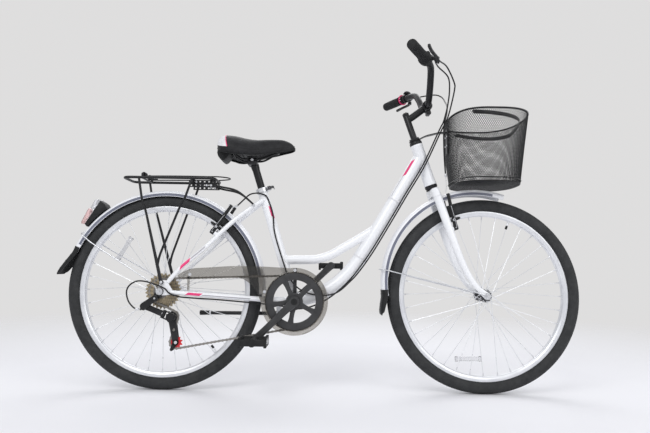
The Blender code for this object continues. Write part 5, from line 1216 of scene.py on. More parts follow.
def make_guard_shield():
    """A thin see-through shield outside the chain, open over the chainring, with a lip over the chain."""
    top_angle = math.degrees(math.acos(-0.0166 / GUARD_RADIUS))
    foot_angle = 180 - math.degrees(math.asin((0.3020 - CRANK_AXLE.z) / GUARD_RADIUS)) - 360
    tail_top = [(point.x, point.z) for point in smooth(in_plane(GUARD_TAIL_TOP), 8)]
    outer = tail_top + arc(CRANK_AXLE, GUARD_RADIUS, top_angle, foot_angle, 110)[:-1] + GUARD_TAIL_FOOT
    shield = plate(outer, -GUARD_Y - GUARD_HALF_THICKNESS, -GUARD_Y + GUARD_HALF_THICKNESS)
    lip_path = [(x, z - 0.0008) for x, z in tail_top[4:]]
    lip_path += arc(CRANK_AXLE, GUARD_RADIUS - 0.0008, top_angle, -75, 80)
    lip = sweep(in_plane(lip_path, -GUARD_Y + 0.0093), bar(0.0098, 0.0008), side=ALONG_Y)
    opening = pin(CRANK_AXLE, -0.07, -0.05, GUARD_INNER_RADIUS, 120)
    shape = cut(unite(shield, lip), opening)
    piece("chain_guard_shield", shape, "smoked_plastic", "main_frame", "chain_guard", angle=40)


def make_chain_guard():
    make_guard_shield()
    bead_path = in_plane(arc(CRANK_AXLE, GUARD_INNER_RADIUS + 0.0012, 0, 360, 120)[:-1], -GUARD_Y)
    piece("chain_guard_bead", sweep(bead_path, circle(0.0016, 10), closed=True), "smoked_plastic", "main_frame")
    strap_low, strap_high = CRANK_AXLE.z + 0.0200, CRANK_AXLE.z + GUARD_RADIUS - 0.0016
    strap_middle = (CRANK_AXLE.x, -0.0378, (strap_low + strap_high) / 2)
    strap = block(strap_middle, (0.0120, 0.0018, strap_high - strap_low))
    piece("chain_guard_strap", strap, "black_paint", "main_frame")
    tail = block((0.088, -0.0538, 0.3535), (0.0080, 0.0016, 0.0470))
    piece("chain_guard_foot", tail, "smoked_plastic", "main_frame")
    heads = [pin((x, -GUARD_Y, z), -0.0008, -0.0024, 0.0056, 24, 0.0007) for x, z in GUARD_SCREWS]
    piece("chain_guard_screws", joined(*heads), "bright_alloy", "main_frame")


# Rear derailleur
LINK_DIRECTION = Vector((0.914, 0, -0.405)).normalized()
LINK_AXIS = Vector((0.405, 0, 0.914)).normalized()
LINK_END = GUIDE_AXLE - LINK_DIRECTION * 0.0245 + ALONG_Y * -0.0655
LINK_START = LINK_END - LINK_DIRECTION * 0.066 + ALONG_Y * -0.0125
LINK_HALF = 0.0100
HANGER_BOLT = Vector((-0.011, 0, 0.305))
CABLE_STOP_TIP = Vector((-0.0560, -0.0868, 0.2675))
STOP_RINGS, STOP_RING_PITCH = 7, 0.0018
SPRING_STOP = GUIDE_AXLE + Vector((0.0135, 0, 0.0040))
CAGE_TAIL = TENSION_AXLE + Vector((-0.0130, 0, -0.0230))
CAGE_PLATES = ((-0.0534, -0.0516), (-0.0404, -0.0386))
PULLEY_TEETH, PULLEY_ROOT, PULLEY_TIP = 10, 0.0160, 0.0222


def ears(centre, reach, inner_y, outer_y):
    """Two rounded lugs, above and below the link, reaching from its pin along the link's direction."""
    made = []
    middle_y = (inner_y + outer_y) / 2
    size = (abs(reach) + 0.012, abs(outer_y - inner_y), 0.0026)
    for up in (-LINK_AXIS, LINK_AXIS):
        middle = centre + LINK_DIRECTION * reach / 2 + up * (LINK_HALF + 0.0018)
        middle.y = middle_y
        made.append(block(middle, size, LINK_DIRECTION, LINK_AXIS, 0.0012))
        foot = Vector((centre.x, middle_y, centre.z))
        made.append(pin(foot, LINK_HALF + 0.0028, LINK_HALF + 0.0040, 0.0036, 16, 0.0003, up))
    return made


def make_derailleur_mount():
    """The hanger, its bolt, the bridge to the link, and the ribbed barrel that the housing ends in."""
    parts = [plate(capsule(REAR_AXLE, 0.0130, HANGER_BOLT, 0.0105), -0.0764, -0.0741, 0.0004)]
    parts.append(pin(HANGER_BOLT, -0.0750, -0.0916, 0.0105, 40, 0.0016))
    parts.append(plate(capsule(HANGER_BOLT, 0.0100, LINK_START, 0.0110), -0.0919, -0.0869, 0.0012))
    start = Vector((LINK_START.x, -0.0894, LINK_START.z))
    run = (CABLE_STOP_TIP - start).normalized()
    parts.append(rod(start, CABLE_STOP_TIP, 0.0030, 20))
    for ring in range(STOP_RINGS):
        at = CABLE_STOP_TIP - run * (0.003 + STOP_RING_PITCH * ring)
        parts.append(pin(at, -0.0006, 0.0006, 0.0038, 12, axis=run))
    parts += ears(LINK_START, 0.0, -0.0720, -0.0880)
    piece("derailleur_mount", joined(*parts), "black_paint", "main_frame", "derailleur_base")
    piece("derailleur_bolt_heads", fastener("mount_screw", HANGER_BOLT, ALONG_Y), "bright_alloy", "main_frame")


def make_derailleur_link():
    """Two arms side by side under a cover, with a pin and a rivet at each end."""
    arms = []
    for side in (-1, 1):
        offset = LINK_AXIS * side * 0.0068
        path = [LINK_START.lerp(LINK_END, share) + offset for share in (0, 0.25, 0.5, 0.75, 1)]
        path[2] -= offset * 0.1
        arms.append(sweep(path, bar(0.0026, 0.0045, 0.0012), side=LINK_AXIS))
    spine = [LINK_START.lerp(LINK_END, share) - ALONG_Y * 0.0018 for share in (0.10, 0.3, 0.5, 0.7, 0.90)]
    cover = sweep(spine, bar(0.0092, 0.0026, 0.0014), [0.7, 1.0, 1.0, 0.95, 0.7], side=LINK_AXIS)
    ends = (LINK_START, LINK_END)
    pins = [pin(at, -0.0098, 0.0098, 0.0058, 24, 0.0006, LINK_AXIS) for at in ends]
    piece("derailleur_parallelogram", joined(*arms, cover, *pins), "black_paint", "link", "derailleur_link")
    rivets = [pin(at, -LINK_HALF, LINK_HALF, 0.0030, 16, 0.0004, LINK_AXIS) for at in ends]
    piece("derailleur_rivets", joined(*rivets), "bright_alloy", "link")


def make_derailleur_knuckle():
    """The round spring housing behind the guide pulley, with the cage's stop and the link's lugs."""
    parts = [pin(GUIDE_AXLE, -0.0543, -0.0735, 0.0145, 48, 0.0014)]
    parts.append(pin(GUIDE_AXLE, -0.0730, -0.0758, 0.0118, 40, 0.0009))
    parts.append(pin(SPRING_STOP, -0.0580, -0.0680, 0.0042, 16, 0.0006))
    parts += ears(LINK_END, 0.0180, -0.0590, -0.0720)
    piece("derailleur_spring_drum", joined(*parts), "black_paint", "knuckle", "derailleur_knuckle")


def make_derailleur_cage():
    """Two plates with a window each, joined by the pulley pins."""
    plates = []
    middle = GUIDE_AXLE.lerp(TENSION_AXLE, 0.5)
    for low, high in CAGE_PLATES:
        side_plate = plate(capsule(GUIDE_AXLE, 0.0125, TENSION_AXLE, 0.0100), low, high)
        plates.append(cut(side_plate, pin(middle, low - 0.01, high + 0.01, 0.0052)))
        plates.append(plate(capsule(TENSION_AXLE, 0.0095, CAGE_TAIL, 0.0050), low, high, 0.0004))
    plates += [pin(axle, -0.0395, -0.0525, 0.0025, 16) for axle in (GUIDE_AXLE, TENSION_AXLE)]
    piece("derailleur_cage_plates", joined(*plates), "black_paint", "cage", "derailleur_cage")
    piece("derailleur_pulley_bolts", fastener("pulley_screw", TENSION_AXLE, ALONG_Y), "bright_alloy", "cage")


def make_pulley(name, axle, finish, body):
    """A toothed pulley with a thicker middle and a steel bush."""
    low, high = CHAIN_Y - 0.0011, CHAIN_Y + 0.0011
    teeth = toothed(axle, PULLEY_TEETH, PULLEY_ROOT, PULLEY_TIP, low, high, 0.0095, flat=0.16)
    sides = [washer(axle, 0.0030, 0.0138, CHAIN_Y - 0.0034, CHAIN_Y - 0.0010)]
    sides.append(washer(axle, 0.0030, 0.0138, CHAIN_Y + 0.0010, CHAIN_Y + 0.0034))
    piece(name + "_wheel", joined(teeth, *sides), finish, body, name)
    bush = washer(axle, 0.0030, 0.0075, CHAIN_Y - 0.0036, CHAIN_Y + 0.0036)
    piece(name + "_bush", bush, "bright_alloy", body)


def make_derailleur():
    make_derailleur_mount()
    make_derailleur_link()
    make_derailleur_knuckle()
    make_derailleur_cage()
    make_pulley("guide_pulley", GUIDE_AXLE, "black_plastic", "upper_pulley")
    make_pulley("tension_pulley", TENSION_AXLE, "red_plastic", "lower_pulley")


# Frame
HEAD_TUBE_TOP = 0.0142
HEAD_LENGTH = 0.1630
HEAD_TUBE_RADIUS = 0.0208
SEAT_TUBE_RADIUS = 0.0170
SEAT_TUBE_LENGTH = 0.3915
SEAT_TUBE_BORE = 0.0133
SEAT_POST_RADIUS = 0.0127
SHELL_RADIUS, SHELL_BORE, SHELL_HALF_WIDTH = 0.0210, 0.0172, 0.0343
DOWN_TUBE_RADIUS = 0.0238
DOWN_TUBE = [
    (0.8590, 0.7905),
    (0.7937, 0.6780),
    (0.7387, 0.5839),
    (0.6807, 0.4869),
    (0.6450, 0.4297),
    (0.6070, 0.3843),
    (0.5640, 0.3480),
    (0.5180, 0.3220),
    (0.4480, 0.3010),
]
SECOND_TUBE_RADIUS = 0.0150
SECOND_TUBE = [
    (0.3960, 0.4360),
    (0.4525, 0.4375),
    (0.5080, 0.4405),
    (0.5520, 0.4535),
    (0.5970, 0.4790),
    (0.6570, 0.5146),
    (0.7050, 0.5450),
]
CHAINSTAY = [
    (0.4180, 0.0240, 0.2980, 0.0100),
    (0.3500, 0.0318, 0.3025, 0.0095),
    (0.3000, 0.0366, 0.3060, 0.0085),
    (0.2000, 0.0475, 0.3125, 0.0080),
    (0.1000, 0.0605, 0.3195, 0.0075),
    (0.0340, 0.0703, 0.3245, 0.0068),
]
SEATSTAY = [
    (0.3220, 0.0140, 0.6390, 0.0080),
    (0.3070, 0.0225, 0.6270, 0.0080),
    (0.2620, 0.0345, 0.5915, 0.0078),
    (0.2170, 0.0430, 0.5530, 0.0078),
    (0.1400, 0.0530, 0.4740, 0.0075),
    (0.0660, 0.0650, 0.4070, 0.0072),
    (0.0240, 0.0704, 0.3570, 0.0068),
]
DROPOUT_INNER_Y, DROPOUT_OUTER_Y = 0.0675, 0.0735
RACK_BOLT = Vector((0.0055, 0, 0.3568))
RACK_BOSS = Vector((0.2945, 0, 0.6175))
CHAINSTAY_BRIDGE = Vector((0.3560, 0, 0.3035))
SEATSTAY_BRIDGE = Vector((0.2560, 0, 0.5865))
FENDER_TAB = Vector((0.3425, 0, 0.3235))
REAR_STUD = Vector((0.1790, 0, 0.5140))
REAR_STUD_Y = 0.0480
REAR_STUD_DIRECTION = Vector((-0.835, 0, 0.55)).normalized()
STUD_BOSS_LENGTH, STUD_LENGTH, STUD_RADIUS = 0.0145, 0.0290, 0.0030
ARM_CENTRE = 0.0222
STAND_PIVOT = Vector((0.3830, 0.0430, 0.2520))
STAND_AXIS = Vector((0.0759, 0.937, 0.3406)).normalized()
GUIDE_PLACES = (1.35, 3.65, 6.45)
FILMS = (
    # name, tube, shares of its length, angles about it, finish, slant
    ("down_tube_flash", "down tube", (0.024, 0.118), (35, 60), "pink_film", 0.017),
    ("down_tube_pinstripe", "down tube", (0.125, 0.245), (52, 57), "grey_film", 0.008),
    ("seatstay_flash", "seatstay", (0.755, 0.855), (-38, 38), "pink_film", -0.03),
    ("seatstay_stripe", "seatstay", (0.600, 0.745), (-8, 26), "grey_film", -0.02),
    ("chainstay_flash", "chainstay", (0.745, 0.865), (-34, 34), "pink_film", -0.03),
    ("chainstay_stripe", "chainstay", (0.330, 0.735), (-18, 4), "grey_film", -0.01),
    ("seat_tube_flash", "seat tube", (0.35, 0.66), (20, 62), "pink_film", -0.10),
)
FILM_ROWS, FILM_COLUMNS = 40, 12
FILM_LIFT = 0.00012
WELD_STEPS, WELD_RIPPLES, WELD_RIPPLE = 96, 22, 0.16
REAR_FENDER_RADIUS, FRONT_FENDER_RADIUS = 0.3400, 0.3184
FENDER_HALF_WIDTH = 0.0285
RIM_HALF_WIDTH = 0.0122


def stay_path(points, steps=6):
    """A stay's middle line and its radius at each point, from (x, y, z, radius) stations."""
    path = smooth([point[:3] for point in points], steps)
    scales = []
    for first, second in zip(points, points[1:]):
        scales += [first[3] + (second[3] - first[3]) * step / steps for step in range(steps)]
    return path, scales + [points[-1][3]]


def weld(host, host_axis, host_radius, start, ahead, radius, bead=0.0017):
    """A rippled bead where a round tube meets a round host; the tube comes from start and runs ahead."""
    host, host_axis = Vector(host), Vector(host_axis).normalized()
    start, ahead = Vector(start), Vector(ahead).normalized()
    across = ahead.orthogonal().normalized()
    run = ahead - host_axis * ahead.dot(host_axis)
    reach = radius + bead * 0.35
    path = []
    for point in loop(start, across * reach, ahead.cross(across) * reach, WELD_STEPS):
        offset = point - host
        offset -= host_axis * offset.dot(host_axis)
        a, b, c = run.dot(run), 2 * offset.dot(run), offset.dot(offset) - (host_radius + bead * 0.2) ** 2
        path.append(point + ahead * ((-b - math.sqrt(b * b - 4 * a * c)) / (2 * a)))
    turn = math.tau / WELD_STEPS
    scales = [1 + WELD_RIPPLE * math.sin(turn * n * WELD_RIPPLES) for n in range(WELD_STEPS)]
    return sweep(path, circle(bead, 8), scales, closed=True)


def film(name, path, radii, span, angles, finish, slant):
    """A thin decal on a round tube, between two shares of its length and two angles about it."""
    heading = directions(path, False)
    lengths = [0.0]
    for first, second in zip(path, path[1:]):
        lengths.append(lengths[-1] + (second - first).length)
    points = []
    for row in range(FILM_ROWS + 1):
        share = span[0] + (span[1] - span[0]) * row / FILM_ROWS
        for column in range(FILM_COLUMNS + 1):
            around = column / FILM_COLUMNS
            at = min(max((share + slant * (around - 0.5)) * lengths[-1], 0.0), lengths[-1] - 1e-6)
            index = next(place for place in range(len(path) - 1) if lengths[place + 1] >= at)
            t = (at - lengths[index]) / (lengths[index + 1] - lengths[index])
            centre = path[index].lerp(path[index + 1], t)
            ahead = heading[index].lerp(heading[index + 1], t).normalized()
            side = (ahead * ALONG_Y.dot(ahead) - ALONG_Y).normalized()
            up = side.cross(ahead)
            up = up if up.z > 0 else -up
            angle = math.radians(angles[0] + (angles[1] - angles[0]) * around)
            radius = radii[index] + (radii[index + 1] - radii[index]) * t + FILM_LIFT
            points.append(centre + (side * math.cos(angle) + up * math.sin(angle)) * radius)
    mesh = bare(points, grid_faces(FILM_ROWS + 1, FILM_COLUMNS + 1))
    first = mesh.polygons[0]
    if first.normal.dot(first.center - path[0].lerp(path[-1], span[0])) < 0:
        mesh.flip_normals()
    piece(name, mesh, finish, "main_frame")


def dropout():
    """The left rear dropout, with the eyelet of the rack and its axle slot."""
    outline = arc(REAR_AXLE, 0.0140, 110, 290, 24)
    outline += [(0.0160, 0.3145), (0.0400, 0.3170), (0.0400, 0.3330), (0.0300, 0.3480)]
    outline += [(0.0220, 0.3620), (0.0080, 0.3640), (-0.0010, 0.3590)]
    body = plate(outline, DROPOUT_INNER_Y, DROPOUT_OUTER_Y)
    slot = block(REAR_AXLE + Vector((0, 0.0705, -0.0120)), (0.0106, 0.0300, 0.0240))
    hole = rod(REAR_AXLE + ALONG_Y * 0.05, REAR_AXLE + ALONG_Y * 0.09, 0.0053, 32)
    return bevelled(cut(body, slot, hole), 0.0007)


def down_tube_path(steps=6):
    return smooth(in_plane(DOWN_TUBE), steps)


def under_down_tube(place, depth, y=0.0):
    """A point below the down tube's middle line, at a place along its points, and the run's direction."""
    path = down_tube_path(2)
    index = place * 2
    first = path[int(index)]
    second = path[min(int(index) + 1, len(path) - 1)]
    run = (second - first).normalized()
    middle = first.lerp(second, index - int(index))
    below = Vector((-run.z, 0, run.x))
    if below.z > 0:
        below = -below
    return middle + below * depth + ALONG_Y * y, run


def head_tube():
    """The head tube with a raised collar at each end."""
    half = (HEAD_LENGTH - HEAD_TUBE_TOP) / 2
    out, collar = HEAD_TUBE_RADIUS, HEAD_TUBE_RADIUS + 0.0008
    profile = [(out - 0.0034, -half), (out + 0.0004, -half), (collar, -half + 0.001)]
    profile += [(collar, -half + 0.007), (out, -half + 0.009)]
    profile += [(radius, -along) for radius, along in reversed(profile)]
    return turned(profile, steer((HEAD_TUBE_TOP + HEAD_LENGTH) / 2), STEER_DOWN, 64, ring=True)


def main_tubes():
    """Head tube, down tube, second tube, seat tube and bottom bracket shell."""
    seat_tube = [(SEAT_TUBE_RADIUS, 0.012), (SEAT_TUBE_RADIUS, SEAT_TUBE_LENGTH - 0.001)]
    seat_tube += [(SEAT_TUBE_RADIUS - 0.001, SEAT_TUBE_LENGTH), (SEAT_TUBE_BORE, SEAT_TUBE_LENGTH)]
    seat_tube += [(SEAT_TUBE_BORE, 0.13), (0, 0.12)]
    shell = [(SHELL_BORE, -SHELL_HALF_WIDTH), (SHELL_RADIUS - 0.0006, -SHELL_HALF_WIDTH)]
    shell.append((SHELL_RADIUS, -SHELL_HALF_WIDTH + 0.0006))
    shell += [(radius, -y) for radius, y in reversed(shell)]
    return [
        head_tube(),
        sweep(down_tube_path(), circle(DOWN_TUBE_RADIUS, 48)),
        sweep(smooth(in_plane(SECOND_TUBE)), circle(SECOND_TUBE_RADIUS, 40)),
        turned(seat_tube, CRANK_AXLE, SEAT_UP, 48),
        turned(shell, CRANK_AXLE, ALONG_Y, 56, ring=True),
    ]


def stays():
    """Both pairs of stays with their dropouts."""
    pieces = []
    for stations in (CHAINSTAY, SEATSTAY):
        path, radii = stay_path(stations)
        pieces += both(sweep(path, circle(1.0, 28), radii))
    return pieces + both(dropout())


def bridges():
    """Rods between the stays, each with a tab that carries the fender."""
    towards = (REAR_AXLE - SEATSTAY_BRIDGE).normalized()
    seatstay_tab = REAR_AXLE - towards * (REAR_FENDER_RADIUS + 0.0006)
    tab = bar(0.0080, 0.0012, 0.0006)
    return [
        pin(CHAINSTAY_BRIDGE, -0.030, 0.030, 0.0060),
        sweep([CHAINSTAY_BRIDGE, FENDER_TAB], tab, side=ALONG_Y),
        pin(SEATSTAY_BRIDGE, -0.034, 0.034, 0.0060),
        sweep([SEATSTAY_BRIDGE, seatstay_tab], tab, side=ALONG_Y),
    ]


def bosses():
    """Bosses of the brake arms and of the rack's stays, the kickstand's plate and bracket, and cable guides."""
    pieces = []
    for side in (-1, 1):
        stud = REAR_STUD + ALONG_Y * side * REAR_STUD_Y
        pieces.append(pin(stud, 0, STUD_BOSS_LENGTH, 0.0070, 28, 0.0006, REAR_STUD_DIRECTION))
        pieces.append(pin(RACK_BOSS, side * 0.0250, side * 0.0368, 0.0045, 20))
    pieces.append(block((0.3790, 0.0120, 0.2925), (0.0420, 0.0560, 0.0050), corner=0.0012))
    pieces.append(pin(STAND_PIVOT, -0.0072, -0.0172, 0.0110, 32, 0.0006, STAND_AXIS))
    pieces.append(block((0.3825, 0.0300, 0.2730), (0.0180, 0.0060, 0.0390), corner=0.0012))
    for place in GUIDE_PLACES:
        guide, run = under_down_tube(place, DOWN_TUBE_RADIUS + 0.0005, -0.003)
        pieces.append(block(guide, (0.0120, 0.0140, 0.0050), run, run.cross(ALONG_Y), corner=0.0010))
    return pieces


def weld_beads():
    """Beads at the seat tube's foot and the second tube's ends, and a ring at the rear end of each stay."""
    down, second = down_tube_path(), smooth(in_plane(SECOND_TUBE))
    seat, lower = SEAT_TUBE_RADIUS, SECOND_TUBE_RADIUS
    upper_run = second[-1] - second[-7]
    beads = [
        weld(CRANK_AXLE, ALONG_Y, SHELL_RADIUS, seat_line(0.10), -SEAT_UP, seat, 0.0018),
        weld(CRANK_AXLE, SEAT_UP, seat, second[6], second[0] - second[6], lower, 0.0018),
        weld(down[13], down[14] - down[12], DOWN_TUBE_RADIUS, second[-7], upper_run, lower, 0.0018),
    ]
    for stations in (SEATSTAY, CHAINSTAY):
        path, radii = stay_path(stations)
        ahead = (path[-2] - path[-4]).normalized()
        across = ahead.orthogonal().normalized() * (radii[-3] + 0.0002)
        beads += both(sweep(loop(path[-3], across, ahead.cross(across), 48), circle(0.0012, 8), closed=True))
    return beads


def make_frame_bolts():
    """Brake studs, rack bolts and the kickstand's pivot, which aren't painted."""
    parts = []
    for side in (-1, 1):
        stud = REAR_STUD + ALONG_Y * side * REAR_STUD_Y
        out = ALONG_Y * side
        parts.append(pin(stud, 0, STUD_LENGTH, STUD_RADIUS, 20, axis=REAR_STUD_DIRECTION))
        stud_end = stud + REAR_STUD_DIRECTION * (STUD_LENGTH - 0.0005)
        parts.append(fastener("stud_screw", stud_end, REAR_STUD_DIRECTION))
        parts.append(pin(RACK_BOLT, 0.0690, 0.0815, 0.0024, 16, axis=out))
        parts.append(fastener("rack_screw", RACK_BOLT + out * 0.0810, out))
        parts.append(fastener("stay_screw", RACK_BOSS + out * 0.0400, out))
    parts.append(pin(STAND_PIVOT, -0.0100, 0.0078, 0.0040, axis=STAND_AXIS))
    parts.append(fastener("stand_nut", STAND_PIVOT, STAND_AXIS))
    piece("frame_bolts", joined(*parts), "bright_alloy", "main_frame")


def make_cable_ties():
    """A strap round the down tube at each cable guide, with its lock."""
    ties = []
    for place in GUIDE_PLACES:
        centre, run = under_down_tube(place, 0.0)
        side = run.cross(ALONG_Y)
        radius = DOWN_TUBE_RADIUS + 0.0008
        strap = loop(centre, ALONG_Y * radius, side * radius, 64)
        ties.append(sweep(strap, bar(0.0020, 0.0006, 0.0003), side=run, closed=True))
        lock = centre + (side * 0.5 - ALONG_Y * 0.86).normalized() * (DOWN_TUBE_RADIUS + 0.0022)
        ties.append(block(lock, (0.0048, 0.0050, 0.0040), run, side, corner=0.0006))
    piece("cable_ties", joined(*ties), "saddle_white", "main_frame")


def make_films():
    """The stripes on the tubes; those on the stays are on the right side."""
    down = down_tube_path()
    seatstay, seatstay_radii = stay_path(SEATSTAY)
    chainstay, chainstay_radii = stay_path(CHAINSTAY)
    tubes = {
        "down tube": (down, [DOWN_TUBE_RADIUS] * len(down)),
        "seatstay": (flipped(seatstay), seatstay_radii),
        "chainstay": (flipped(chainstay), chainstay_radii),
        "seat tube": ([seat_line(0.25), seat_line(0.31), seat_line(0.37)], [SEAT_TUBE_RADIUS] * 3),
    }
    for name, tube, span, angles, finish, slant in FILMS:
        film(name, *tubes[tube], span, angles, finish, slant)


def make_frame():
    pieces = main_tubes() + stays() + bridges() + bosses() + weld_beads()
    piece("frame_tubes", joined(*pieces), "white_paint", "main_frame", "frame", angle=40)
    make_frame_bolts()
    make_cable_ties()
    make_films()


def make_headset_cup(name, face, inwards):
    """A bearing cup pressed into one end of the head tube."""
    bore, rim, edge, neck = 0.0148, 0.0216, HEAD_TUBE_TOP - 0.0004, 0.0165
    profile = [(bore, 0.0), (0.0182, 0.0), (0.0190, 0.0006), (0.0193, 0.0020), (rim - 0.0006, 0.0046)]
    profile += [(rim, 0.0056), (rim, edge - 0.0016), (rim - 0.0006, edge - 0.0010), (rim - 0.0002, edge)]
    profile += [(neck, edge), (neck, 0.026), (bore, 0.026)]
    made = turned(profile, steer(face), STEER_DOWN * inwards, 64, ring=True)
    piece(name + "_turned", made, "black_paint", "main_frame", name)


def make_headset():
    make_headset_cup("upper_headset_cup", 0.0, 1)
    make_headset_cup("lower_headset_cup", HEAD_LENGTH + HEAD_TUBE_TOP, -1)


# Saddle and seat post
CLAMP_MIDDLE = SEAT_TUBE_LENGTH + 0.0010
COLLAR_HALF, COLLAR_RADIUS = 0.0080, 0.0208
SKEWER_FORWARD = 0.0265
LEVER_HANDLE = [(0.0, -0.0165), (0.0080, -0.0180), (0.0140, -0.0120), (0.0150, 0.0020), (0.0140, 0.0160)]
POST_HEAD = Vector((0.2830, 0, 0.7640))
POST_TOP, POST_FOOT = 0.4800, SEAT_TUBE_LENGTH - 0.1500
POST_HEAD_RIBS = 5


def make_seat_clamp():
    """A slotted collar with two lugs, the skewer through them, and its lever with a cam."""
    middle, bore = seat_line(CLAMP_MIDDLE), SEAT_TUBE_RADIUS + 0.0009
    collar = washer(middle, bore, COLLAR_RADIUS, -COLLAR_HALF, COLLAR_HALF, SEAT_UP, 56, edge=0.0014)
    slot = block(seat_line(CLAMP_MIDDLE, 0.0190), (0.0080, 0.0030, 0.0300), SEAT_FORWARD, SEAT_UP)
    parts = [cut(collar, slot)]
    for side in (-1, 1):
        lug = seat_line(CLAMP_MIDDLE, 0.0240, side * 0.0050)
        parts.append(block(lug, (0.0130, 0.0060, 0.0130), SEAT_FORWARD, SEAT_UP, corner=0.0018))
    piece("seat_collar", joined(*parts), "bright_alloy", "main_frame", "seat_clamp")
    skewer_middle = seat_line(CLAMP_MIDDLE, SKEWER_FORWARD)
    skewer = [pin(skewer_middle, -0.0095, 0.0130, 0.0026, 20), fastener("skewer_nut", skewer_middle, ALONG_Y)]
    piece("seat_skewer", joined(*skewer), "bright_alloy", "main_frame")
    cam = pin(skewer_middle - ALONG_Y * 0.0165, -0.0060, 0.0060, 0.0062, 32, 0.0008, SEAT_UP)
    path = smooth([seat_line(CLAMP_MIDDLE, SKEWER_FORWARD + ahead, y) for ahead, y in LEVER_HANDLE], 8)
    scales = [(0.75 + 0.25 * min(1, n / (len(path) - 1) * 1.6), 1.0) for n in range(len(path))]
    handle = sweep(path, bar(0.0050, 0.0014, 0.0010), scales, side=SEAT_UP)
    piece("seat_lever", joined(cam, handle), "grey_alloy", "clamp_lever", "seat_clamp_lever")


def make_seat_post():
    """The post, flared under its head, and the clamp round the rails with ribs and nuts on both sides."""
    radius = SEAT_POST_RADIUS
    profile = [(0.0105, POST_FOOT), (radius - 0.0005, POST_FOOT), (radius, POST_FOOT + 0.0005)]
    profile += [(radius, POST_TOP - 0.014), (0.0140, POST_TOP - 0.006), (0.0145, POST_TOP + 0.004)]
    profile += [(0.0125, POST_TOP + 0.0055), (0, POST_TOP + 0.0055)]
    parts = [turned(profile, CRANK_AXLE, SEAT_UP, 48)]
    parts.append(block((POST_HEAD.x, 0, 0.7665), (0.0340, 0.0600, 0.0146), corner=0.0030))
    parts.append(block((POST_HEAD.x, 0, 0.7770), (0.0290, 0.0350, 0.0180), corner=0.0030))
    parts.append(block((POST_HEAD.x, 0, 0.7850), (0.0340, 0.0600, 0.0052), corner=0.0016))
    nuts = []
    for side in (-1, 1):
        nuts.append(pin((POST_HEAD.x, 0, 0.7755), side * 0.0245, side * 0.0298, 0.0052, 6))
        for rib in range(POST_HEAD_RIBS):
            x = POST_HEAD.x + 0.006 * (rib - POST_HEAD_RIBS // 2)
            parts.append(rod((x, side * 0.0292, 0.7610), (x, side * 0.0292, 0.7724), 0.0010, 8))
    piece("seat_post_tube", joined(*parts), "black_paint", "seat", "seat_post")
    piece("seat_post_nuts", joined(*nuts), "bright_alloy", "seat")


def make_saddle_rails():
    """One wire: two rails joined at the nose, rising to the saddle at both ends."""
    side = [
        (0.2150, 0.0330, 0.8060),
        (0.2270, 0.0300, 0.7930),
        (0.2450, 0.0240, 0.7805),
        (0.2620, 0.0220, 0.7785),
        (0.3040, 0.0220, 0.7785),
        (0.3250, 0.0190, 0.7830),
        (0.3500, 0.0130, 0.7960),
        (0.3680, 0.0060, 0.8030),
    ]
    path = smooth(side + flipped(reversed(side)), 6)
    piece("saddle_rail_wire", sweep(path, circle(0.0034, 20)), "black_paint", "seat", "saddle_rails")


SADDLE = [
    (0.1680, 0.0520, 0.8490, 0.8100),
    (0.1760, 0.0800, 0.8560, 0.7950),
    (0.1960, 0.0970, 0.8600, 0.7860),
    (0.2300, 0.0990, 0.8570, 0.7830),
    (0.2650, 0.0845, 0.8500, 0.7850),
    (0.2980, 0.0590, 0.8482, 0.7890),
    (0.3300, 0.0440, 0.8505, 0.7955),
    (0.3620, 0.0360, 0.8515, 0.8010),
    (0.3880, 0.0310, 0.8500, 0.8070),
    (0.4080, 0.0260, 0.8430, 0.8110),
    (0.4200, 0.0200, 0.8350, 0.8140),
    (0.4270, 0.0110, 0.8260, 0.8170),
]
SADDLE_CROWN = [(0.0, 0.012), (0.16, 0.004), (0.42, 0.06), (0.64, 0.18), (0.80, 0.33)]
SADDLE_CROWN += [(0.92, 0.50), (0.985, 0.68), (1.0, 0.84), (0.975, 0.95), (0.90, 1.0)]
SADDLE_STATION_STEPS = 8
SIDE_SHIFT, SIDE_SHIFT_START, SIDE_SHIFT_PEAK, SIDE_SHIFT_FADE = 0.0210, 0.1690, 0.1900, 0.0700
PANEL_ROWS, PANEL_COLUMN = 15, 8
HEEL_BLOCK = [(0.1665, 0.8120), (0.1650, 0.7960), (0.1685, 0.7840), (0.1760, 0.7745), (0.1845, 0.7695)]
HEEL_BLOCK += [(0.1930, 0.7735), (0.2010, 0.7830), (0.2070, 0.7930), (0.2105, 0.8040)]
HEEL_HALF_WIDTH = 0.0400


def side_shift(x):
    """How far the lower edge of the saddle is moved ahead, which slants its rear."""
    if x > SIDE_SHIFT_PEAK:
        return SIDE_SHIFT * max(0.0, 1 - (x - SIDE_SHIFT_PEAK) / SIDE_SHIFT_FADE)
    return SIDE_SHIFT * max(0.0, (x - SIDE_SHIFT_START) / (SIDE_SHIFT_PEAK - SIDE_SHIFT_START))


def saddle_surface():
    """Rows of points across the saddle's outside, from its rear to its nose."""
    stations = smooth([(x, half, top) for x, half, top, _ in SADDLE], SADDLE_STATION_STEPS)
    edges = smooth([(x, 0, edge) for x, _, _, edge in SADDLE], SADDLE_STATION_STEPS)
    crown = smooth([(across, 0, down) for across, down in SADDLE_CROWN], 3)
    rows = []
    for station, edge in zip(stations, edges):
        drop, shift = station.z - edge.z, side_shift(station.x)
        right = []
        for c in reversed(crown):
            right.append(Vector((station.x + shift * c.z, -c.x * station.y, station.z - c.z * drop)))
        rows.append(right + flipped(reversed(right[:-1])))
    return rows


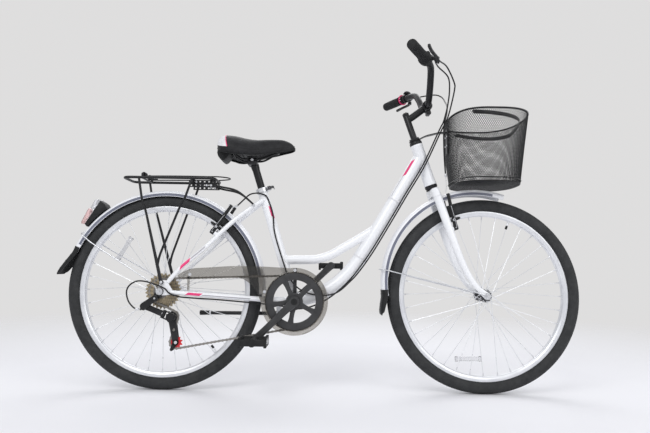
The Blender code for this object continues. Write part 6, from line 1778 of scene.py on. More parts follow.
def skin(rows, chosen=lambda row, column: True):
    """A sheet from rows of points, with the faces that chosen(row, column) picks."""
    width = len(rows[0])
    faces = grid_faces(len(rows), width)
    faces = [face for place, face in enumerate(faces) if chosen(*divmod(place, width - 1))]
    return edited(bare([point for row in rows for point in row], faces), drop_loose_points)


def drop_loose_points(work):
    loose = [point for point in work.verts if not point.link_faces]
    bmesh.ops.delete(work, geom=loose, context="VERTS")
    work.normal_update()


def fan(row, forward):
    """Triangles from a row of points to a tip ahead of its middle."""
    centre = sum(row, Vector()) / len(row)
    tip = Vector((centre.x + forward, 0, centre.z))
    return bare([*row, tip], [(place, place + 1, len(row)) for place in range(len(row) - 1)])


def sealed(mesh, up):
    """The sheet with its doubled points merged and its faces turned up (1) or down (-1)."""
    def seal(work):
        bmesh.ops.remove_doubles(work, verts=work.verts, dist=1e-5)
        bmesh.ops.recalc_face_normals(work, faces=work.faces)
        if sum(face.normal.z for face in work.faces) * up < 0:
            bmesh.ops.reverse_faces(work, faces=work.faces)

    return edited(mesh, seal)


def make_saddle_trim(rows):
    """Pink piping round the panel, black piping along the lower edge, and a seam each side of the nose."""
    low, high = PANEL_COLUMN, len(rows[0]) - PANEL_COLUMN
    line = []
    for point in rows[PANEL_ROWS][low:high]:
        line.append(point + (point - Vector((point.x, 0, 0.80))).normalized() * 0.0003)
    piece("saddle_pink_piping", sweep(line, circle(0.0015, 10)), "pink_film", "seat")
    edge = [row[0] for row in rows] + [row[-1] for row in reversed(rows)]
    piece("saddle_piping", sweep(edge, circle(0.0019, 10), closed=True), "black_plastic", "seat")
    sides = [[row[column] for row in rows[PANEL_ROWS + 2 : -6]] for column in (low, high - 1)]
    seams = [sweep(side, circle(0.0006, 6)) for side in sides]
    piece("saddle_seams", joined(*seams), "black_plastic", "seat")


def make_saddle_base(rows):
    """The moulded base, a shell a little above the lower edge, with ribs and the block under the rear."""
    base = []
    for row in rows[2:-2]:
        x, low, half = row[0].x, row[0].z + 0.0045, abs(row[0].y) * 0.97
        base.append([Vector((x, -half * t, low + 0.010 * (1 - abs(t) ** 2.5))) for t in np.linspace(1, -1, 17)])
    parts = [sealed(skin(base), -1)]
    for x in (0.215, 0.245, 0.275):
        row = min(base, key=lambda points: abs(points[0].x - x))
        rib = [point - ALONG_Z * 0.0012 for point in row[2:-2]]
        parts.append(sweep(rib, bar(0.0012, 0.0022, 0.0006), side=ALONG_X))
    parts.append(block((0.2210, 0, 0.8060), (0.0220, 0.0800, 0.0080), corner=0.0016))
    parts.append(block((0.3640, 0, 0.8060), (0.0220, 0.0260, 0.0080), corner=0.0016))
    parts.append(plate(HEEL_BLOCK, -HEEL_HALF_WIDTH, HEEL_HALF_WIDTH, 0.0022))
    piece("saddle_base", joined(*parts), "black_plastic", "seat")


def make_saddle():
    """Vinyl cover with a white panel at the rear, trim along its seams, and a plastic base below."""
    rows = saddle_surface()
    last = len(rows[0]) - 1 - PANEL_COLUMN

    def on_panel(row, column):
        return row < PANEL_ROWS and PANEL_COLUMN <= column < last

    cover = joined(skin(rows, lambda row, column: not on_panel(row, column)), fan(rows[-1], 0.0028))
    made = piece("saddle_cover", sealed(cover, 1), "saddle_vinyl", "seat", "saddle", angle=60)
    panel = joined(skin(rows, on_panel), fan(rows[0], -0.0018))
    piece("saddle_rear_panel", sealed(panel, 1), "saddle_white", "seat", angle=60)
    make_saddle_trim(rows)
    make_saddle_base(rows)


# Fenders, lamp and rack
FENDER_DEPTH = 0.0210
FRONT_FENDER_CENTRE = Vector((1.0468, 0, 0.3685))
FLAP_DEPTH = 0.0212
FLAP_RIBS = (0.22, 0.42, 0.62, 0.82)
# painted shade band on each fender: its span up the side, its lift off the paint and its steps
SHADE_BAND_SPAN, SHADE_BAND_LIFT, SHADE_BAND_STEPS = (-0.99, -0.52), 0.0003, 5
FENDER_OUTER = [(-1.0, -1.0), (-0.985, -0.62), (-0.90, -0.32), (-0.70, -0.11), (-0.36, -0.02), (0.0, 0.0)]


def fender_section(depth=FENDER_DEPTH, wall=0.0014):
    """An arch open towards the wheel, with its crown at the middle and a rolled edge on each side."""
    half = smooth([(across, 0, up) for across, up in FENDER_OUTER], 3)
    outer = [(p.x * FENDER_HALF_WIDTH, p.z * depth) for p in half]
    outer += [(-x, z) for x, z in reversed(outer[:-1])]
    narrower, lower = 1 - wall / FENDER_HALF_WIDTH, 1 - wall / depth
    inner = [(x * narrower, z * lower - wall * 0.9) for x, z in reversed(outer)]
    inner[0] = (inner[0][0], -depth)
    inner[-1] = (inner[-1][0], -depth)
    return outer + inner


def upwards(path):
    """The direction away from the wheel at each point of a fender's path."""
    return [ALONG_Y.cross(ahead).normalized() for ahead in directions(path, False)]


def fender_edges(path):
    """Rolled wires along the two lower edges of a fender."""
    out, down = FENDER_HALF_WIDTH - 0.0006, FENDER_DEPTH - 0.0008
    edges = []
    for side in (-1, 1):
        row = [point + ALONG_Y * side * out - up * down for point, up in zip(path, upwards(path))]
        edges.append(sweep(row, circle(0.0010, 8)))
    return edges


def fender_painted_shade(path, name, body):
    """Painted shade: a grey band along both lower edges of a fender, darker than its white paint."""
    low, high = SHADE_BAND_SPAN
    sheets = []
    for side in (-1, 1):
        rows = []
        for point, up in zip(path, upwards(path)):
            row = []
            for step in range(SHADE_BAND_STEPS + 1):
                height = low + (high - low) * step / SHADE_BAND_STEPS
                across = 1.0 - 0.014 * (height + 1.0) / 0.38
                out = ALONG_Y * side * (across * FENDER_HALF_WIDTH + SHADE_BAND_LIFT)
                row.append(point + out + up * (height * FENDER_DEPTH))
            rows.append(row)
        sheet = skin(rows)
        if sum(face.normal.y for face in sheet.polygons) * side < 0:
            sheet.flip_normals()
        sheets.append(sheet)
    piece(name, joined(*sheets), "band_grey", body)


def mudflap(name, flap, body):
    """A moulded rubber flap, thicker at its clip and round at its foot, with ribs across it."""
    path = smooth(in_plane(flap), 8)
    ups = upwards(path)
    last = len(path) - 1
    scales = []
    for place, up in enumerate(ups):
        t = place / last
        round_off = math.sqrt(max(0.02, 1 - (max(0.0, t - 0.78) / 0.22) ** 2))
        wide = (1.06 + 0.04 * math.sin(math.pi * t)) * (0.90 + 0.10 * round_off)
        scales.append((wide, (1.04 - 0.46 * t**1.6) * round_off))
        path[place] = path[place] - up * 0.0085 * (1 - round_off)
    parts = [sweep(path, fender_section(FLAP_DEPTH, 0.0022), scales, side=ALONG_Y)]
    section = smooth([(across, 0, rise) for across, rise in FENDER_OUTER[1:]], 3)
    for share in FLAP_RIBS:
        place = int(share * last)
        wide, high = scales[place]
        half = []
        for p in section:
            out, up = ALONG_Y * p.x * FENDER_HALF_WIDTH * wide, ups[place] * p.z * FLAP_DEPTH * high
            half.append(path[place] + out + up)
        parts.append(sweep(half + flipped(reversed(half[:-1])), circle(0.0010, 8)))
    piece(name, joined(*parts), "black_plastic", body)


def make_fender(name, centre, radius, start, end, flap, body):
    path = in_plane(arc(centre, radius, start, end, 96))
    shell = sweep(path, fender_section(), side=ALONG_Y)
    piece(name + "_shell", joined(shell, *fender_edges(path)), "fender_white", body, name, angle=50)
    # painted shade: a grey band along both lower edges of the fender
    fender_painted_shade(path[6:-3], name + "_band", body)
    mudflap(name + "_flap", flap, body)


def make_fenders():
    edge = on_wheel(REAR_AXLE, REAR_FENDER_RADIUS + 0.0012, math.radians(154.5))
    flap = [(edge.x, edge.z), (-0.3160, 0.4530), (-0.3430, 0.4160), (-MUDFLAP_REACH, 0.3800)]
    make_fender("rear_fender", REAR_AXLE, REAR_FENDER_RADIUS, -1, 157.3, flap, "main_frame")
    edge = on_wheel(FRONT_FENDER_CENTRE, FRONT_FENDER_RADIUS + 0.0012, math.radians(185))
    flap = [(edge.x, edge.z), (0.7295, 0.3150), (0.7260, 0.2870), (0.7235, 0.2560)]
    make_fender("front_fender", FRONT_FENDER_CENTRE, FRONT_FENDER_RADIUS, 71.7, 188.9, flap, "steered")
    rivets = []
    for angle in (150.5, 148.0):
        out = on_wheel(Vector(), 1, math.radians(angle))
        for y in (-0.0090, 0.0090):
            spot = REAR_AXLE + out * (REAR_FENDER_RADIUS - 0.0004) + ALONG_Y * y
            rivets.append(fastener("fender_rivet", spot, out))
    piece("rear_fender_rivets", joined(*rivets), "bright_alloy", "main_frame")


def make_fender_stay(name, axle, eye_y, eye_radius, run, hole, body):
    """A wire from one end of the axle over the fender to the other, with an eye at each end."""
    eye = washer(axle, hole, eye_radius, eye_y - 0.0010, eye_y + 0.0010, steps=32)
    half = smooth(run, 6)
    wire = sweep(flipped(reversed(half)) + half, circle(0.0022, 14))
    piece(name + "_wire", joined(wire, *both(eye)), "bright_alloy", body, name)


def make_fender_stays():
    run = [(-0.2868, 0.0120, 0.5185), (-0.2810, 0.0340, 0.5110), (-0.2620, 0.0365, 0.4960)]
    run += [(-0.2300, 0.0410, 0.4740), (-0.0370, 0.0750, 0.3600), (-0.0088, 0.0795, 0.3323)]
    hole = REAR_AXLE_RADIUS + 0.0004
    make_fender_stay("rear_fender_stay", REAR_AXLE, 0.0784, 0.0116, run, hole, "main_frame")
    run = [(0.7245, 0.0120, 0.4092), (0.7310, 0.0340, 0.4085), (0.7520, 0.0355, 0.4055)]
    run += [(0.7990, 0.0370, 0.3945), (1.0190, 0.0545, 0.3430)]
    run += [(1.0450, 0.0579, 0.3365), (1.0664, 0.0579, 0.3296)]
    hole = FRONT_AXLE_RADIUS + 0.0004
    make_fender_stay("front_fender_stay", FRONT_AXLE, 0.0567, 0.0110, run, hole, "steered")


LAMP_FOOT = [(-0.2130, 0.6160), (-0.2290, 0.6270), (-0.2775, 0.5465)]
LAMP_LENS = [(-0.2785, 0.5460), (-0.2525, 0.5900), (-0.2620, 0.6010)]
LAMP_LENS += [(-0.2690, 0.6000), (-0.2905, 0.5540), (-0.2900, 0.5480)]
LAMP_TOP = [(-0.2520, 0.5912), (-0.2300, 0.6275), (-0.2370, 0.6325), (-0.2480, 0.6300), (-0.2615, 0.6022)]
LAMP_MIRROR = [(-0.2782, 0.5468), (-0.2305, 0.6262), (-0.2318, 0.6268), (-0.2794, 0.5474)]
LAMP_SCREW = (-0.2440, 0, 0.5800)
LAMP_HALF_WIDTH, LAMP_LENS_HALF_WIDTH, LAMP_MIRROR_HALF_WIDTH = 0.0245, 0.0225, 0.0215


def make_lamp():
    """A black foot on the fender with a red lens behind it, a clear top, and a mirror between them."""
    foot = arc(REAR_AXLE, REAR_FENDER_RADIUS + 0.0020, 142.0, 127.0, 12) + LAMP_FOOT
    parts = [plate(foot, -LAMP_HALF_WIDTH, LAMP_HALF_WIDTH, 0.0024)]
    for out in (-ALONG_Y, ALONG_Y):
        parts.append(pin(LAMP_SCREW, LAMP_HALF_WIDTH, LAMP_HALF_WIDTH + 0.0008, 0.0022, 16, axis=out))
    piece("rear_lamp_housing", joined(*parts), "black_plastic", "main_frame", "rear_lamp")
    half = LAMP_LENS_HALF_WIDTH
    piece("rear_lamp_lens", plate(LAMP_LENS, -half, half, 0.0022), "lamp_lens", "main_frame")
    piece("rear_lamp_top", plate(LAMP_TOP, -half, half, 0.0022), "clear_plastic", "main_frame")
    half = LAMP_MIRROR_HALF_WIDTH
    piece("rear_lamp_mirror", plate(LAMP_MIRROR, -half, half), "rim_alloy", "main_frame")


RACK_Z = 0.7040
RACK_HALF_WIDTH = 0.0600
RACK_FRONT, RACK_REAR, RACK_CORNER = 0.1630, -0.1430, 0.0280
RACK_WIRE = 0.0046
RACK_ADJUSTER = Vector((0.1180, 0.0350, 0.6893))
RACK_NUTS = ((0.0980, 0.6950), (0.1480, 0.6835), (0.1330, 0.6835))
CLIP_HINGE = Vector((-0.0800, 0, 0.7165))
CLIP_HINGE_HALF = 0.0525
RACK_REAR_LEG = [
    (-0.0890, 0.0600, 0.7020),
    (-0.0750, 0.0608, 0.6260),
    (-0.0610, 0.0625, 0.5930),
    (0.0032, 0.0785, 0.3622),
]
RACK_FRONT_LEG = [
    (0.0880, 0.0600, 0.7020),
    (0.0680, 0.0605, 0.6390),
    (0.0510, 0.0612, 0.6050),
    (-0.0040, 0.0725, 0.4480),
    (-0.0118, 0.0748, 0.4120),
]
RACK_STAY = [
    (0.1450, 0.0352, 0.6870),
    (0.1800, 0.0348, 0.6795),
    (0.2350, 0.0348, 0.6665),
    (0.2830, 0.0385, 0.6300),
    (0.2945, 0.0385, 0.6175),
]


def rack_adjuster():
    """The left perforated plate with two rows of holes."""
    holes = []
    for column in range(6):
        for up in (-0.0060, 0.0060):
            x = RACK_ADJUSTER.x + 0.0150 * (column - 2.5)
            holes.append(pin((x, 0, RACK_ADJUSTER.z + up), 0.030, 0.040, 0.0030, 16))
    return cut(block(RACK_ADJUSTER, (0.0920, 0.0026, 0.0250), corner=0.0008), *holes)


def make_rack():
    """The deck with its cross wires, the legs, and the adjuster plates with their stays and nuts."""
    half = RACK_HALF_WIDTH
    corners = [(RACK_FRONT, half), (RACK_REAR, half), (RACK_REAR, -half), (RACK_FRONT, -half)]
    deck = rounded([(x, y, RACK_Z) for x, y in corners], RACK_CORNER, 10, closed=True)
    parts = [sweep(deck, circle(RACK_WIRE, 20), closed=True)]
    for x in (CLIP_HINGE.x, 0.0880, 0.1480):
        parts.append(pin((x, 0, RACK_Z - 0.001), -half, half, 0.0032, 16))
    parts.append(pin(CLIP_HINGE, -CLIP_HINGE_HALF, CLIP_HINGE_HALF, 0.0027, 16, 0.0004))
    parts += both(block((CLIP_HINGE.x, 0.0515, 0.7115), (0.0080, 0.0028, 0.0170), corner=0.0008))
    for run in (RACK_REAR_LEG, RACK_FRONT_LEG):
        path = rounded(run, 0.0140, 5)
        scales = [(1.0, 1.0)] * (len(path) - 1) + [(0.6, 1.5)]
        parts += both(sweep(path, circle(0.0039, 16), scales, side=ALONG_Y))
    parts += both(washer(RACK_BOLT, 0.0031, 0.0070, 0.0765, 0.0805, steps=28))
    parts += both(rack_adjuster())
    parts += both(sweep(smooth(RACK_STAY, 5), bar(0.0013, 0.0033, 0.0006), side=ALONG_Y))
    piece("rack_frame", joined(*parts), "black_paint", "main_frame", "luggage_rack")
    nuts = []
    for x, z in RACK_NUTS:
        nuts += both(fastener("rack_nut", (x, 0.0340, z), ALONG_Y))
    piece("rack_bolts", joined(*nuts), "bright_alloy", "main_frame")


CLIP_WIRE = 0.0022
CLIP_COIL_RADIUS = 0.0068
CLIP_COIL_PITCH = 0.0052
CLIP_COIL_TURNS = 4
CLIP_COIL_STEPS = 24
CLIP_COIL_END_Y = 0.0420
CLIP_FRONT = [(0.0500, 0.0450, 0.7120), (0.1350, 0.0440, 0.7120), (0.1700, 0.0380, 0.7130)]
CLIP_FRONT += [(0.1950, 0.0240, 0.7130), (0.2050, 0.0080, 0.7130)]


def make_rack_clip():
    """The spring clip: one wire with a coil on each side, an arm along each side and a front loop."""
    coil = []
    for step in range(CLIP_COIL_TURNS * CLIP_COIL_STEPS + 1):
        turns = step / CLIP_COIL_STEPS
        out, down = math.sin(math.tau * turns), math.cos(math.tau * turns)
        y = CLIP_COIL_END_Y - CLIP_COIL_PITCH * (CLIP_COIL_TURNS - turns)
        coil.append((CLIP_HINGE.x - CLIP_COIL_RADIUS * out, y, CLIP_HINGE.z - CLIP_COIL_RADIUS * down))
    _, y, bottom = coil[0]
    foot = [(CLIP_HINGE.x + 0.0300, y, bottom), (CLIP_HINGE.x + 0.0120, y, bottom)]
    arm = [(-0.0500, 0.0450, bottom + 0.0010)] + CLIP_FRONT
    bend = smooth([coil[-1], *arm, *flipped(arm[-1:])], 6)[1:-6]
    half = [Vector(point) for point in foot + coil] + bend
    wire = sweep(half + flipped(reversed(half)), circle(CLIP_WIRE, 12))
    piece("rack_clip_wire", wire, "black_paint", "spring_clip", "rack_clip")


STAND_LENGTH = 0.2720
STAND_FOOT_START, STAND_FOOT_END = STAND_LENGTH - 0.0260, STAND_LENGTH * 1.03
STAND_REST = Vector((-0.996, 0.0846, -0.011)).normalized()


def make_kickstand():
    hub = washer(STAND_PIVOT, 0.0044, 0.0110, -0.0063, 0.0065, STAND_AXIS, 40, edge=0.0010)
    low = STAND_PIVOT + STAND_REST * STAND_FOOT_START
    leg = rod(STAND_PIVOT + STAND_REST * 0.0080, low, 0.0068, 28, 0.0062, edge=0.0006)
    boss_start, boss_end = STAND_PIVOT + STAND_REST * 0.0060, STAND_PIVOT + STAND_REST * 0.0300
    boss = rod(boss_start, boss_end, 0.0086, 28, 0.0070, edge=0.0012)
    piece("kickstand_leg", joined(hub, leg, boss), "black_paint", "stand", "kickstand")
    end = STAND_FOOT_END - STAND_FOOT_START
    profile = [(0, 0), (0.0070, 0), (0.0078, 0.0010), (0.0080, 0.0030), (0.0070, 0.0040), (0.0074, 0.0090)]
    profile += [(0.0082, end - 0.008), (0.0085, end - 0.003), (0.0078, end - 0.0006), (0, end)]
    piece("kickstand_foot", turned(profile, low, STAND_REST, 32), "black_plastic", "stand")
    band = washer(low, 0.0063, 0.0084, -0.0060, -0.0010, STAND_REST, 32)
    piece("kickstand_band", band, "bright_alloy", "stand")


PAD_INNER_Y, PAD_OUTER_Y = RIM_HALF_WIDTH + 0.0012, RIM_HALF_WIDTH + 0.0132
SHOE_LENGTH, SHOE_STEPS = 0.0580, 12


def brake_spring(foot, top):
    """The thin return spring of a brake arm, from its hub to a catch on the arm."""
    middle = foot.lerp(top, 0.5) + ALONG_Y * 0.0035
    return sweep(smooth([foot, foot.lerp(middle, 0.5) + ALONG_Y * 0.0015, middle, top], 6), circle(0.0007, 8))


def brake_shoe(centre, axle):
    """The rubber block along the rim, with three grooves; its centre is in the middle plane."""
    out = (centre - axle).normalized()
    tangent = out.cross(ALONG_Y)
    middle = centre + ALONG_Y * (PAD_INNER_Y + PAD_OUTER_Y) / 2
    path = []
    for step in range(SHOE_STEPS + 1):
        t = step / SHOE_STEPS - 0.5
        path.append(middle + tangent * SHOE_LENGTH * t - out * 0.0012 * (2 * t) ** 2)
    scales = [0.55, 0.9] + [1.0] * (SHOE_STEPS - 3) + [0.9, 0.55]
    shoe = sweep(path, bar((PAD_OUTER_Y - PAD_INNER_Y) / 2 * 0.92, 0.0048, 0.0016), scales, side=ALONG_Y)
    grooves = []
    for share in (-0.25, 0.0, 0.25):
        at = centre + tangent * SHOE_LENGTH * share + ALONG_Y * (PAD_INNER_Y + 0.001)
        grooves.append(block(at, (0.0016, 0.0040, 0.02), tangent, out, corner=0.0002))
    return cut(shoe, *grooves)


def arm_pair(name, mesh, finish, body, *replaced):
    """The left shape and its right mirror, each on its own body."""
    for side, shape in (("_left", mesh), ("_right", mirrored(mesh))):
        piece(name + side, shape, finish, body + side, *[each + side for each in replaced])


def brake_arms(name, stud, out, arm_up, length, inset, pad_up, axle):
    """Both arms of a brake, each with its hub, curved arm and pad; stud and out are the left one's."""
    pivot = stud + out * ARM_CENTRE
    top = pivot + arm_up * length
    top.y = stud.y - inset
    foot = pivot + arm_up * 0.0050
    path = smooth([foot, foot.lerp(top, 0.25), foot.lerp(top, 0.55), top], 6)
    scales = []
    for t in [n / (len(path) - 1) for n in range(len(path))]:
        scales.append((1.12 - 0.30 * t, 1.10 - 0.35 * t + 0.10 * math.sin(math.pi * t)))
    clamp = top - arm_up * 0.004
    black = [washer(pivot, STUD_RADIUS + 0.0004, 0.0085, -0.0072, 0.0066, out, 40, edge=0.0010)]
    black.append(sweep(path, bar(0.0045, 0.0062, 0.0022), scales, side=ALONG_Y))
    black.append(pin(clamp, -0.0050, 0.0050, 0.0052, 28, 0.0008, out))
    arm_pair(name + "_arm", joined(*black), "black_paint", name + "_arm", name + "_brake_arm")

    pad = pivot + arm_up * pad_up
    pad.y = 0
    arm_pair(name + "_pad", brake_shoe(pad, axle), "pad_rubber", name + "_arm")

    bright = [pin(pad, PAD_OUTER_Y - 0.002, stud.y + 0.0015, 0.0030, 20)]
    bright.append(fastener("pad_nut", pad + ALONG_Y * (stud.y + 0.0005), ALONG_Y))
    bright.append(fastener("cable_screw", clamp + out * 0.0050, out))
    spring_foot = pivot + out * 0.002 + ALONG_Y * 0.0092
    bright.append(brake_spring(spring_foot, foot.lerp(top, 0.62) + ALONG_Y * 0.0050))
    bright.append(pin(pivot - out * 0.001, 0.0075, 0.0115, 0.0018, 16, 0.0003))
    for y, radius in ((stud.y - 0.0150, 0.0062), (stud.y - 0.0105, 0.0068)):
        bright.append(washer(pad + ALONG_Y * y, 0.0030, radius, -0.0016, 0.0016, steps=32))
    arm_pair(name + "_arm_hardware", joined(*bright), "bright_alloy", name + "_arm")


def make_rear_brake():
    arm_up = ALONG_Y.cross(REAR_STUD_DIRECTION)
    stud = REAR_STUD + ALONG_Y * REAR_STUD_Y
    brake_arms("rear", stud, REAR_STUD_DIRECTION, arm_up, 0.1080, 0.0095, 0.0210, REAR_AXLE)


# Fork
STEERER_RADIUS = 0.0135
STEERER_TOP = -0.0105
FORK_STUD_DOWN, FORK_STUD_Y = 0.3280, 0.0460
FORK_BLADE = [
    (0.1900, 0.0000, 0.0415, 0.0115, 0.0145),
    (0.2600, 0.0000, 0.0435, 0.0115, 0.0145),
    (0.3400, 0.0000, 0.0460, 0.0112, 0.0135),
    (0.4200, 0.0010, 0.0485, 0.0100, 0.0120),
    (0.4700, 0.0050, 0.0500, 0.0090, 0.0110),
    (0.5100, 0.0125, 0.0515, 0.0080, 0.0100),
    (0.5350, 0.0205, 0.0525, 0.0060, 0.0092),
    (0.5570, 0.0310, 0.0526, 0.0025, 0.0085),
]


CROWN_STEPS = 12


def fork_crown():
    """The crown, which arches over the tyre from one blade to the other."""
    arch, scales = [], []
    for step in range(-CROWN_STEPS, CROWN_STEPS + 1):
        t = step / CROWN_STEPS
        arch.append(steer(0.1905 + 0.0035 * abs(t) ** 3, 0, 0.0470 * t))
        scales.append((1.0, 0.80 + 0.20 * min(1.0, (1 - abs(t)) * 5)))
    return sweep(arch, bar(0.0133, 0.0135, 0.0060), scales, side=STEER_FORWARD)


def make_steerer():
    """The race on the crown, the steerer tube, and the locknut round its top."""
    race = [(0.0139, 0.1778), (0.0203, 0.1778), (0.0210, 0.1784)]
    race += [(0.0206, 0.1802), (0.0180, 0.1812), (0.0139, 0.1812)]
    tube = [(0.0119, STEERER_TOP), (STEERER_RADIUS, STEERER_TOP), (STEERER_RADIUS, 0.18), (0.0119, 0.18)]
    nut = [(0.0136, STEERER_TOP), (0.0166, STEERER_TOP), (0.0180, STEERER_TOP + 0.0010)]
    nut += [(0.0180, -0.0050), (0.0176, -0.0041), (0.0136, -0.0041)]
    parts = []
    for profile, steps in ((race, 64), (tube, 48), (nut, 8)):
        parts.append(turned(profile, HEAD_TOP, STEER_DOWN, steps, ring=True))
    piece("headset_locknut", joined(*parts), "black_paint", "steered")


def make_fork():
    """Two blades with their dropouts, the crown, and a brake boss and a weld bead on each blade."""
    path = smooth([steer(down, forward, y) for down, forward, y, _, _ in FORK_BLADE], 6)
    shapes = smooth([(wide, high, 0) for _, _, _, wide, high in FORK_BLADE], 6)
    top = path[0] - STEER_DOWN * 0.0080
    rise = [top - STEER_DOWN * 0.0040, top]
    scales = [(0.008, 0.010), (0.0112, 0.0140)] + [(shape.x, shape.y) for shape in shapes]
    parts = both(sweep(rise + path, circle(1.0, 32), scales, side=ALONG_Y))
    dropout = plate(capsule(FRONT_AXLE, 0.0120, steer(0.5500, 0.0270), 0.0080, 20), 0.0501, 0.0551)
    hole = pin(FRONT_AXLE, 0.04, 0.07, FRONT_AXLE_RADIUS + 0.0004, 32)
    parts += both(bevelled(cut(dropout, hole), 0.0007))
    parts.append(fork_crown())
    studs = []
    for side in (-1, 1):
        foot = steer(FORK_STUD_DOWN, 0, side * FORK_STUD_Y)
        parts.append(pin(foot, 0, STUD_BOSS_LENGTH, 0.0070, 28, 0.0006, STEER_FORWARD))
        bead = loop(steer(0.2075, 0, side * 0.0420), ALONG_Y * 0.0118, STEER_FORWARD * 0.0147, 64)
        parts.append(sweep(bead, circle(0.0013, 8), closed=True))
        studs.append(pin(foot, 0, STUD_LENGTH, STUD_RADIUS, 20, axis=STEER_FORWARD))
        studs.append(fastener("stud_screw", foot + STEER_FORWARD * (STUD_LENGTH - 0.0005), STEER_FORWARD))
    piece("fork_blades", joined(*parts), "white_paint", "steered", "fork")
    make_steerer()
    piece("fork_bolts", joined(*studs), "bright_alloy", "steered")


# Stem and handlebar
BAR_RADIUS = 0.0111
BAR_CLAMP = Vector((0.8850, 0, 0.9790))
GRIP_END = Vector((0.7795, 0.3234, 1.0717))
GRIP_LENGTH = 0.1021
BAR_INWARDS = Vector((0.4748, -0.8801, 0))
BAR_PLUG = 0.0040
STEM_CLAMP_HALF = 0.0200
GRIP_RIBS = 16


def on_bar(distance, side, forward=0.0, up=0.0):
    """A point inwards from the end of a grip (side 1 is left), ahead of and above the bar."""
    point = GRIP_END + BAR_INWARDS * distance + Vector((0.8801, 0.4748, 0)) * forward
    return Vector((point.x, side * point.y, point.z + up))


def bar_axis(side):
    """The direction along a grip, towards the middle."""
    return Vector((BAR_INWARDS.x, side * BAR_INWARDS.y, 0))


def make_stem():
    """The quill in the steerer, the arm up to the bar, the bar's clamp, and both screws."""
    quill = [(0, -0.1040), (0.0104, -0.1040), (0.0112, -0.1032), (0.0112, -0.0945), (0.0109, -0.0940)]
    quill += [(0.0112, -0.0935), (0.0112, 0.0850), (0, 0.0850)]
    path = smooth([steer(-0.0800), (0.8380, 0, 0.9430), BAR_CLAMP], 10)
    scales = [1.0 + 0.06 * math.sin(math.pi * n / (len(path) - 1)) for n in range(len(path))]
    bore, half = BAR_RADIUS + 0.0005, STEM_CLAMP_HALF
    clamp = [(bore, -half), (0.0163, -half), (0.0175, -half + 0.0014)]
    clamp += [(0.0175, half - 0.0014), (0.0163, half), (bore, half)]
    parts = [turned(quill, HEAD_TOP, STEER_DOWN, 48), sweep(path, circle(0.0115, 36), scales)]
    parts.append(turned(clamp, BAR_CLAMP, ALONG_Y, 48, ring=True))
    parts.append(block((0.8905, 0, 0.9572), (0.0150, 0.0300, 0.0176), corner=0.0030))
    piece("stem_body", joined(*parts), "black_paint", "steered", "stem")
    screws = [fastener("clamp_screw", (0.8960, 0, 0.9580), ALONG_X)]
    screws.append(fastener("stem_screw", HEAD_TOP, STEER_DOWN))
    piece("stem_bolts", joined(*screws), "dark_steel", "steered")


def make_handlebar():
    bend = [(0.8845, 0.0380, 0.9805), (0.8815, 0.0680, 0.9940)]
    bend += [(0.8780, 0.1060, 1.0310), (0.8710, 0.1480, 1.0640)]
    half = [(0.8850, 0.0240, 0.9790)] + smooth(bend + [on_bar(0.1620, 1)], 10)
    half += [on_bar(0.1480, 1), on_bar(BAR_PLUG, 1)]
    tube = sweep(flipped(reversed(half)) + half, circle(BAR_RADIUS, 32))
    piece("handlebar_tube", tube, "black_paint", "steered", "handlebar")


def make_grips():
    bore, floor = BAR_RADIUS + 0.0008, BAR_PLUG - 0.0002
    outer = [(0.0, 0.0), (0.0118, 0.0), (0.0142, 0.0008), (0.0156, 0.0028), (0.0160, 0.0060)]
    for rib in range(GRIP_RIBS):
        start = 0.0100 + rib * 0.0052
        swell = 0.0004 * math.sin(math.pi * rib / GRIP_RIBS)
        outer += [(0.0153 + swell, start), (0.0153 + swell, start + 0.0012), (0.0159 + swell, start + 0.0018)]
        outer += [(0.0161 + swell, start + 0.0030), (0.0159 + swell, start + 0.0044)]
    outer += [(0.0154, 0.0945), (0.0170, 0.0965), (0.0170, GRIP_LENGTH - 0.0006), (0.0164, GRIP_LENGTH)]
    outer += [(bore, GRIP_LENGTH), (bore, floor), (0, floor)]
    for name, side in (("right_grip", -1), ("left_grip", 1)):
        made = turned(outer, on_bar(0, side), bar_axis(side), 48)
        piece(name + "_rubber", made, "grip_rubber", "steered", name)


# Brake levers, twist shifter and bell
PERCH_MIDDLE = {1: 0.1170, -1: 0.1500}
LEVER_FORWARD, LEVER_UP = 0.0330, -0.0080
RIGHT_BRAKE_BARREL = (on_bar(0.1640, -1, 0.0330, 0.0040), on_bar(0.1500, -1, 0.0330, 0.0040))
LEFT_BRAKE_BARREL = (on_bar(0.1320, 1, 0.0330, 0.0040), on_bar(0.1170, 1, 0.0330, 0.0040))
SHIFT_BARREL = (on_bar(0.1620, -1, 0.0120, 0.0150), on_bar(0.1360, -1, 0.0120, 0.0150))


SLEEVE_BORE = BAR_RADIUS + 0.0006
SHIFTER_RIBS, SHIFTER_RIB_MIDDLE = 24, 0.0163
HOUSING_MIDDLE = 0.1310
BELL_MIDDLE = 0.1340


def perch(side):
    """The clamp round the bar and the body ahead of it."""
    axis, centre = bar_axis(side), on_bar(PERCH_MIDDLE[side], side)
    ahead = (on_bar(PERCH_MIDDLE[side], side, 1.0) - centre).normalized()
    ring = washer(centre, SLEEVE_BORE, 0.0158, -0.0075, 0.0075, axis, 48, edge=0.0014)
    run = [(0.0140, 0.0040), (0.0200, 0.0042), (0.0300, 0.0040), (0.0392, 0.0032)]
    path = smooth([centre + ahead * forward + ALONG_Z * up for forward, up in run], 5)
    scales = [0.94] * 5 + [1.0] * 6 + [0.98, 0.95, 0.90, 0.82, 0.66]
    return [ring, sweep(path, bar(0.0075, 0.0044, 0.0020), scales, side=axis)]


def barrel(start, end):
    """The ribbed adjuster in which a cable housing ends."""
    run = (Vector(end) - Vector(start))
    length = run.length
    profile = [(0, 0), (0.0030, 0), (0.0036, 0.0005)]
    for ring in range(4):
        at = 0.0010 + ring * 0.0016
        profile += [(0.0036, at), (0.0042, at + 0.0003), (0.0042, at + 0.0009), (0.0036, at + 0.0012)]
    profile += [(0.0030, 0.0080), (0.0030, length), (0, length)]
    return turned(profile, start, run, 24)


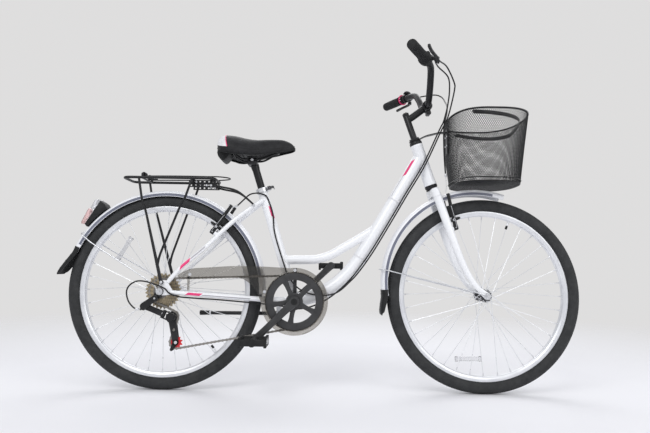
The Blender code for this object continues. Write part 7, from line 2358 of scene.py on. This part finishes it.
def shifter_housing():
    """The housing that the twist shifter turns in, its window, and the end of the shift cable."""
    shell = [(SLEEVE_BORE, -0.0115), (0.0196, -0.0115), (0.0212, -0.0100), (0.0215, -0.0070), (0.0215, 0.0050)]
    shell += [(0.0206, 0.0100), (0.0180, 0.0118), (SLEEVE_BORE, 0.0120)]
    housing = turned(shell, on_bar(HOUSING_MIDDLE, -1), bar_axis(-1), 56, ring=True)
    spot = on_bar(HOUSING_MIDDLE, -1, 0.0060, 0.0195)
    window = block(spot, (0.0150, 0.0160, 0.0030), bar_axis(-1), ALONG_Z, corner=0.0008)
    return [housing, window, barrel(*SHIFT_BARREL)]


def make_perches():
    """Both perches, each with its lever's pivot, the end of its brake cable, and the screw of its clamp."""
    for side, name, cable_end in ((-1, "right", RIGHT_BRAKE_BARREL), (1, "left", LEFT_BRAKE_BARREL)):
        parts = perch(side)
        if side < 0:
            parts += shifter_housing()
        piece(name + "_perch_body", joined(*parts), "black_plastic", "steered", name + "_brake_perch")
        pivot = on_bar(PERCH_MIDDLE[side], side, LEVER_FORWARD, LEVER_UP)
        bright = [pin(pivot, 0.0104, -0.0070, 0.0025, 20, 0.0003, ALONG_Z)]
        bright.append(fastener("lever_screw", pivot, ALONG_Z))
        bright.append(barrel(*cable_end))
        clamp = on_bar(PERCH_MIDDLE[side], side, -0.0135)
        bright.append(pin(clamp, -0.0065, 0.0065, 0.0022, 16, 0.0003, ALONG_Z))
        piece(name + "_perch_hardware", joined(*bright), "bright_alloy", "steered")


def make_shifter():
    """The turning sleeve next to the right grip, with grip ribs and a flared end, and the left grip's ring."""
    axis, radius = bar_axis(-1), SHIFTER_RIB_MIDDLE
    sleeve = [(SLEEVE_BORE, 0.1030), (0.0160, 0.1030), (0.0165, 0.1036), (0.0165, 0.1140)]
    sleeve += [(0.0180, 0.1156), (0.0194, 0.1170), (0.0194, 0.1188), (SLEEVE_BORE, 0.1190)]
    parts = [turned(sleeve, on_bar(0, -1), axis, 56, ring=True)]
    for foot in loop(on_bar(0.1036, -1), ALONG_Z * radius, axis.cross(ALONG_Z) * radius, SHIFTER_RIBS):
        parts.append(rod(foot, foot + axis * 0.0102, 0.0008, 8))
    piece("shifter_sleeve", joined(*parts), "grip_rubber", "shifter", "twist_shifter")
    profile = [(0.0160, -0.0008), (0.0199, -0.0008), (0.0204, 0), (0.0199, 0.0008), (0.0160, 0.0008)]
    ring = turned(profile, on_bar(0.1145, 1), bar_axis(1), 56, ring=True)
    piece("left_grip_ring", ring, "pink_film", "steered")


def make_levers():
    for side, name, body in ((-1, "right_brake_lever", "lever_right"), (1, "left_brake_lever", "lever_left")):
        middle = PERCH_MIDDLE[side]
        pivot = on_bar(middle, side, LEVER_FORWARD, LEVER_UP)
        hub = washer(pivot, 0.0029, 0.0070, -0.0060, 0.0048, ALONG_Z, 40, edge=0.0010)
        places = [(0.0050, 0.0350), (0.0180, 0.0400), (0.0380, 0.0430)]
        places += [(middle - 0.0550, 0.0440), (middle - 0.0080, 0.0500)]
        path = smooth([on_bar(middle - inset, side, ahead, LEVER_UP - 0.002) for inset, ahead in places], 8)
        scales = []
        for t in [n / (len(path) - 1) for n in range(len(path))]:
            swell = 0.10 if t > 0.94 else 0
            scales.append((1.0 - 0.16 * math.sin(math.pi * t) + swell, 1.0 - 0.12 * t))
        scales[-1] = (0.62, 0.62)
        blade = sweep(path, bar(0.0045, 0.0048, 0.0018), scales, side=ALONG_Z)
        piece(name + "_blade", joined(hub, blade), "black_plastic", body, name)


def make_bell():
    """A domed bell on the left of the bar, with its clamp, its thumb lever and a screw on top."""
    ring = washer(on_bar(BELL_MIDDLE, 1), SLEEVE_BORE, 0.0154, -0.0040, 0.0040, bar_axis(1), 48, edge=0.0010)
    tilt = Vector((0.25, 0, 0.97)).normalized()
    foot = on_bar(BELL_MIDDLE, 1, 0.0060, 0.0130)
    stalk = pin(foot, -0.002, 0.0080, 0.0046, 20, axis=tilt)
    places = [(0.0070, 0, 0), (0.0075, -0.010, 0.004), (0.0085, -0.0145, 0.006)]
    path = [foot + tilt * up + Vector((x, y, 0)) for up, x, y in places]
    thumb = sweep(path, bar(0.0026, 0.0012, 0.0008), side=ALONG_Y)
    piece("bell_base", joined(ring, stalk, thumb), "black_plastic", "steered", "bell")
    arch = [(0.0150, 0.0060)]
    for step in range(1, 9):
        angle = math.radians(90 * step / 8)
        arch.append((0.0150 * math.cos(angle), 0.0075 + 0.0100 * math.sin(angle)))
    inner = [(max(radius - 0.0009, 0), up - 0.0009) for radius, up in reversed(arch)]
    piece("bell_dome", turned(arch + inner, foot, tilt, 48), "black_paint", "steered")
    piece("bell_screw", fastener("bell_screw", foot, tilt), "bright_alloy", "steered")


# Basket
BASKET_TOP = (0.9570, 1.2220, 0.1700, 0.9350)
BASKET_MIDDLE = (0.9565, 1.2090, 0.1500, 0.8200)
BASKET_FLOOR = (0.9720, 1.1960, 0.1300, 0.7000)
BASKET_CELLS = 150
BASKET_LEAN = 22
BASKET_WIRE = 0.00072


def basket_point(level, angle, inset=0.0, up=0.0):
    rear, front, half_width, z = level
    middle, half_length = (rear + front) / 2, (front - rear) / 2 - inset
    x, y = math.cos(angle), math.sin(angle)
    x = math.copysign(abs(x) ** (0.55 if x < 0 else 0.8), x)
    y = math.copysign(abs(y) ** 0.8, y)
    return Vector((middle + half_length * x, (half_width - inset) * y, z + up))


def basket_outline(level, inset=0.0, up=0.0, count=400):
    """Evenly spaced points round one level of the basket."""
    raw = [basket_point(level, math.tau * step / 720, inset, up) for step in range(720)]
    lengths = [0.0]
    for first, second in zip(raw, raw[1:] + raw[:1]):
        lengths.append(lengths[-1] + (second - first).length)
    raw.append(raw[0])
    even, index = [], 0
    for step in range(count):
        target = lengths[-1] * step / count
        while lengths[index + 1] < target:
            index += 1
        t = (target - lengths[index]) / (lengths[index + 1] - lengths[index])
        even.append(raw[index].lerp(raw[index + 1], t))
    return even


def basket_wall_point(outlines, turn, height):
    """A point of the wall at a share of its way round and a share of its height."""
    count = len(outlines[0])
    place = (turn % 1.0) * count
    index = int(place)
    t = place - index
    rings = [ring[index % count].lerp(ring[(index + 1) % count], t) for ring in outlines]
    low, middle, top = rings
    return low.lerp(middle, height * 2) if height < 0.5 else middle.lerp(top, height * 2 - 1)


def wires(lines, radius, sides=4):
    """Many thin wires as one mesh; each line is a list of points."""
    points, faces = [], []
    turn = math.tau / sides
    section = [(radius * math.cos(turn * n), radius * math.sin(turn * n)) for n in range(sides)]
    for line in lines:
        heading = directions(line, False)
        across = heading[0].orthogonal().normalized()
        faces += grid_faces(len(line), sides, round_columns=True, first=len(points))
        for centre, ahead in zip(line, heading):
            across = (across - across.dot(ahead) * ahead).normalized()
            up = across.cross(ahead)
            points += [centre + across * a + up * b for a, b in section]
    return edited(bare(points, faces), lambda work: bmesh.ops.recalc_face_normals(work, faces=work.faces))


BASKET_INSET = 0.0010
BASKET_ROWS = 14
FLOOR_PITCH = 0.0056
BASKET_LOW_BAND = (0.9695, 1.1975, 0.1322, 0.7130)
CARRYING_BAND = [(1.0080, -0.1500, 0.9220), (1.0600, -0.1400, 0.9235), (1.1300, -0.1080, 0.9255)]
CARRYING_BAND += [(1.1850, -0.0560, 0.9270), (1.2060, -0.0100, 0.9230), (1.2070, 0.0350, 0.9110)]
CARRYING_BAND += [(1.1960, 0.0800, 0.8990), (1.1500, 0.1180, 0.8970), (1.0900, 0.1400, 0.9040)]
CARRYING_BAND += [(1.0230, 0.1480, 0.9160)]


def wall_wires():
    """Two crossing families of wires that lean round the wall from the floor to the rim."""
    outlines = [basket_outline(level, BASKET_INSET) for level in (BASKET_FLOOR, BASKET_MIDDLE, BASKET_TOP)]
    lines = []
    for lean in (-1, 1):
        for cell in range(BASKET_CELLS):
            line = []
            for row in range(BASKET_ROWS + 1):
                height = row / BASKET_ROWS
                turn = (cell + lean * BASKET_LEAN * height) / BASKET_CELLS
                line.append(basket_wall_point(outlines, turn, height))
            lines.append(line)
    return lines


def floor_wires():
    """Two crossing families of straight wires, cut off at the floor's outline."""
    floor = basket_outline(BASKET_FLOOR, BASKET_INSET, 0.0006, 200)
    middle = sum(floor, Vector()) / len(floor)
    lines = []
    for lean in (-1, 1):
        ahead = Vector((1, lean * 0.72, 0)).normalized()
        across = Vector((-ahead.y, ahead.x, 0))
        spread = [(point - middle).dot(across) for point in floor]
        offset = math.ceil(min(spread) / FLOOR_PITCH) * FLOOR_PITCH
        while offset < max(spread):
            ends = []
            for first, second in zip(floor, floor[1:] + floor[:1]):
                a, b = (first - middle).dot(across) - offset, (second - middle).dot(across) - offset
                if a * b < 0:
                    ends.append(first.lerp(second, a / (a - b)))
            if len(ends) == 2:
                lines.append(ends)
            offset += FLOOR_PITCH
    return lines


def basket_hoops():
    """The rim, the hoop and the flat band at the floor, and three rods below it."""
    parts = [sweep(basket_outline(BASKET_TOP, 0.0030, -0.0030, 160), circle(0.0030, 16), closed=True)]
    parts.append(sweep(basket_outline(BASKET_FLOOR, 0.0022, 0.0022, 160), circle(0.0022, 14), closed=True))
    low_band = basket_outline(BASKET_LOW_BAND, 0.0008, 0, 160)
    parts.append(sweep(low_band, bar(0.0006, 0.0030, 0.0003), closed=True))
    for y in (-0.060, 0.0, 0.060):
        ends = [point for point in basket_outline(BASKET_FLOOR, 0.0022, 0.0022) if abs(point.y - y) < 0.0012]
        back, front = min(ends, key=lambda p: p.x), max(ends, key=lambda p: p.x)
        parts.append(rod((back.x, y, back.z), (front.x, y, front.z), 0.0016, 12))
    return parts


def carrying_band():
    """The carrying band, folded down along the front inside the rim, with a pivot at each end."""
    parts = [sweep(smooth(CARRYING_BAND, 6), bar(0.0066, 0.0008, 0.0005), side=ALONG_Z)]
    for end in (CARRYING_BAND[0], CARRYING_BAND[-1]):
        parts.append(pin(end, 0, 0.0080, 0.0040, 20, 0.0006, ALONG_Y * math.copysign(1, end[1])))
    return parts


def basket_bracket():
    """A ring under the locknut, an arm ahead of it, and an upright plate with a rod along each edge."""
    parts = [washer(steer(0), 0.0143, 0.0205, -0.0036, -0.0012, STEER_DOWN, 56)]
    arm = [steer(-0.0023, 0.0170), steer(-0.0060, 0.0400), (0.9300, 0, 0.8868), (0.9530, 0, 0.8868)]
    parts.append(sweep(rounded(arm, 0.0080, 5), bar(0.0140, 0.0012, 0.0006), side=ALONG_Y))
    parts.append(block((0.95525, 0, 0.8540), (0.0030, 0.0400, 0.0880), corner=0.0008))
    for y in (-0.0170, 0.0170):
        parts.append(rod((0.9550, y, 0.8120), (0.9550, y, 0.8960), 0.0024, 16))
    return parts


def make_basket():
    mesh = wires(wall_wires() + floor_wires(), BASKET_WIRE)
    piece("basket_mesh", mesh, "mesh_black", "steered", "basket", angle=80)
    frame = joined(*basket_hoops(), *carrying_band(), *basket_bracket())
    piece("basket_frame", frame, "black_paint", "steered")
    screws = []
    for z in (0.8400, 0.8720):
        for y in (-0.0120, 0.0120):
            screws.append(fastener("basket_screw", (0.9538, y, z), -ALONG_X))
            screws.append(fastener("basket_nut", (0.9575, y, z), ALONG_X))
    piece("basket_screws", joined(*screws), "bright_alloy", "steered")


def make_front_brake():
    arm_up = Vector((-0.2100, 0, 0.9780)).normalized()
    stud = steer(FORK_STUD_DOWN, 0, FORK_STUD_Y)
    brake_arms("front", stud, STEER_FORWARD, arm_up, 0.1180, 0.0058, 0.0268, FRONT_AXLE)


# Cables
CABLE_RADIUS = 0.0025
WIRE_RADIUS = 0.0008
ALONG_DOWN_TUBE = [
    (0.9260, 0.8863),
    (0.8708, 0.7669),
    (0.8094, 0.6625),
    (0.7540, 0.5670),
    (0.6986, 0.4739),
    (0.6550, 0.4100),
]


def beside_down_tube(shift):
    """The run beside the down tube, moved ahead or back to lie beside another cable."""
    return [(x + shift, -0.0300, z - shift * 0.6) for x, z in ALONG_DOWN_TUBE]


def cable(name, points, body, blended, far_end, *replaced):
    """A cable in its housing along a smooth run; a blended one rides on no body."""
    path = [Vector(point) for point in smooth(points, 8)]
    housing = sweep(path, circle(CABLE_RADIUS, 12))
    made = piece(name, housing, "cable_black", None if blended else body, *replaced)
    moved = [tuple(point - Vector((MIDDLE_X, 0, 0))) for point in path]
    if blended:
        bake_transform(made)
    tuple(moved[0])
    round(path_length(path), 3)
    return path


def ferrule(end, towards, length=0.0110):
    """The metal cap on the end of a housing."""
    ahead = (Vector(towards) - Vector(end)).normalized()
    profile = [(0, -0.0006), (0.0030, -0.0006), (0.0034, 0)]
    profile += [(0.0034, length - 0.0006), (0.0030, length), (0, length)]
    return turned(profile, end, ahead, 16)


def make_rear_brake_cable():
    start = RIGHT_BRAKE_BARREL[0] + bar_axis(-1) * 0.0006
    run = [start, start + bar_axis(-1) * 0.02, (0.9304, -0.1200, 1.0795), (0.9630, -0.0800, 1.0428)]
    run += [(0.9694, -0.0600, 1.0218), (0.9584, -0.0400, 0.9578), (0.9480, -0.0300, 0.9217)]
    run += beside_down_tube(0.0030)
    run += [(0.6240, -0.0330, 0.3690), (0.5760, -0.0340, 0.3290), (0.5150, -0.0310, 0.3200)]
    run += [(0.4560, -0.0265, 0.3380), (0.4180, -0.0225, 0.3780), (0.3944, -0.0210, 0.4360)]
    run += [(0.3660, -0.0210, 0.5250), (0.3580, -0.0165, 0.5900), (0.3430, -0.0150, 0.6350)]
    run += [(0.3330, -0.0190, 0.6530), (0.3180, -0.0220, 0.6590), (0.3000, -0.0180, 0.6620)]
    run += [(0.2760, -0.0080, 0.6580), (0.2560, -0.0080, 0.6400), (0.2380, -0.0170, 0.6200)]
    run.append((0.2290, -0.0265, 0.6130))
    path = cable("rear_brake_housing", run, "main_frame", True, "object", "rear_brake_cable", "rear_brake_cable_loop")
    piece("rear_brake_ferrule", ferrule(path[-1], path[-3]), "bright_alloy", "main_frame")


def make_shift_cable():
    start = SHIFT_BARREL[0] + bar_axis(-1) * 0.0006
    run = [start, start + bar_axis(-1) * 0.03, (0.9050, -0.1000, 1.0880), (0.9498, -0.0500, 1.0706)]
    run += [(0.9571, -0.0400, 1.0282), (0.9520, -0.0350, 0.9767), (0.9450, -0.0300, 0.9428)]
    run += [(0.9370, -0.0300, 0.9160)] + beside_down_tube(-0.0030)
    run += [(0.6180, -0.0265, 0.3690), (0.5700, -0.0240, 0.3240), (0.5250, -0.0235, 0.2950)]
    run += [(0.4800, -0.0230, 0.2780), (0.4386, -0.0225, 0.2740), (0.3900, -0.0240, 0.2830)]
    run += [(0.3400, -0.0330, 0.2885), (0.2000, -0.0475, 0.3005), (0.0950, -0.0640, 0.3072)]
    run += [(0.0600, -0.0750, 0.3115), (0.0330, -0.0800, 0.3220), (0.0160, -0.0822, 0.3380)]
    run += [(-0.0290, -0.0832, 0.3550), (-0.0660, -0.0790, 0.3600), (-0.0900, -0.0755, 0.3520)]
    run += [(-0.1040, -0.0740, 0.3370), (-0.1070, -0.0740, 0.3180), (-0.0980, -0.0770, 0.2930)]
    run += [(-0.0780, -0.0840, 0.2740), (-0.0614, -0.0868, 0.2690)]
    path = cable("shift_housing", run, "main_frame", True, "object", "shift_cable", "shift_cable_loop")
    piece("shift_ferrule", ferrule(path[-1], path[-3]), "bright_alloy", "main_frame")


def make_front_brake_cable():
    start = LEFT_BRAKE_BARREL[0] + bar_axis(1) * 0.0006
    run = [start, start + bar_axis(1) * 0.02, (0.9450, 0.1730, 1.0780), (0.9692, 0.1450, 1.0617)]
    run += [(0.9730, 0.1000, 1.0290), (0.9688, 0.0500, 0.9952), (0.9560, 0.0000, 0.9560)]
    run += [(0.9440, -0.0220, 0.9200), (0.9390, -0.0290, 0.8800), (0.9400, -0.0300, 0.8000)]
    run += [(0.9450, -0.0300, 0.7267)]
    path = cable("front_brake_housing", run, "steered", False, "object", "front_brake_cable")
    below = [path[-1], Vector((0.9470, -0.0285, 0.6950)), Vector((0.9460, -0.0255, 0.6720))]
    wire = sweep(smooth(below, 6), circle(WIRE_RADIUS, 8))
    piece("front_brake_wire", joined(wire, ferrule(path[-1], path[-3])), "bright_alloy", "steered")


# Camera, light and floor
PICTURE_WIDTH = 650
FOCAL_PIXELS = 549.761
CAMERA_PLACE = Vector((0.52520 - MIDDLE_X, -1.88281, 0.41386))
CAMERA_YAW, CAMERA_PITCH, CAMERA_ROLL = 0.005397, 0.091880, 0.015777
SENSOR_WIDTH = 36.0
FLOOR_HALF = 4.0
FLOOR_FADE = (1.2, 3.6)
WORLD_STRENGTH = 0.70
BACKDROP = (0.735, 0.730, 0.730, 1)


def make_camera():
    data = bpy.data.cameras.new("camera")
    data.sensor_fit = "HORIZONTAL"
    data.sensor_width = SENSOR_WIDTH
    data.lens = FOCAL_PIXELS * SENSOR_WIDTH / PICTURE_WIDTH
    data.clip_start = 0.05
    made = bpy.data.objects.new("camera", data)
    bpy.context.scene.collection.objects.link(made)
    yaw, pitch, roll = CAMERA_YAW, CAMERA_PITCH, CAMERA_ROLL
    ahead = Vector((math.sin(yaw) * math.cos(pitch), math.cos(yaw) * math.cos(pitch), math.sin(pitch)))
    right = Vector((math.cos(yaw), -math.sin(yaw), 0))
    up = right.cross(ahead)
    across = right * math.cos(roll) + up * math.sin(roll)
    above = up * math.cos(roll) - right * math.sin(roll)
    turn = Matrix((across, above, -ahead)).transposed()
    made.matrix_world = Matrix.Translation(CAMERA_PLACE) @ turn.to_4x4()
    bpy.context.scene.camera = made


def lamp(name, place, target, size, power):
    """A white area light that faces a target and isn't seen itself."""
    data = bpy.data.lights.new(name, "AREA")
    data.shape = "RECTANGLE"
    data.size, data.size_y = size
    data.energy = power
    made = bpy.data.objects.new(name, data)
    bpy.context.scene.collection.objects.link(made)
    made.visible_camera = False
    made.location = place
    made.rotation_euler = (Vector(target) - Vector(place)).to_track_quat("-Z", "Y").to_euler()


def floor_material():
    """Pale paper round the bicycle that fades out into the backdrop colour."""
    made, tree, shader = new_material("floor_paper")
    shader.inputs["Roughness"].default_value = 0.9
    place = node(tree, "ShaderNodeTexCoord").outputs["Object"]
    blotch = remap(tree, pattern(tree, 0.8), STREAK_SPAN, 0, 1)
    tree.links.new(mixed(tree, blotch, (0.87, 0.87, 0.90), (0.86, 0.86, 0.89)), shader.inputs["Base Color"])
    distance = node(tree, "ShaderNodeVectorMath", operation="LENGTH")
    tree.links.new(place, distance.inputs[0])
    share = remap(tree, distance.outputs["Value"], FLOOR_FADE, 0, 1)
    clear = node(tree, "ShaderNodeBsdfTransparent")
    blend_shaders(tree, share, shader, clear, tree.nodes["Material Output"])
    return made


def blend_shaders(tree, share, first, second, output):
    """Two shaders mixed by a share, as the output's surface."""
    blend = node(tree, "ShaderNodeMixShader")
    for place, socket in enumerate((share, first.outputs[0], second.outputs[0])):
        tree.links.new(socket, blend.inputs[place])
    tree.links.new(blend.outputs[0], output.inputs["Surface"])


def make_stage():
    """A pale floor that fades out, in front of a plain backdrop colour that gives no light."""
    corners = [(x * FLOOR_HALF, y * FLOOR_HALF, 0) for x, y in ((-1, -1), (1, -1), (1, 1), (-1, 1))]
    mesh = bare(corners, [(0, 1, 2, 3)])
    mesh.materials.append(floor_material())
    made = bpy.data.objects.new("floor", mesh)
    bpy.context.scene.collection.objects.link(made)
    world = bpy.data.worlds.new("studio")
    world.use_nodes = True
    tree = world.node_tree
    light = tree.nodes["Background"]
    light.inputs["Color"].default_value = (0.93, 0.94, 0.97, 1)
    light.inputs["Strength"].default_value = WORLD_STRENGTH
    backdrop = node(tree, "ShaderNodeBackground", Color=BACKDROP, Strength=1.0)
    seen = node(tree, "ShaderNodeLightPath").outputs["Is Camera Ray"]
    blend_shaders(tree, seen, light, backdrop, tree.nodes["World Output"])
    bpy.context.scene.world = world
    lamp("key_light", (-1.6, -3.2, 3.4), (0.0, 0.0, 0.5), (2.4, 2.4), 66)
    lamp("fill_light", (2.4, -2.6, 2.2), (0.1, 0.0, 0.5), (2.4, 2.4), 34)
    lamp("rear_light", (0.3, 2.6, 3.0), (0.0, 0.0, 0.5), (3.0, 2.0), 36)


def finish():
    bpy.context.scene.view_settings.view_transform = "Standard"
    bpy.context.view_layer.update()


make_camera()
make_stage()
make_wheels()
make_chain()
make_freewheel()
make_chainring()
make_cranks()
make_pedals()
make_chain_guard()
make_derailleur()
make_frame()
make_headset()
make_seat_clamp()
make_seat_post()
make_saddle_rails()
make_saddle()
make_fenders()
make_fender_stays()
make_lamp()
make_rack()
make_rack_clip()
make_kickstand()
make_rear_brake()
make_fork()
make_stem()
make_handlebar()
make_grips()
make_perches()
make_shifter()
make_levers()
make_bell()
make_basket()
make_front_brake()
make_rear_brake_cable()
make_shift_cable()
make_front_brake_cable()
finish()
